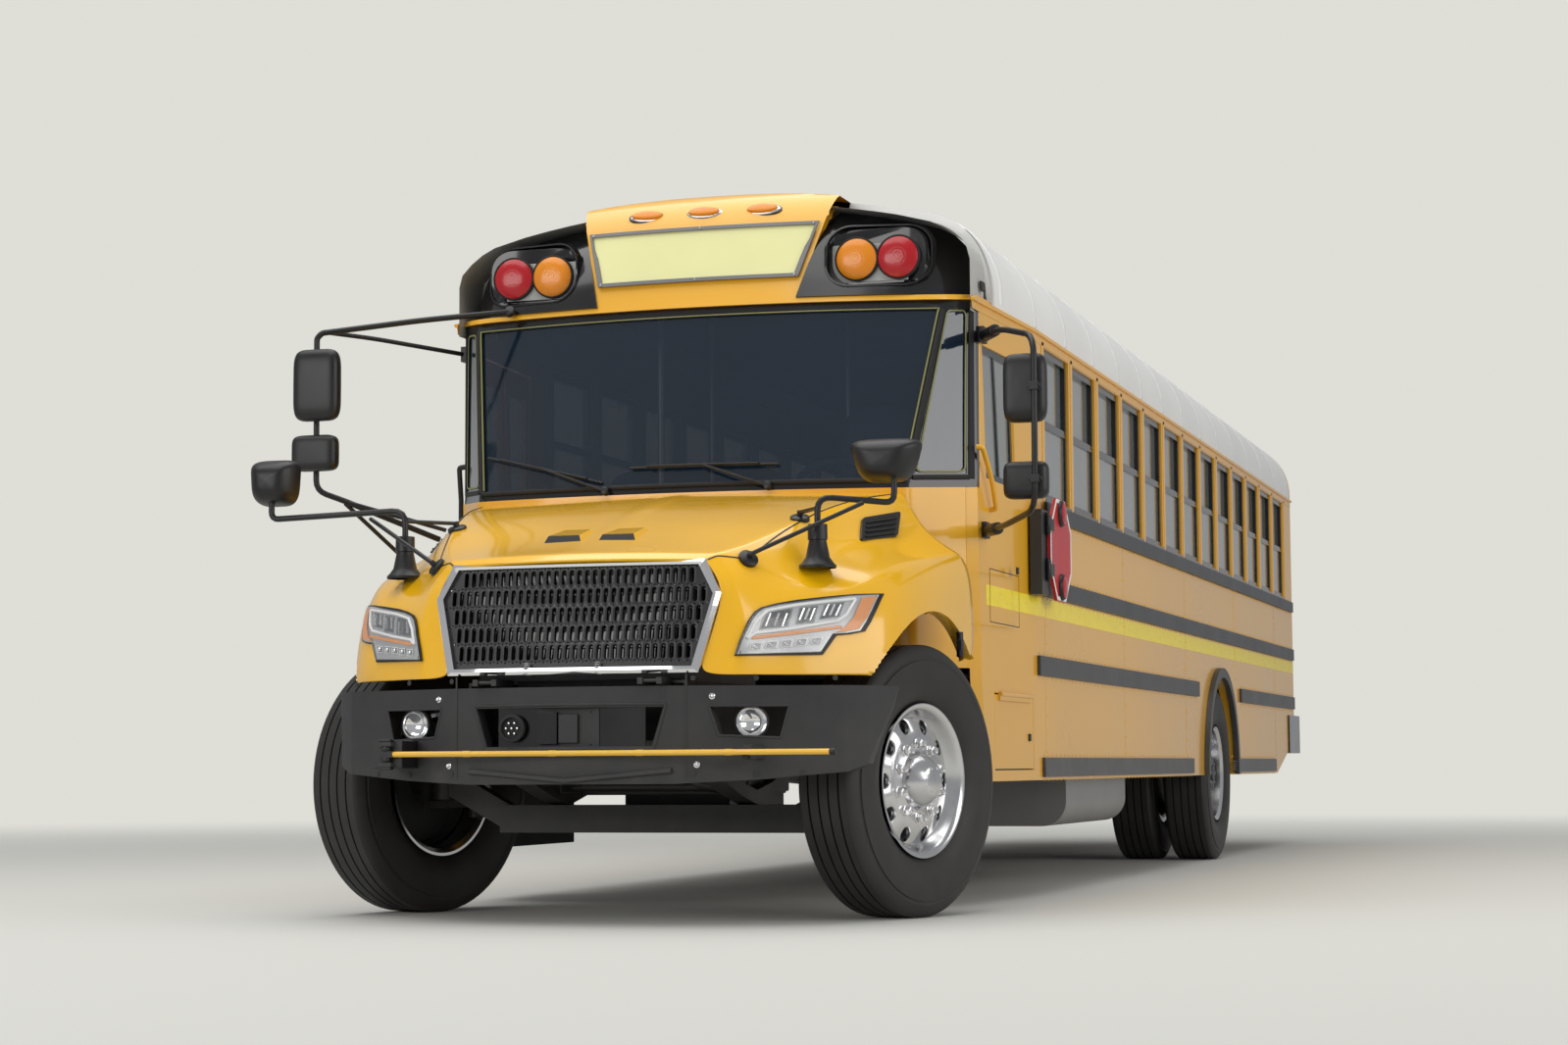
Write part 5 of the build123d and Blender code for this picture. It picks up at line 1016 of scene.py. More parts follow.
cap_knives = []
for side, name in ((1, "left"), (-1, "right")):
    shell = bmesh.new()
    core = (side * 560.0, 1060.0, 2420.0)
    lat, lon = 90, 110
    grid = []
    for i in range(lat + 1):
        row = []
        tilt = math.radians(2 + 86 * i / lat)
        for j in range(lon + 1):
            turn = math.radians(-25 + 160 * j / lon)
            d = (side * math.sin(turn) * math.cos(tilt), -math.cos(turn) * math.cos(tilt), math.sin(tilt))
            t0, t1 = 0.0, 1400.0
            for _ in range(22):
                t = (t0 + t1) / 2
                if outside_cap(core[0] + d[0] * t, core[1] + d[1] * t, core[2] + d[2] * t) < 0:
                    t0 = t
                else:
                    t1 = t
            row.append(shell.verts.new(P(core[0] + d[0] * t, core[1] + d[1] * t, core[2] + d[2] * t)))
        grid.append(row)
    for i in range(lat):
        for j in range(lon):
            shell.faces.new((grid[i][j], grid[i][j + 1], grid[i + 1][j + 1], grid[i + 1][j]))
    cuts = (
        (P(side * 560, 0, 2532), (0, 0, -1)),
        (P(0, 985, 0), (0, 1, 0)),
        (P(side * 449, 0, 2560), (-side * (2935 - 2555), 0, 104)),
    )
    for co, no in cuts:
        geom = shell.verts[:] + shell.edges[:] + shell.faces[:]
        bmesh.ops.bisect_plane(shell, geom=geom, plane_co=co, plane_no=Vector(no).normalized(),
                               clear_outer=True)
    mesh = bpy.data.meshes.new("housing")
    shell.to_mesh(mesh)
    shell.free()
    mesh.materials.append(GLOSS_BLACK)
    half = bpy.data.objects.new("housing", mesh)
    scene.collection.objects.link(half)
    mod = half.modifiers.new("wall", "SOLIDIFY")
    mod.thickness = 0.010
    mod.offset = 1.0
    mod.use_even_offset = True
    knife = Kit()
    knife.prism([P(side * x, 300, z) for x, z in pocket_loop()], (0, 0.9, 0))
    cap_knives.append([P(side * x, 300, z) for x, z in pocket_loop(1)])
    knife_mesh = facing_out(knife, "knife")
    bm = bmesh.new()
    bm.from_mesh(mesh)
    bmesh.ops.recalc_face_normals(bm, faces=bm.faces)
    bm.normal_update()
    probe = max(bm.faces, key=lambda f: f.calc_area())
    if (probe.calc_center_median() - P(*core)).dot(probe.normal) < 0:
        bmesh.ops.reverse_faces(bm, faces=bm.faces)
    bm.to_mesh(mesh)
    bm.free()
    knife_obj = bpy.data.objects.new("knife", knife_mesh)
    scene.collection.objects.link(knife_obj)
    mod = half.modifiers.new("pocket", "BOOLEAN")
    mod.operation = "DIFFERENCE"
    mod.object = knife_obj
    mod.solver = "EXACT"
    cut = baked(half)
    bpy.data.objects.remove(half)
    bpy.data.objects.remove(knife_obj)
    dress(cut, "lamp_housing_" + name, "chassis", ["lamp_housings"], smooth=40)

    liner = Kit()
    front = []
    for x, z in pocket_loop():
        front.append(P(side * x, cap_face(x, z) - 8, z))
    back = [P(side * (772 + (x - 772) * 0.93), 704, 2696 + (z - 2696) * 0.90) for x, z in pocket_loop()]
    n = len(front)
    liner.add(front + back, bands(1, n) + [tuple(range(n, 2 * n))])
    brow = [P(side * x, cap_face(x, z) - (34 if z > 2700 else 16), z) for x, z in pocket_loop(7)]
    brow_in = [P(side * x, cap_face(x, z) - (34 if z > 2700 else 16), z) for x, z in pocket_loop(0)]
    foot = [P(side * x, cap_face(x, z) + 2, z) for x, z in pocket_loop(15)]
    foot_in = [P(side * x, cap_face(x, z) + 2, z) for x, z in pocket_loop(0)]
    liner.add(foot + brow + brow_in + foot_in, bands(3, n))
    liner.make("lamp_recess_" + name, [GLOSS_BLACK], "chassis", "black_plastic", smooth=50)

flash = Kit()
for side in (1, -1):
    for x, which in ((682, 1), (862, 0)):
        at = P(side * x, 694, 2696)
        flash.mat = 2
        flash.lathe([(-0.004, 0.094), (0.012, 0.094), (0.014, 0.089), (0.010, 0.087)], at, (0, -1, 0), 48)
        flash.mat = which
        flash.lathe([(0.004, 0.088), (0.012, 0.086), (0.022, 0.070), (0.028, 0.045), (0.031, 0.020),
                     (0.031, 0.0)],
                    at, (0, -1, 0), 48)
        for ring_k in range(1, 7):
            r = 0.012 * ring_k
            t = 0.031 - (r / 0.088) ** 2 * 0.019
            flash.lathe([(t - 0.001, r - 0.0035), (t + 0.0012, r - 0.002), (t + 0.0012, r + 0.002),
                         (t - 0.001, r + 0.0035)], at, (0, -1, 0), 48)
        tail = P(side * x, REAR, 2714)
        flash.mat = 2
        flash.lathe([(0.0, 0.096), (0.014, 0.096), (0.015, 0.089)], tail, (0, 1, 0), 48)
        flash.mat = which
        flash.lathe([(0.008, 0.088), (0.012, 0.086), (0.020, 0.060), (0.024, 0.0)], tail, (0, 1, 0), 48)
    for x, z, r in ((1010, 1480, 0.089), (1010, 1240, 0.089), (1010, 1600, 0.040)):
        flash.mat = 2
        flash.lathe([(0.0, r + 0.006), (0.010, r + 0.006), (0.011, r - 0.001)], P(side * x, REAR, z),
                    (0, 1, 0), 40)
        flash.mat = 1 if z == 1240 else 0
        flash.lathe([(0.005, r - 0.001), (0.012, r - 0.006), (0.018, r * 0.5), (0.019, 0.0)],
                    P(side * x, REAR, z),
                    (0, 1, 0), 40)
flash.mat = 0
for x in (-259, 0, 259):
    flash.box((x - 55, x + 55), (REAR, REAR + 23), (2848, 2892))
flash.make("warning_lamps", [RED, AMBER, RUBBER], "chassis", "red_lens", ["body_lamps"])

ovals = Kit()
for x in (-259, 0, 259):
    y = cap_face(x, 2934)
    lean = Matrix.Translation(P(x, y, 2934)) @ Matrix.Rotation(-x / 4200, 4, "Z") @ Matrix.Rotation(
        math.radians(-34), 4, "X")
    for part, (w, h, out, mat) in enumerate(((86, 36, 10, 2), (79, 30, 15, 1), (71, 24, 27, 0))):
        ovals.mat = mat
        keep = ovals.at
        ovals.at = lean @ Matrix.Diagonal((w / 1000, 0.001, h / 1000, 1))
        ovals.lathe([(-12.0, 1.0), (out * 0.6, 1.0), (out * 0.9, 0.9), (out, 0.7), (out + 1.5, 0.35),
                     (out + 2, 0.0)], Vector((0, 0, 0)), (0, -1, 0), 40)
        ovals.at = keep
ovals.make("clearance_lamps", [AMBER, CHROME, GLOSS_BLACK], "chassis", "amber_lens", ["marker_lamps"])


def ribbon(kit, loop, station, out, width_in):
    """Raised frame that follows a loop on a bowed face."""
    n = len(loop)
    cx = sum(x for x, _ in loop) / n
    cz = sum(z for _, z in loop) / n
    layers = []
    for shrink, lift in ((0.0, 2), (0.0, out), (width_in, out), (width_in, 2)):
        layer = []
        for x, z in loop:
            dx, dz = cx - x, cz - z
            px = x + math.copysign(min(shrink, abs(dx)), dx)
            pz = z + math.copysign(min(shrink, abs(dz)), dz)
            layer.append(P(px, station(px, pz) - lift, pz))
        layers.append(layer)
    kit.add([v for layer in layers for v in layer], bands(3, n))


def divided(corners, step=60):
    """Outline with points added so that none of its sides is much longer than step."""
    loop = []
    for (x0, z0), (x1, z1) in zip(corners, corners[1:] + corners[:1]):
        cuts = max(1, int(math.hypot(x1 - x0, z1 - z0) / step))
        for k in range(cuts):
            loop.append((x0 + (x1 - x0) * k / cuts, z0 + (z1 - z0) * k / cuts))
    return loop


plate = Kit()
SIGN_LOOP = divided([(-516, 2872), (516, 2872), (446, 2624), (-446, 2624)])
ribbon(plate, SIGN_LOOP, cap_face, 20, 17)
plate.mat = 1
for x, z in ((-494, 2862), (494, 2862), (-432, 2634), (432, 2634), (0, 2864), (0, 2632)):
    plate.lathe([(0.0, 0.007), (0.004, 0.006), (0.005, 0.0)], P(x, cap_face(x, z) - 20, z), (0, -1, 0), 12)
plate.make("sign_frame", [finish("frame_grey", (0.17, 0.17, 0.175), 0.45, metal=0.4, vary=0.1), STEEL],
           "chassis", "rail_black", bevel=2)

# ---------------------------------------------------------------- glass
glass = Kit()
cols, steps = 24, 8
verts = []
for j in range(steps + 1):
    z = 1752 + (2476 - 1752) * j / steps
    half = 920 + (1026 - 920) * j / steps
    for i in range(cols + 1):
        x = -half + 2 * half * i / cols
        verts.append(P(x, bowed(x, z) + 8, z))
glass.add(verts, bands(steps, cols + 1, closed=False))
for side in (1, -1):
    verts = []
    for j in range(steps + 1):
        z = 1768 + (2470 - 1768) * j / steps
        x0 = 966 + (1068 - 966) * j / steps
        for x in (x0, (x0 + 1171) / 2, 1171):
            verts.append(P(side * x, bowed(x, z) + 8, z))
    glass.mat = 1
    glass.add(verts, bands(steps, 3, closed=False))
glass.make("windshield_panes", [GLASS_DARK, CORNER_GLASS], "chassis", "glass", ["body_glass"], smooth=60)

WINDOW_Z = (1773, 2461)
FIRST, PITCH, PILLAR = 1862, 646.8, 60
MID = HALF - 25
windows = [(FIRST + k * PITCH + PILLAR / 2, FIRST + (k + 1) * PITCH - PILLAR / 2) for k in range(13)]
panes = Kit()
for side in (1, -1):
    for y0, y1 in windows:
        panes.box(sorted((side * (MID - 3), side * (MID + 3))), (y0 + 28, y1 - 28), (WINDOW_Z[0] + 28, 2128))
        panes.box(sorted((side * (MID - 15), side * (MID - 9))), (y0 + 28, y1 - 28), (2118, WINDOW_Z[1] - 28))
panes.prism([P(MID - 3, y, z) for y, z in ((765, 1790), (1262, 1790), (1262, 2300), (835, 2300))],
            (0.006, 0, 0))
for x0, x1 in ((-1062, -478), (478, 1062)):
    panes.box((x0, x1), (REAR - 28, REAR - 22), (WINDOW_Z[0] + 28, WINDOW_Z[1] - 28))
panes.make("side_panes", [GLASS_SIDE], "chassis", "glass")

sash = Kit()
for side in (1, -1):
    for y0, y1 in windows:
        sash.box(sorted((side * (MID - 16), side * (MID + 10))), (y0 + 6, y1 - 6), (2112, 2138))
        sash.box(sorted((side * (HALF - 2), side * (HALF + 5))), (y0 - 2, y1 + 2),
                 (WINDOW_Z[0] - 12, WINDOW_Z[0] + 2))
        for z0, z1 in ((WINDOW_Z[0] + 18, 2112), (2138, WINDOW_Z[1] - 18)):
            for ya, yb in ((y0 + 18, y0 + 34), (y1 - 34, y1 - 18)):
                sash.box(sorted((side * (MID - 12), side * (MID + 14))), (ya, yb), (z0, z1))
        for y in (y0 + 60, y1 - 60):
            sash.box(sorted((side * (MID + 8), side * (MID + 16))), (y - 16, y + 16), (2118, 2132))
sash.box((MID - 14, MID + 14), (1018, 1040), (1792, 2300))
sash.make("window_sashes", [GLOSS_BLACK], "chassis", "frame_trim", bevel=2)

line = Kit()
for side in (1, -1):
    x0, x1 = 922, 1027
    line.tube([P(side * (x0 + (x1 - x0) * k / 12),
                 bowed(x0 + (x1 - x0) * k / 12, 1756 + 60 * k) - 5, 1756 + 60 * k)
               for k in range(13)], 4, 8)
    quarter = []
    for (qx, qz), sx, sz, a0 in (((1064, 2464), 1, -1, 180), ((1166, 2464), -1, -1, 90),
                                 ((1168, 1776), -1, 1, 0),
                                 ((974, 1776), 1, 1, -90)):
        for k in range(5):
            a = math.radians(a0 - 90 * k / 4)
            quarter.append((qx + sx * 22 + 22 * math.cos(a), qz + sz * 22 + 22 * math.sin(a)))
    loop = []
    for (ax, az), (bx, bz) in zip(quarter, quarter[1:] + quarter[:1]):
        cuts = max(1, int(math.hypot(bx - ax, bz - az) / 60))
        loop += [(ax + (bx - ax) * k / cuts, az + (bz - az) * k / cuts) for k in range(cuts)]
    loop.append(loop[0])
    line.tube([P(side * x, bowed(x, z) - 3, z) for x, z in loop], 4, 8, cap=False)
line.tube([P(x, bowed(x, 2474) - 4, 2474) for x in range(-1020, 1030, 85)], 3, 8)
line.make("glass_gaskets", [GASKET], "chassis", "frame_trim")
black = Kit()
for side in (1, -1):
    pillar = [P(side * (1046 - (2476 - z) * 0.1464), bowed(1046 - (2476 - z) * 0.1464, z) + 6, z)
              for z in range(1745, 2500, 60)]
    black.tube(pillar, 17, 12)
    black.tube([P(side * 1192, bowed(1192, z) + 3, z) for z in range(1745, 2500, 60)], 14, 10)
    black.tube([P(side * x, bowed(x, 1752) - 1, 1752) for x in (960, 1030, 1100, 1185)], 11, 10)
black.tube([P(x, bowed(x, 1742) - 2, 1742) for x in range(-930, 940, 93)], 11, 10)
black.make("glass_seals", [RUBBER], "chassis", "frame_trim")

# ---------------------------------------------------------------- wipers
wipe = Kit()
for hub_x, (lx, lz), (tx, tz) in ((-330, (-350, 1764), (-917, 1901)), (378, (413, 1820), (-228, 1823))):
    count = 8
    blade = []
    for k in range(count + 1):
        t = k / count
        x, z = lx + (tx - lx) * t, lz + (tz - lz) * t
        blade.append(P(x, bowed(x, z) - 9, z))
    wipe.tube(blade, 6, 8)
    spine = [p + Vector((0, -0.016, 0.004)) for p in blade]
    wipe.tube(spine[1:-1], 4.5, 8)
    for k in (1, 3, 5, 7):
        wipe.tube([blade[k], spine[k]], 4, 6)
    middle = spine[count // 2]
    hub = P(hub_x, bowed(hub_x, 1727) - 22, 1727)
    wipe.tube([hub, hub + (middle - hub) * 0.5 + Vector((0, -0.012, 0)), middle], 6.5, 8)
    wipe.pill(hub + Vector((0, 0.055, -0.012)), hub + Vector((0, -0.012, 0.004)), 17)
wipe.make("wiper_arms", [BLACK], "chassis", "black_plastic", ["wipers"])

# ---------------------------------------------------------------- mirrors
def head(kit, centre, size):
    """Soft-cornered mirror housing as a rounded box; its glass looks back."""
    n = 10
    keep = kit.at
    kit.at = keep @ Matrix.Translation(centre)
    w, d, h = [s / 2000 for s in size]
    verts = []
    rows = 2 * n
    p = 5.5
    for i in range(rows + 1):
        a = -math.pi / 2 + math.pi * i / rows
        for j in range(4 * n):
            b = 2 * math.pi * j / (4 * n)
            cx = bulge(math.cos(b), 2 / p)
            cz = bulge(math.sin(b), 2 / p)
            ring_r = abs(math.cos(a)) ** 0.36
            y = bulge(math.sin(a), 0.75)
            verts.append(Vector((w * cx * ring_r, d * y, h * cz * ring_r)))
    kit.add(verts, bands(rows, 4 * n))
    kit.at = keep


def face_glass(kit, centre, size, depth):
    """Mirror glass on the back of a housing, which looks back along the bus."""
    keep = kit.at
    kit.at = keep @ Matrix.Translation(centre)
    w, h = size[0] / 2000, size[2] / 2000
    loop = []
    for k in range(40):
        b = 2 * math.pi * k / 40
        cx = bulge(math.cos(b), 0.55)
        cz = bulge(math.sin(b), 0.55)
        loop.append(Vector((w * 0.86 * cx, depth / 2000 * 0.99, h * 0.88 * cz)))
    kit.add(loop, [tuple(range(40))])
    kit.at = keep


flat = Kit()
flat.tube([P(-861, 640, 2546), P(-1180, 420, 2492), P(-1540, 205, 2424), P(-1558, 195, 2400),
           P(-1556, 195, 1752),
           P(-1453, 260, 1710), P(-1150, 560, 1560)], 12.5)
flat.tube([P(-1158, 845, 2400), P(-1400, 420, 2424), P(-1530, 205, 2428)], 10)
flat.tube([P(-1453, 260, 1708), P(-1085, 480, 1592)], 9)
flat.tube([P(-1453, 262, 1700), P(-1158, 845, 1250)], 9)
head(flat, P(-1534, 152, 2194), (208, 84, 306))
head(flat, P(-1540, 152, 1906), (206, 84, 154))
flat.tube([P(1176, 905, 2380), P(1330, 560, 2350), P(1528, 236, 2270), P(1526, 236, 1580), P(1330, 560, 1548),
           P(1178, 915, 1558)], 12.5)
head(flat, P(1479, 296, 2069), (176, 84, 276))
head(flat, P(1479, 296, 1702), (182, 84, 150))
for x, y, zs in ((-1557, 190, (2120, 2270, 1906)), (1527, 240, (2069, 1702))):
    for z in zs:
        flat.box((x - 18, x + 18), (y - 22, y + 16), (z - 16, z + 16))
        flat.pill(P(x - 26, y + 6, z), P(x + 26, y + 6, z), 9)
for x, y, z in ((-1158, 862, 2400), (-1158, 862, 1250), (1166, 905, 2382), (1166, 915, 1560)):
    flat.box((x - 14, x + 14), (y - 34, y + 34), (z - 34, z + 34))
for x, y, z in ((1190, 850, 2376), (1190, 860, 1556)):
    flat.pill(P(x - 8, y + 34, z), P(x + 74, y - 130, z - 4), 26)
flat.pill(P(-861, 628, 2552), P(-861, 652, 2540), 24)
flat.mat = 1
face_glass(flat, P(-1534, 152, 2194), (208, 84, 306), 84)
face_glass(flat, P(-1540, 152, 1906), (206, 84, 154), 84)
face_glass(flat, P(1479, 296, 2069), (176, 84, 276), 84)
face_glass(flat, P(1479, 296, 1702), (182, 84, 150), 84)
flat.make("road_mirrors", [BLACK, MIRROR], "chassis", "black_plastic", ["side_mirrors"], bevel=1.5, smooth=50)

cross = Kit()
for side, centre, elbow in ((1, (1061, -320, 1738), 1102), (-1, (-1418, -480, 1720), -1418)):
    x0, y0 = side * 843, -469
    base_z = 1322
    cross.lathe([(0, 0.070), (0.010, 0.071), (0.018, 0.062), (0.040, 0.046), (0.105, 0.033), (0.107, 0.038),
                 (0.165, 0.037), (0.168, 0.018), (0.17, 0.0)], P(x0, y0, base_z), (0, 0, 1), 32)
    cross.tube([P(x0, y0, base_z + 110), P(x0, y0, 1592), P(elbow, centre[1], 1572),
                P(elbow, centre[1], centre[2] - 60)], 12)
    cross.tube([P(side * 643, -663, 1368), P(side * 1010, -430, 1566)], 8.5)
    cross.tube([P(side * 714, -268, 1552), P(x0, y0, 1548)], 8)
    for bx, by, bz, nx, ny, nz in ((628, -650, 1352, 0.55, -0.5, 0.62), (712, -262, 1530, 0.10, -0.32, 0.93)):
        base = P(side * bx, by, bz)
        go = Vector((side * nx, ny, nz)).normalized()
        cross.lathe([(-0.012, 0.0), (-0.010, 0.038), (0.006, 0.038), (0.011, 0.030), (0.013, 0.0)], base, go,
                    28)
        cross.lathe([(0.010, 0.012), (0.030, 0.011), (0.032, 0.0)], base, go, 14)
    cross.ball(P(elbow, centre[1], centre[2] - 60), 20)
    size = (300, 118, 168) if side > 0 else (206, 118, 186)
    verts = []
    w, d, h = [s / 2000 for s in size]
    rows, m = 12, 40
    for i in range(rows + 7):
        a = math.pi / 2 * min(i, rows) / rows
        inward = math.cos(math.pi / 2 * max(0, i - rows) / 6.3) * (0.95 if i > rows else 1)
        grow = math.sin(a) ** 0.6 * inward if i else 0.0
        out = -d + 2 * d * (1 - math.cos(a)) * 0.98 if i <= rows else d * (0.86 + 0.10 * (1 - inward))
        for j in range(m):
            b = 2 * math.pi * j / m
            cx = bulge(math.cos(b), 0.5)
            cz = bulge(math.sin(b), 0.62 if math.sin(b) < 0 else 0.34)
            lean = 1.0 - (0.34 if side > 0 else 0.12) * (1 - cz) / 2
            verts.append(P(*centre) + Vector((w * cx * grow * lean, out, h * cz * grow)))
    faces = bands(rows + 6, m)
    cross.add(verts, faces[:rows * m])
    cross.mat = 1
    cross.add(verts[rows * m:], [tuple(k - rows * m for k in f) for f in faces[rows * m:]])
    cross.mat = 0
cross.make("view_mirrors", [BLACK, MIRROR], "hood", "black_plastic", ["cross_mirrors"], smooth=50)

# ---------------------------------------------------------------- softened CAD edges
def softened(node, name, mat, body, width):
    """A node's own shape with its edges rounded over."""
    mesh = nodes[node].data.copy()
    bm = bmesh.new()
    bm.from_mesh(mesh)
    bmesh.ops.remove_doubles(bm, verts=bm.verts, dist=0.00002)
    bmesh.ops.dissolve_limit(bm, angle_limit=math.radians(1.5), verts=bm.verts, edges=bm.edges)
    bm.to_mesh(mesh)
    bm.free()
    mesh.materials.clear()
    mesh.materials.append(mat)
    return dress(mesh, name, body, [node], bevel=width, smooth=40)


softened("front_bumper", "bumper_skin", BUMPER, "chassis", 9)
softened("rear_bumper", "tail_bumper", GLOSS_BLACK, "chassis", 8)
softened("side_trim", "trim_skin", RAIL, "chassis", 2.5)

# ---------------------------------------------------------------- bumper details
BUMPER_POINTS = ((0.0, -905.0), (453.0, -858.0), (707.0, -750.0), (985.0, -640.0), (1065.0, -560.0),
                 (1140.0, -411.0))


def bumper_face(x):
    """Station of the bumper's front face at x."""
    return along(BUMPER_POINTS, abs(x))


def bumper_out(x):
    """Way the bumper's face looks at x, pointing forward."""
    d = 4.0
    slope = (bumper_face(x + d) - bumper_face(x - d)) / (2 * d)
    return Vector((slope, -1, 0)).normalized()


grooves = Kit()
for side in (1, -1):
    grooves.prism([P(side * 450, bumper_face(450) - 1.5, 541), P(side * 457, bumper_face(457) - 1.5, 541),
                   P(side * 457, bumper_face(457) - 1.5, 920), P(side * 450, bumper_face(450) - 1.5, 920)],
                  (0, 0.003, 0))
    for x, z in ((476, 905), (476, 560), (690, 905), (690, 556), (960, 905), (850, 560)):
        grooves.lathe([(0, 0.010), (0.003, 0.010), (0.003, 0.0)], P(side * x, bumper_face(x), z),
                      bumper_out(side * x), 12)
grooves.make("bumper_seams", [SHADE], "chassis", "bumper_grey")

steel = Kit()
for x, z, r in ((540, 839, 8), (488, 590, 8)):
    for side in (1, -1):
        out = bumper_out(side * x)
        at = P(side * x, bumper_face(x), z)
        steel.lathe([(0.0, r * 1.5 / 1000), (0.003, r * 1.45 / 1000), (0.004, r / 1000),
                     (0.008, r * 0.97 / 1000),
                     (0.013, r * 0.7 / 1000), (0.015, r * 0.35 / 1000), (0.0155, 0.0)], at, out, 24)
under = Kit()
for x0, x1, y0, y1, z0, z1 in ((-330, 340, 120, 760, 470, 620), (-210, 240, 300, 1050, 400, 520),
                               (-395, -345, -60, 620, 480, 600), (345, 395, -60, 620, 480, 600)):
    under.box((x0, x1), (y0, y1), (z0, z1))
for z in (505, 560):
    under.tube([P(-400, 60, z), P(400, 60, z)], 22, 12)
under.tube([P(120, 90, 590), P(170, 60, 520), P(300, 70, 500), P(380, 240, 520)], 30, 14)
under.make("engine_underside", [FRAME_BLACK], "chassis", "engine_grey", bevel=6)

steel.make("bumper_bolts", [CHROME], "chassis", "chrome", smooth=50)

chin = Kit()
rail = [(-400, 566), (-325, 560), (0, 531), (325, 560), (400, 566)]
verts = []
for x, z in rail:
    y = bumper_face(x)
    verts += [P(x, y + 4, z + 16), P(x, y - 16, z + 10), P(x, y - 18, z - 4), P(x, y + 4, z - 10)]
ends = [(3, 2, 1, 0), tuple(range(4 * (len(rail) - 1), 4 * len(rail)))]
chin.add(verts, bands(len(rail) - 1, 4) + ends)
frame_loop = [(-378, 812), (378, 812), (333, 649), (-333, 649)]
for (x0, z0), (x1, z1) in zip(frame_loop, frame_loop[1:] + frame_loop[:1]):
    cuts = 6
    chin.tube([P(x0 + (x1 - x0) * k / cuts, bumper_face(x0 + (x1 - x0) * k / cuts) + 2,
                 z0 + (z1 - z0) * k / cuts)
               for k in range(cuts + 1)], 7, 8)
for side in (1, -1):
    loop = [(560, 696), (528, 804), (802, 804), (772, 686)]
    for (x0, z0), (x1, z1) in zip(loop, loop[1:] + loop[:1]):
        chin.tube([P(side * (x0 + (x1 - x0) * k / 4), bumper_face(x0 + (x1 - x0) * k / 4) + 2,
                     z0 + (z1 - z0) * k / 4) for k in range(5)], 5.5, 8)
chin.make("bumper_lips", [BUMPER], "chassis", "bumper_grey", bevel=2)

tow = Kit()
tow.box((-36, 40), (-884, -872), (672, 778))
tow.mat = 1
tow.box((-118, -40), (-890, -873), (668, 786))
tow.mat = 2
socket = P(-218, -888, 727)
tow.lathe([(-0.010, 0.052), (0.008, 0.052), (0.010, 0.049), (0.010, 0.040), (-0.004, 0.038), (-0.004, 0.0)],
          socket, (0, -1, 0), 32)
tow.mat = 3
for k in range(7):
    a = 2 * math.pi * k / 6
    r = 0.0 if k == 6 else 0.022
    at = socket + Vector((math.cos(a) * r, 0.004, math.sin(a) * r))
    tow.lathe([(-0.002, 0.0045), (0.010, 0.0045), (0.011, 0.0)], at, (0, -1, 0), 10)
tow.mat = 1
tow.box((-280, 300), (-868, -862), (656, 806))
tow.make("bumper_middle", [BLACK, GLOSS_BLACK, RUBBER, ALLOY], "chassis", "black_plastic", bevel=2)

fog = Kit()
for side in (1, -1):
    at = P(side * 668, -742, 745)
    out = Vector((side * 0.18, -1, 0)).normalized()
    fog.mat = 1
    fog.lathe([(-0.045, 0.030), (-0.030, 0.058), (-0.004, 0.064), (0.006, 0.064), (0.010, 0.058)], at, out,
              36)
    fog.mat = 0
    fog.lathe([(-0.030, 0.0), (-0.026, 0.020), (-0.006, 0.054), (0.007, 0.058)], at, out, 36)
    fog.mat = 2
    fog.lathe([(0.005, 0.058), (0.008, 0.045), (0.011, 0.020), (0.012, 0.0)], at, out, 36)
fog.make("fog_lamps", [CHROME, RUBBER, CLEAR], "chassis", "lamp_clear", smooth=50)

springs = Kit()
for x in (-170, 110):
    coil = []
    for k in range(60):
        a = 2 * math.pi * k / 10
        coil.append(P(x + math.cos(a) * 13, -862 + math.sin(a) * 13, 924 + k * 0.75))
    springs.tube(coil, 2.4, 6)
springs.make("hood_springs", [STEEL], "chassis", "chrome")

# ---------------------------------------------------------------- crossing gate
arm = Kit()
PIVOT = (-705, -933)
arm.tube([P(-690, -933, 634), P(-560, -933, 634), P(200, -933, 634), P(1036, -933, 634)], 10.6, 16)
arm.mat = 1
arm.pill(P(1018, -933, 634), P(1042, -933, 634), 12.5)
for z in (610, 650):
    arm.pill(P(*PIVOT, z - 5), P(*PIVOT, z + 13), 19)
arm.box((-724, -676), (-945, -921), (622, 646))
arm.mat = 0
for x in (-380, -40, 300, 640):
    arm.lathe([(-0.014, 0.0), (-0.014, 0.0118), (0.014, 0.0118), (0.014, 0.0)], P(x, -933, 634), (1, 0, 0),
              16)
arm.make("gate_arm", [GATE, BLACK], "crossing_gate", "gate_yellow", ["crossing_gate"], smooth=50)
hinge = Kit()
hinge.box((-767, -648), (-914, -748), (582, 686))
hinge.box((-730, -680), (-948, -915), (680, 692))
hinge.box((-730, -680), (-948, -915), (576, 589))
hinge.box((688, 718), (-918, -748), (608, 660))
hinge.box((690, 716), (-938, -916), (612, 620))
hinge.make("gate_hinge", [BLACK], "chassis", "black_plastic", bevel=4)

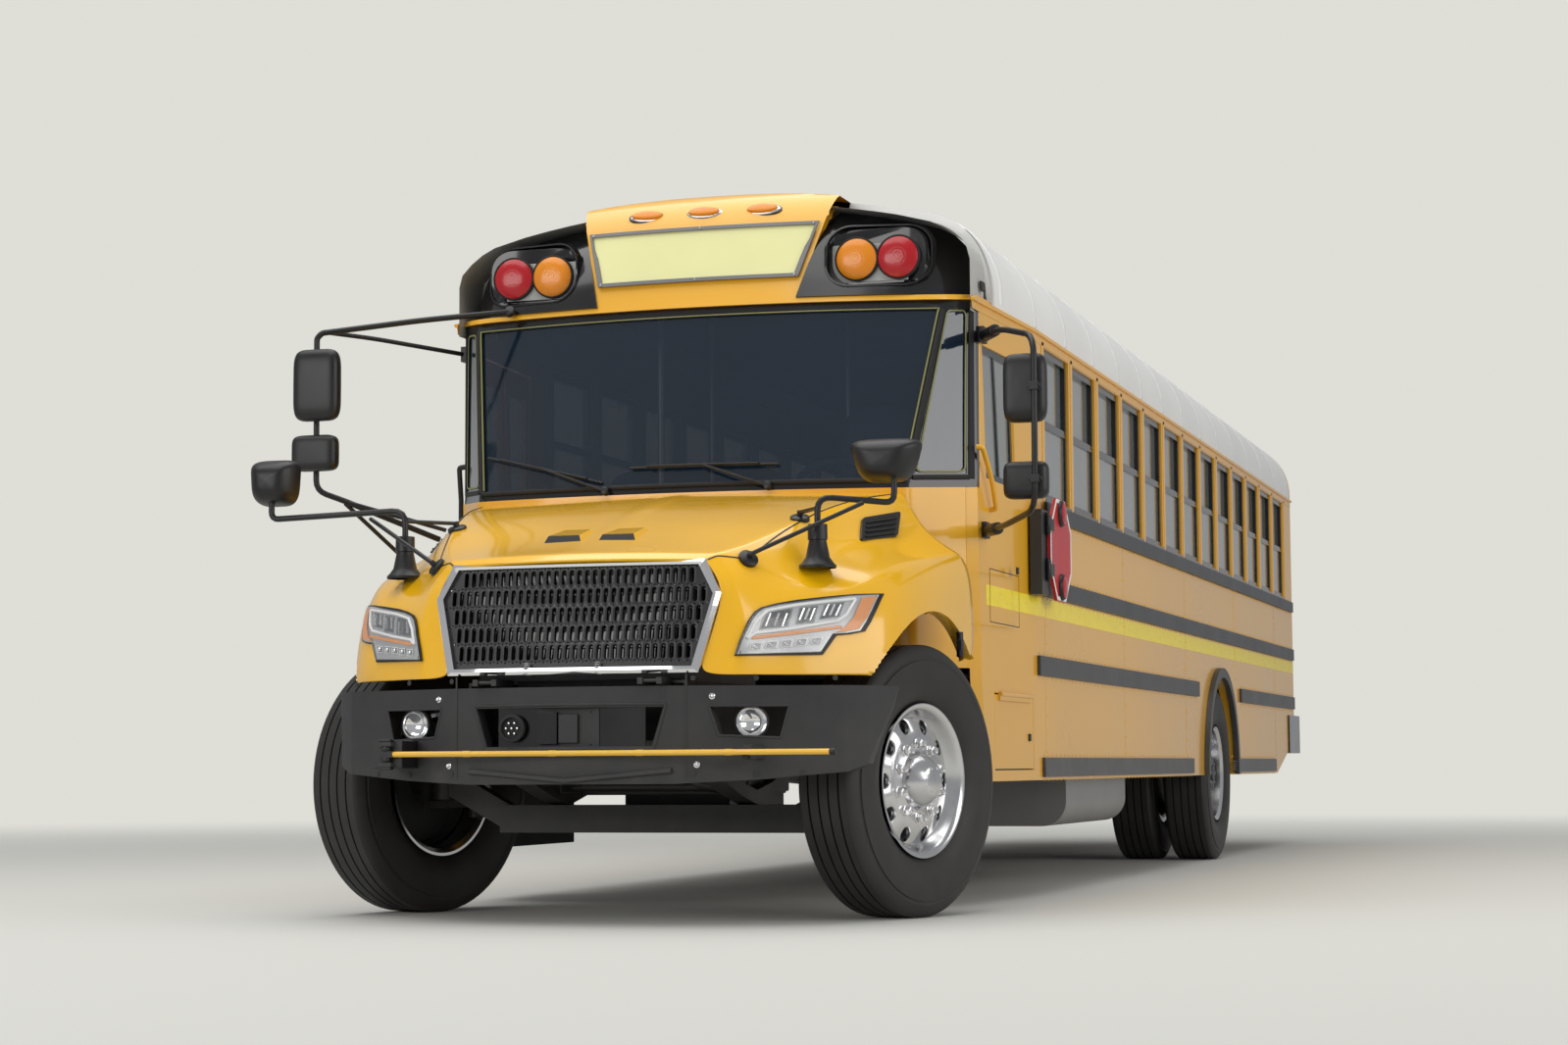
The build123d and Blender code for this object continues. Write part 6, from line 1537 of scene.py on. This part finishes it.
# ---------------------------------------------------------------- rails, stripes, seams, rivets
RAILS = ((528, 614, ((1755, 5907), (7458, 9520))), (975, 1063, ((1675, 6149), (7871, 10600))),
         (1331, 1413, ((1668, 10600),)), (1685, 1759, ((1862, 10600),)))
ribs = Kit()
studs = Kit()
for side in (1, -1):
    for z0, z1, runs in RAILS:
        for y0, y1 in runs:
            for part in (0.22, 0.41, 0.59, 0.78):
                z = z0 + (z1 - z0) * part
                ribs.prism([P(side * (HALF + 11), y0 + 14, z - 6), P(side * (HALF + 16.5), y0 + 22, z - 3),
                            P(side * (HALF + 16.5), y0 + 22, z + 3), P(side * (HALF + 11), y0 + 14, z + 6)],
                           (0, (y1 - y0 - 28) / 1000, 0))
            count = int((y1 - y0) / 90)
            for k in range(count):
                y = y0 + 40 + (y1 - y0 - 80) * k / max(1, count - 1)
                for z in (z0 - 12, z1 + 12):
                    studs.lathe([(0.0, 0.0065), (0.0022, 0.0052), (0.0034, 0.0)], P(side * HALF, y, z),
                                (side, 0, 0), 8)
ribs.make("rail_ribs", [RAIL], "chassis", "rail_black", smooth=30)
for side in (1, -1):
    for k in range(14):
        y = FIRST + k * PITCH
        if k % 3:
            continue
        for z in range(640, 1680, 80):
            if any(z0 - 20 < z < z1 + 20 for z0, z1, _ in RAILS):
                continue
            if math.hypot(y - REAR_HUB, z - HUB_Z) < 760:
                continue
            for dy in (-14, 14):
                studs.lathe([(0.0, 0.0060), (0.0020, 0.0048), (0.0030, 0.0)], P(side * HALF, y + dy, z),
                            (side, 0, 0), 8)
    for k in range(150):
        y = 700 + k * 66
        studs.lathe([(0.0, 0.0060), (0.0020, 0.0048), (0.0030, 0.0)], P(side * HALF, y, 2484), (side, 0, 0),
                    8)
studs.make("rivets", [YELLOW], "chassis", "body_yellow", smooth=60)

strip = Kit()
for side in (1, -1):
    front = 690 if side > 0 else 1780
    bays = [FIRST + k * PITCH for k in (0, 3, 6, 9, 12)]
    joins = [front] + [y for y in bays if y > front + 100] + [10640]
    for y0, y1 in zip(joins[:-1], joins[1:]):
        y0, y1 = y0 + 7, y1 - 7
        strip.box(sorted((side * (HALF + 0.2), side * (HALF + 1.2))), (y0, y1), (1238, 1322))
strip.box((-1200, -352), (REAR + 0.2, REAR + 1.4), (1070, 1150))
strip.box((352, 1200), (REAR + 0.2, REAR + 1.4), (1070, 1150))
strip.make("reflective_stripes", [TAPE], "chassis", "body_yellow")

seam = Kit()
for side in (1, -1):
    seam.box(sorted((side * (HALF - 4), side * (HALF + 15))), (690, 10640), (2500, 2514))
    for k in range(14):
        y = FIRST + k * PITCH
        low = 640 if math.hypot(y - REAR_HUB, 640 - HUB_Z) > 760 else 1420
        if k % 3 == 0:
            seam.box(sorted((side * HALF, side * (HALF + 0.8))), (y - 20, y + 20), (low, 1684))
        seam.box(sorted((side * HALF, side * (HALF + 3))), (y - 22, y + 22), (1762, 2482))
    seam.box(sorted((side * HALF, side * (HALF + 3))), (690, 10640), (2466, 2500))
seam.make("panel_seams", [YELLOW], "chassis", "body_yellow", bevel=1)

bows = Kit()


def roof_loop(out):
    """Cross-section of the roof from one side to the other, moved out by out mm."""
    loop = []
    for k in range(8):
        a = math.radians(90 * k / 8 * 0.86)
        loop.append((839 + (380 + out) * math.cos(a), 2561.4 + (380 + out) * math.sin(a)))
    loop[0] = (HALF + out, 2530)
    end = math.asin(839 / 4000)
    for k in range(17):
        a = end - 2 * end * k / 16
        loop.append(((4000 + out) * math.sin(a), -960 + (4000 + out) * math.cos(a)))
    return loop + [(-x, z) for x, z in reversed(loop[:8])]


for k in range(15):
    y = 1050 + k * PITCH * 1.04
    if y > 10560:
        break
    low_loop, high_loop = roof_loop(-2), roof_loop(2.2)
    n = len(low_loop)
    verts = []
    for yy, loop in ((y - 26, low_loop), (y - 21, high_loop), (y + 21, high_loop), (y + 26, low_loop)):
        verts += [P(x, yy, z) for x, z in loop]
    bows.add(verts, bands(3, n, closed=False))
bows.make("roof_bows", [WHITE], "chassis", "roof_white", smooth=50)

grip = Kit()
grip.tube([P(1221, 586, 1877), P(1248, 588, 1872), P(1252, 650, 1796), P(1252, 730, 1704), P(1248, 786, 1638),
           P(1221, 788, 1633)], 11)
grip.mat = 1
grip.tube([P(-1221, 640, 1880), P(-1252, 640, 1876), P(-1252, 640, 1500), P(-1221, 640, 1496)], 12)
grip.make("grab_handles", [YELLOW, GLOSS_BLACK], "chassis", "body_yellow", smooth=60)

hatch = Kit()
loop = [(763, 1170), (1312, 1170), (1312, 1389), (763, 1389)]
hatch.prism([P(HALF, y, z) for y, z in loop], (0.0009, 0, 0))
hatch.make("access_panel", [YELLOW], "chassis", "body_yellow")
edge = Kit()
for (y0, z0), (y1, z1) in zip(loop, loop[1:] + loop[:1]):
    edge.box((HALF, HALF + 1.1), (min(y0, y1) - 2, max(y0, y1) + 2), (min(z0, z1) - 2, max(z0, z1) + 2))
edge.box((HALF, HALF + 7), (1262, 1296), (1396, 1426))
edge.make("access_panel_edge", [SHADE], "chassis", "black_plastic")
bits = Kit()
bits.box((HALF, HALF + 8), (1478, 1512), (684, 716))
bits.make("battery_latches", [GLOSS_BLACK], "battery_door", "black_plastic", bevel=2)
vent = Kit()
for side in (1, -1):
    vent.box(sorted((side * (HALF - 6), side * (HALF + 8))), (846, 902), (2560, 2604))
vent.make("roof_end_vents", [SHADE], "chassis", "black_plastic", bevel=4)

# ---------------------------------------------------------------- stop arm
def octagon(apothem):
    """Corners of the stop arm's plate, as station and z."""
    r = apothem / math.cos(math.pi / 8)
    return [(1862 + r * math.cos(math.radians(22.5 + 45 * k)),
             1537 + r * math.sin(math.radians(22.5 + 45 * k)))
            for k in range(8)]


stop = Kit()
for face in (1, -1):
    x = 1287 + face * 7
    outer, inner = octagon(226), octagon(209)
    verts = []
    for loop, lift in ((outer, 0.0), (outer, 1.0), (inner, 1.0), (inner, 0.0)):
        verts += [P(x + face * lift, y, z) for y, z in loop]
    stop.mat = 0
    stop.add(verts, bands(3, 8))
    for z in (1537 - 165, 1537 + 165):
        at = P(1287 + face * 7, 1862, z)
        stop.mat = 1
        stop.lathe([(0.0, 0.060), (0.006, 0.060), (0.012, 0.056), (0.017, 0.052)], at, (face, 0, 0), 32)
        stop.mat = 2
        stop.lathe([(0.014, 0.053), (0.019, 0.046), (0.0235, 0.028), (0.025, 0.0)], at, (face, 0, 0), 32)
stop.mat = 1
for z in (1437, 1637):
    stop.box((1276, 1298), (1612, 1700), (z - 26, z + 26))
    stop.pill(P(1287, 1618, z - 42), P(1287, 1618, z + 42), 13)
stop.make("stop_arm_trim", [WHITE_TRIM, BLACK, RED], "stop_arm", "stop_red", smooth=50)
box = Kit()
box.box((HALF, 1272), (1545, 1680), (1325, 1700))
for z in (1437, 1637):
    box.box((1268, 1296), (1594, 1608), (z - 52, z + 52))
box.make("stop_arm_box", [BLACK], "chassis", "black_plastic", bevel=8)

# ---------------------------------------------------------------- seats and cabin
def cushion(kit, lo, hi, crown=0.10, power=5.0, rows=10, cols=28, axis=2):
    """Crowned, soft-cornered pad in a box, with a piped seam at its middle."""
    a, b = P(*lo), P(*hi)
    centre = (a + b) / 2
    w, d, h = (b.x - a.x) / 2, (b.y - a.y) / 2, (b.z - a.z) / 2
    verts = []
    for i in range(rows + 1):
        t = -math.pi / 2 + math.pi * i / rows
        up_k = bulge(math.sin(t), 0.55)
        out_k = abs(math.cos(t)) ** 0.32
        for j in range(cols):
            s = 2 * math.pi * j / cols
            cx = bulge(math.cos(s), 2 / power)
            cy = bulge(math.sin(s), 2 / power)
            r = max(abs(cx), abs(cy)) * out_k
            swell = 1 - crown * r * r
            if axis == 2:
                verts.append(centre + Vector((w * cx * out_k, d * cy * out_k, h * up_k * swell)))
            else:
                verts.append(centre + Vector((w * cx * out_k, d * up_k * swell, h * cy * out_k)))
    kit.add(verts, bands(rows, cols))
    ring = []
    for j in range(cols + 1):
        s = 2 * math.pi * j / cols
        cx = bulge(math.cos(s), 2 / power) * 0.985
        cy = bulge(math.sin(s), 2 / power) * 0.985
        for_x = (w * cx, d * cy, h * 0.18) if axis == 2 else (w * cx, -d * 0.35, h * cy)
        ring.append(centre + Vector(for_x))
    kit.tube(ring, 5, 6, cap=False)


pads = Kit()
for side in (1, -1):
    for row in range(12):
        y = 2150 + row * 690
        x0, x1 = sorted((side * 185, side * 1160))
        cushion(pads, (x0 + 6, y + 4, 1364), (x1 - 6, y + 392, 1480), axis=2)
        cushion(pads, (x0 + 6, y + 386, 1372), (x1 - 6, y + 480, 2058), crown=0.22, axis=1)
cushion(pads, (314, 1184, 1404), (806, 1640, 1520), axis=2)
cushion(pads, (314, 1636, 1404), (806, 1756, 2196), crown=0.2, axis=1)
seats = pads.make("seat_cushions", [VINYL], "chassis", "seat_blue", ["seat_pads"], smooth=60)

cabin = Kit()
for x, y in ((-360, 1180), (330, 1800), (-360, 1900)):
    cabin.tube([P(x, y, 978), P(x, y, 2900)], 16)
cabin.tube([P(-360, 1180, 1740), P(-900, 1180, 1740)], 16)
cabin.tube([P(-360, 1900, 1740), P(-1150, 1900, 1740)], 16)
cabin.tube([P(330, 1800, 1740), P(1150, 1800, 1740)], 16)
cabin.mat = 1
cabin.box((-1150, -400), (1906, 1926), (1100, 1740))
cabin.box((340, 1150), (1806, 1822), (1100, 1740))
cabin.mat = 2
cabin.box((-900, 900), (700, 716), (2600, 2760))
for side in (1, -1):
    for k in range(13):
        y = FIRST + k * PITCH
        cabin.box(sorted((side * (HALF - 66), side * (HALF - 52))), (y - 40, y + 40), (1760, 2480))
cabin.mat = 1
cabin.tube([P(200, 905, 1720), P(220, 905, 1722)], 4)
cabin.make("cabin_fittings", [STEEL, DASH, CABIN], "chassis", "seat_steel", bevel=2)
wheel = Kit()
hub = P(560, 936, 1728)
axis = Vector((0, 0.55, 0.83)).normalized()
side_v = Vector((1, 0, 0))
up_v = axis.cross(side_v)
ring = []
for k in range(41):
    a = 2 * math.pi * k / 40
    ring.append(hub + side_v * (0.216 * math.cos(a)) + up_v * (0.216 * math.sin(a)))
wheel.tube(ring, 14, 10, cap=False)
wheel.lathe([(-0.02, 0.075), (0.015, 0.070), (0.03, 0.040), (0.032, 0.0)], hub, axis, 24)
wheel.make("steering_ring", [RUBBER], "chassis", "black_plastic", smooth=60)
ceiling = Kit()
loop = [(x, z - 62) for x, z in roof_loop(0)]
verts = []
for y in (760, 10560):
    verts += [P(max(-1150, min(1150, x)), y, z) for x, z in loop]
n = len(loop)
ceiling.add(verts, bands(1, n, closed=False))
ceiling.make("headliner", [CABIN], "chassis", "roof_white", smooth=50)

# ---------------------------------------------------------------- swept-back front corners
# The body draws in toward its front corners, which stand behind the bowed windshield's own edge.
CORNER = (1156.0, 843.0)
TAPER_FROM = 1680.0


def face_at(x, z):
    """Station of the body's front, on the windshield or on the cap above it."""
    return cap_face(x, z) if z > 2511 else bowed(x, max(z, 1735))


def swept(p):
    """Moves a row-frame point of the body's front end onto its swept-back corner."""
    x, y, z = p.x * 1000, p.y * 1000 - DATUM, p.z * 1000
    ax = abs(x)
    post = 943 + 104 * min(max((z - 1752) / 724, 0), 1)
    w = min(max((z - 2440) / 120, 0), 1)
    w = w * w * (3 - 2 * w)
    start = post + (900 - post) * w
    if ax <= start or y >= TAPER_FROM:
        return p
    edge = min(ax, HALF)
    flat_x, flat_y = edge, face_at(edge, z)
    if ax > post:
        u = (edge - post) / (HALF - post)
        base = face_at(post, z)
        flat_x = post + u * (CORNER[0] - post)
        flat_y = base + u * (CORNER[1] - base)
    t = min(max((edge - 900) / (HALF - 900), 0), 1)
    y0, y1 = face_at(900, z), face_at(1080, z)
    curve_x = (1 - t) ** 2 * 900 + 2 * t * (1 - t) * 1080 + t * t * CORNER[0]
    curve_y = (1 - t) ** 2 * y0 + 2 * t * (1 - t) * (y1 + 6) + t * t * CORNER[1]
    if edge < 900:
        curve_x, curve_y = flat_x, flat_y
    fx = flat_x + (curve_x - flat_x) * w + ax - edge
    fy = flat_y + (curve_y - flat_y) * w
    s = face_at(edge, z)
    v = (y - s) / (TAPER_FROM - s)
    if v >= 0:
        nx, ny = fx + (ax - fx) * v, fy + (TAPER_FROM - fy) * v
    else:
        nx, ny = fx, fy + (y - s)
    nz = 584 + (z - 584) * (1 + (ny - y) / 12100)
    return P(math.copysign(nx, x), ny, nz)


def sweep(mesh):
    """Cuts a mesh where the corner bends, then moves its points onto the swept corner."""
    bm = bmesh.new()
    bm.from_mesh(mesh)
    planes = [((0, P(0, y, 0).y, 0), (0, 1, 0))
              for y in (560, 620, 700, 780, 860, 940, 1100, 1300, 1500, 1680)]
    planes += [((side * x / 1000, 0, 0), (1, 0, 0))
               for x in (900, 943, 980, 1015, 1047, 1080, 1120, 1160, 1200)
               for side in (1, -1)]
    planes += [((0, 0, z / 1000), (0, 0, 1)) for z in (1735, 2100, 2440, 2511, 2560, 2700)]
    hi = P(0, TAPER_FROM, 0).y
    for co, no in planes:
        near = [f for f in bm.faces if min(v.co.y for v in f.verts) < hi]
        geom = near + list({e for f in near for e in f.edges}) + list({v for f in near for v in f.verts})
        bmesh.ops.bisect_plane(bm, geom=geom, dist=0.00001, plane_co=co, plane_no=no)
    for v in bm.verts:
        v.co = swept(v.co)
    bm.to_mesh(mesh)
    bm.free()


cap_mesh = nodes["front_cap"].data.copy()
cap_half = bpy.data.objects.new("cap", cap_mesh)
scene.collection.objects.link(cap_half)
for loop in cap_knives:
    tool = Kit()
    tool.prism(loop, (0, 0.402, 0))
    tool_mesh = facing_out(tool, "tool")
    tool_obj = bpy.data.objects.new("tool", tool_mesh)
    scene.collection.objects.link(tool_obj)
    mod = cap_half.modifiers.new("pocket", "BOOLEAN")
    mod.operation = "DIFFERENCE"
    mod.object = tool_obj
    mod.solver = "EXACT"
cap_cut = baked(cap_half)
for o in [o for o in scene.objects if o.name == "cap" or o.name.startswith("tool")]:
    bpy.data.objects.remove(o)
bm = bmesh.new()
bm.from_mesh(cap_cut)
for co, no in (((0, 0, 2.532), (0, 0, 1)), ((0.4495, 0, 2.56), (380, 0, -104)),
               ((-0.4495, 0, 2.56), (-380, 0, -104))):
    bmesh.ops.bisect_plane(bm, geom=bm.verts[:] + bm.edges[:] + bm.faces[:], dist=0.00001, plane_co=co,
                           plane_no=Vector(no).normalized())
covered = []
for f in bm.faces:
    c = f.calc_center_median() * 1000
    if c.z > 2533 and abs(c.x) > 449 + (c.z - 2560) * 104 / 380 + 3:
        covered.append(f)
bmesh.ops.delete(bm, geom=covered, context="FACES")
bm.to_mesh(cap_cut)
bm.free()
SWEPT_NODES = (
    ("side_wall_left", "chassis", "body_yellow", YELLOW),
    ("side_wall_right", "chassis", "body_yellow", YELLOW),
    ("cowl", "chassis", "body_yellow", YELLOW), ("front_cap", "chassis", "body_yellow", YELLOW),
    ("roof", "chassis", "roof_white", WHITE), ("windshield_frame", "chassis", "frame_trim", GLOSS_BLACK),
    ("window_frames", "chassis", "frame_trim", GLOSS_BLACK),
    ("floor_panel", "chassis", "floor_black", RUBBER),
    ("dashboard", "chassis", "black_plastic", DASH), ("battery_door", "battery_door", "body_yellow", YELLOW),
    ("entrance_door_front", "entrance_door_front", "body_yellow", YELLOW),
    ("entrance_door_rear", "entrance_door_rear", "body_yellow", YELLOW),
    ("entrance_glass_front", "entrance_door_front", "glass", GLASS_SIDE),
    ("entrance_glass_rear", "entrance_door_rear", "glass", GLASS_SIDE),
    ("stepwell", "chassis", "floor_black", RUBBER),
)
for name, body, slot, mat in SWEPT_NODES:
    mesh = cap_cut if name == "front_cap" else nodes[name].data.copy()
    mesh.materials.clear()
    mesh.materials.append(mat)
    sweep(mesh)
    dress(mesh, name + "_swept", body, [name], smooth=30)
for name in ("lamp_housing_left", "lamp_housing_right", "lamp_recess_left", "lamp_recess_right",
             "windshield_panes",
             "side_panes", "window_sashes", "glass_gaskets", "glass_seals", "rivets", "reflective_stripes",
             "panel_seams", "grab_handles", "access_panel", "battery_latches", "roof_end_vents",
             "stop_arm_box"):
    sweep(bpy.data.objects[name].data)

# ---------------------------------------------------------------- camera, lights, stage
CAMERA_AT = (3.903, -15.900, 0.584)
LENS, SENSOR = 66.67, 36
YAW, PITCH_UP, ROLL = math.radians(17.02), math.radians(4.79), math.radians(-0.32)
look = Vector((-math.sin(YAW) * math.cos(PITCH_UP), math.cos(YAW) * math.cos(PITCH_UP), math.sin(PITCH_UP)))
right = Vector((math.cos(YAW), math.sin(YAW), 0))
up = right.cross(look)
right, up = (right * math.cos(ROLL) + up * math.sin(ROLL), up * math.cos(ROLL) - right * math.sin(ROLL))
camera = bpy.data.objects.new("camera", bpy.data.cameras.new("camera"))
scene.collection.objects.link(camera)
camera.matrix_world = Matrix((
    (right.x, up.x, -look.x, CAMERA_AT[0]), (right.y, up.y, -look.y, CAMERA_AT[1]),
    (right.z, up.z, -look.z, CAMERA_AT[2]), (0, 0, 0, 1),
))
camera.data.lens = LENS
camera.data.sensor_width = SENSOR
camera.data.clip_end = 200
scene.camera = camera

# The floor fades out with distance, so that the backdrop behind has no horizon.
paper = bpy.data.materials.new("floor_paper")
paper.use_nodes = True
nt = paper.node_tree
nt.nodes.clear()
out = nt.nodes.new("ShaderNodeOutputMaterial")
blend = nt.nodes.new("ShaderNodeMixShader")
matte = nt.nodes.new("ShaderNodeBsdfPrincipled")
matte.inputs["Roughness"].default_value = 0.85
noise = nt.nodes.new("ShaderNodeTexNoise")
noise.inputs["Scale"].default_value = 0.3
ramp = nt.nodes.new("ShaderNodeValToRGB")
ramp.color_ramp.elements[0].color = (0.58, 0.58, 0.545, 1)
ramp.color_ramp.elements[1].color = (0.62, 0.62, 0.585, 1)
nt.links.new(noise.outputs["Fac"], ramp.inputs[0])
nt.links.new(ramp.outputs[0], matte.inputs["Base Color"])
clear = nt.nodes.new("ShaderNodeBsdfTransparent")
place = nt.nodes.new("ShaderNodeTexCoord")
centre = nt.nodes.new("ShaderNodeVectorMath")
centre.operation = "DISTANCE"
centre.inputs[1].default_value = (0.5, -1.0, 0)
fade = nt.nodes.new("ShaderNodeMapRange")
fade.interpolation_type = "SMOOTHSTEP"
fade.inputs["From Min"].default_value = 5.0
fade.inputs["From Max"].default_value = 20.0
nt.links.new(place.outputs["Object"], centre.inputs[0])
nt.links.new(centre.outputs["Value"], fade.inputs["Value"])
nt.links.new(fade.outputs["Result"], blend.inputs[0])
nt.links.new(matte.outputs[0], blend.inputs[1])
nt.links.new(clear.outputs[0], blend.inputs[2])
nt.links.new(blend.outputs[0], out.inputs[0])
floor_mesh = bpy.data.meshes.new("floor")
floor_mesh.from_pydata([(-50, -50, 0), (50, -50, 0), (50, 50, 0), (-50, 50, 0)], [], [(0, 1, 2, 3)])
floor_mesh.materials.append(paper)
floor = bpy.data.objects.new("floor", floor_mesh)
scene.collection.objects.link(floor)
floor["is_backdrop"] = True

world = bpy.data.worlds.new("world")
scene.world = world
world.use_nodes = True
nt = world.node_tree
nt.nodes.clear()
out = nt.nodes.new("ShaderNodeOutputWorld")
soft = nt.nodes.new("ShaderNodeBackground")
soft.inputs[0].default_value = (0.96, 0.975, 1.0, 1)
soft.inputs[1].default_value = 0.40
seen = nt.nodes.new("ShaderNodeBackground")
seen.inputs[0].default_value = (0.735, 0.735, 0.685, 1)
seen.inputs[1].default_value = 1.0
path = nt.nodes.new("ShaderNodeLightPath")
straight = nt.nodes.new("ShaderNodeMath")
straight.operation = "MAXIMUM"
nt.links.new(path.outputs["Is Camera Ray"], straight.inputs[0])
nt.links.new(path.outputs["Is Transmission Ray"], straight.inputs[1])
mixer = nt.nodes.new("ShaderNodeMixShader")
nt.links.new(straight.outputs[0], mixer.inputs[0])
nt.links.new(soft.outputs[0], mixer.inputs[1])
nt.links.new(seen.outputs[0], mixer.inputs[2])
nt.links.new(mixer.outputs[0], out.inputs[0])


def lamp(name, at, aim, size, power, color=(1, 1, 1)):
    """Soft rectangular lamp at a place, turned to look at a point."""
    data = bpy.data.lights.new(name, "AREA")
    data.shape = "RECTANGLE"
    data.size = size[0]
    data.size_y = size[1]
    data.energy = power
    data.color = color
    obj = bpy.data.objects.new(name, data)
    scene.collection.objects.link(obj)
    obj.location = at
    obj.rotation_euler = (Vector(aim) - Vector(at)).to_track_quat("-Z", "Y").to_euler()


lamp("overhead", (-1.0, -4, 12), (0, -2, 1), (12, 16), 1400, (1.0, 0.99, 0.97))
lamp("front", (-5.5, -17, 4.2), (0, -5, 1.2), (9, 4), 500, (1.0, 0.99, 0.97))
lamp("side", (13, -6, 4.5), (1, 0, 1.2), (14, 5), 620, (1.0, 0.98, 0.95))

scene.view_settings.view_transform = "Standard"
low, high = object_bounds()
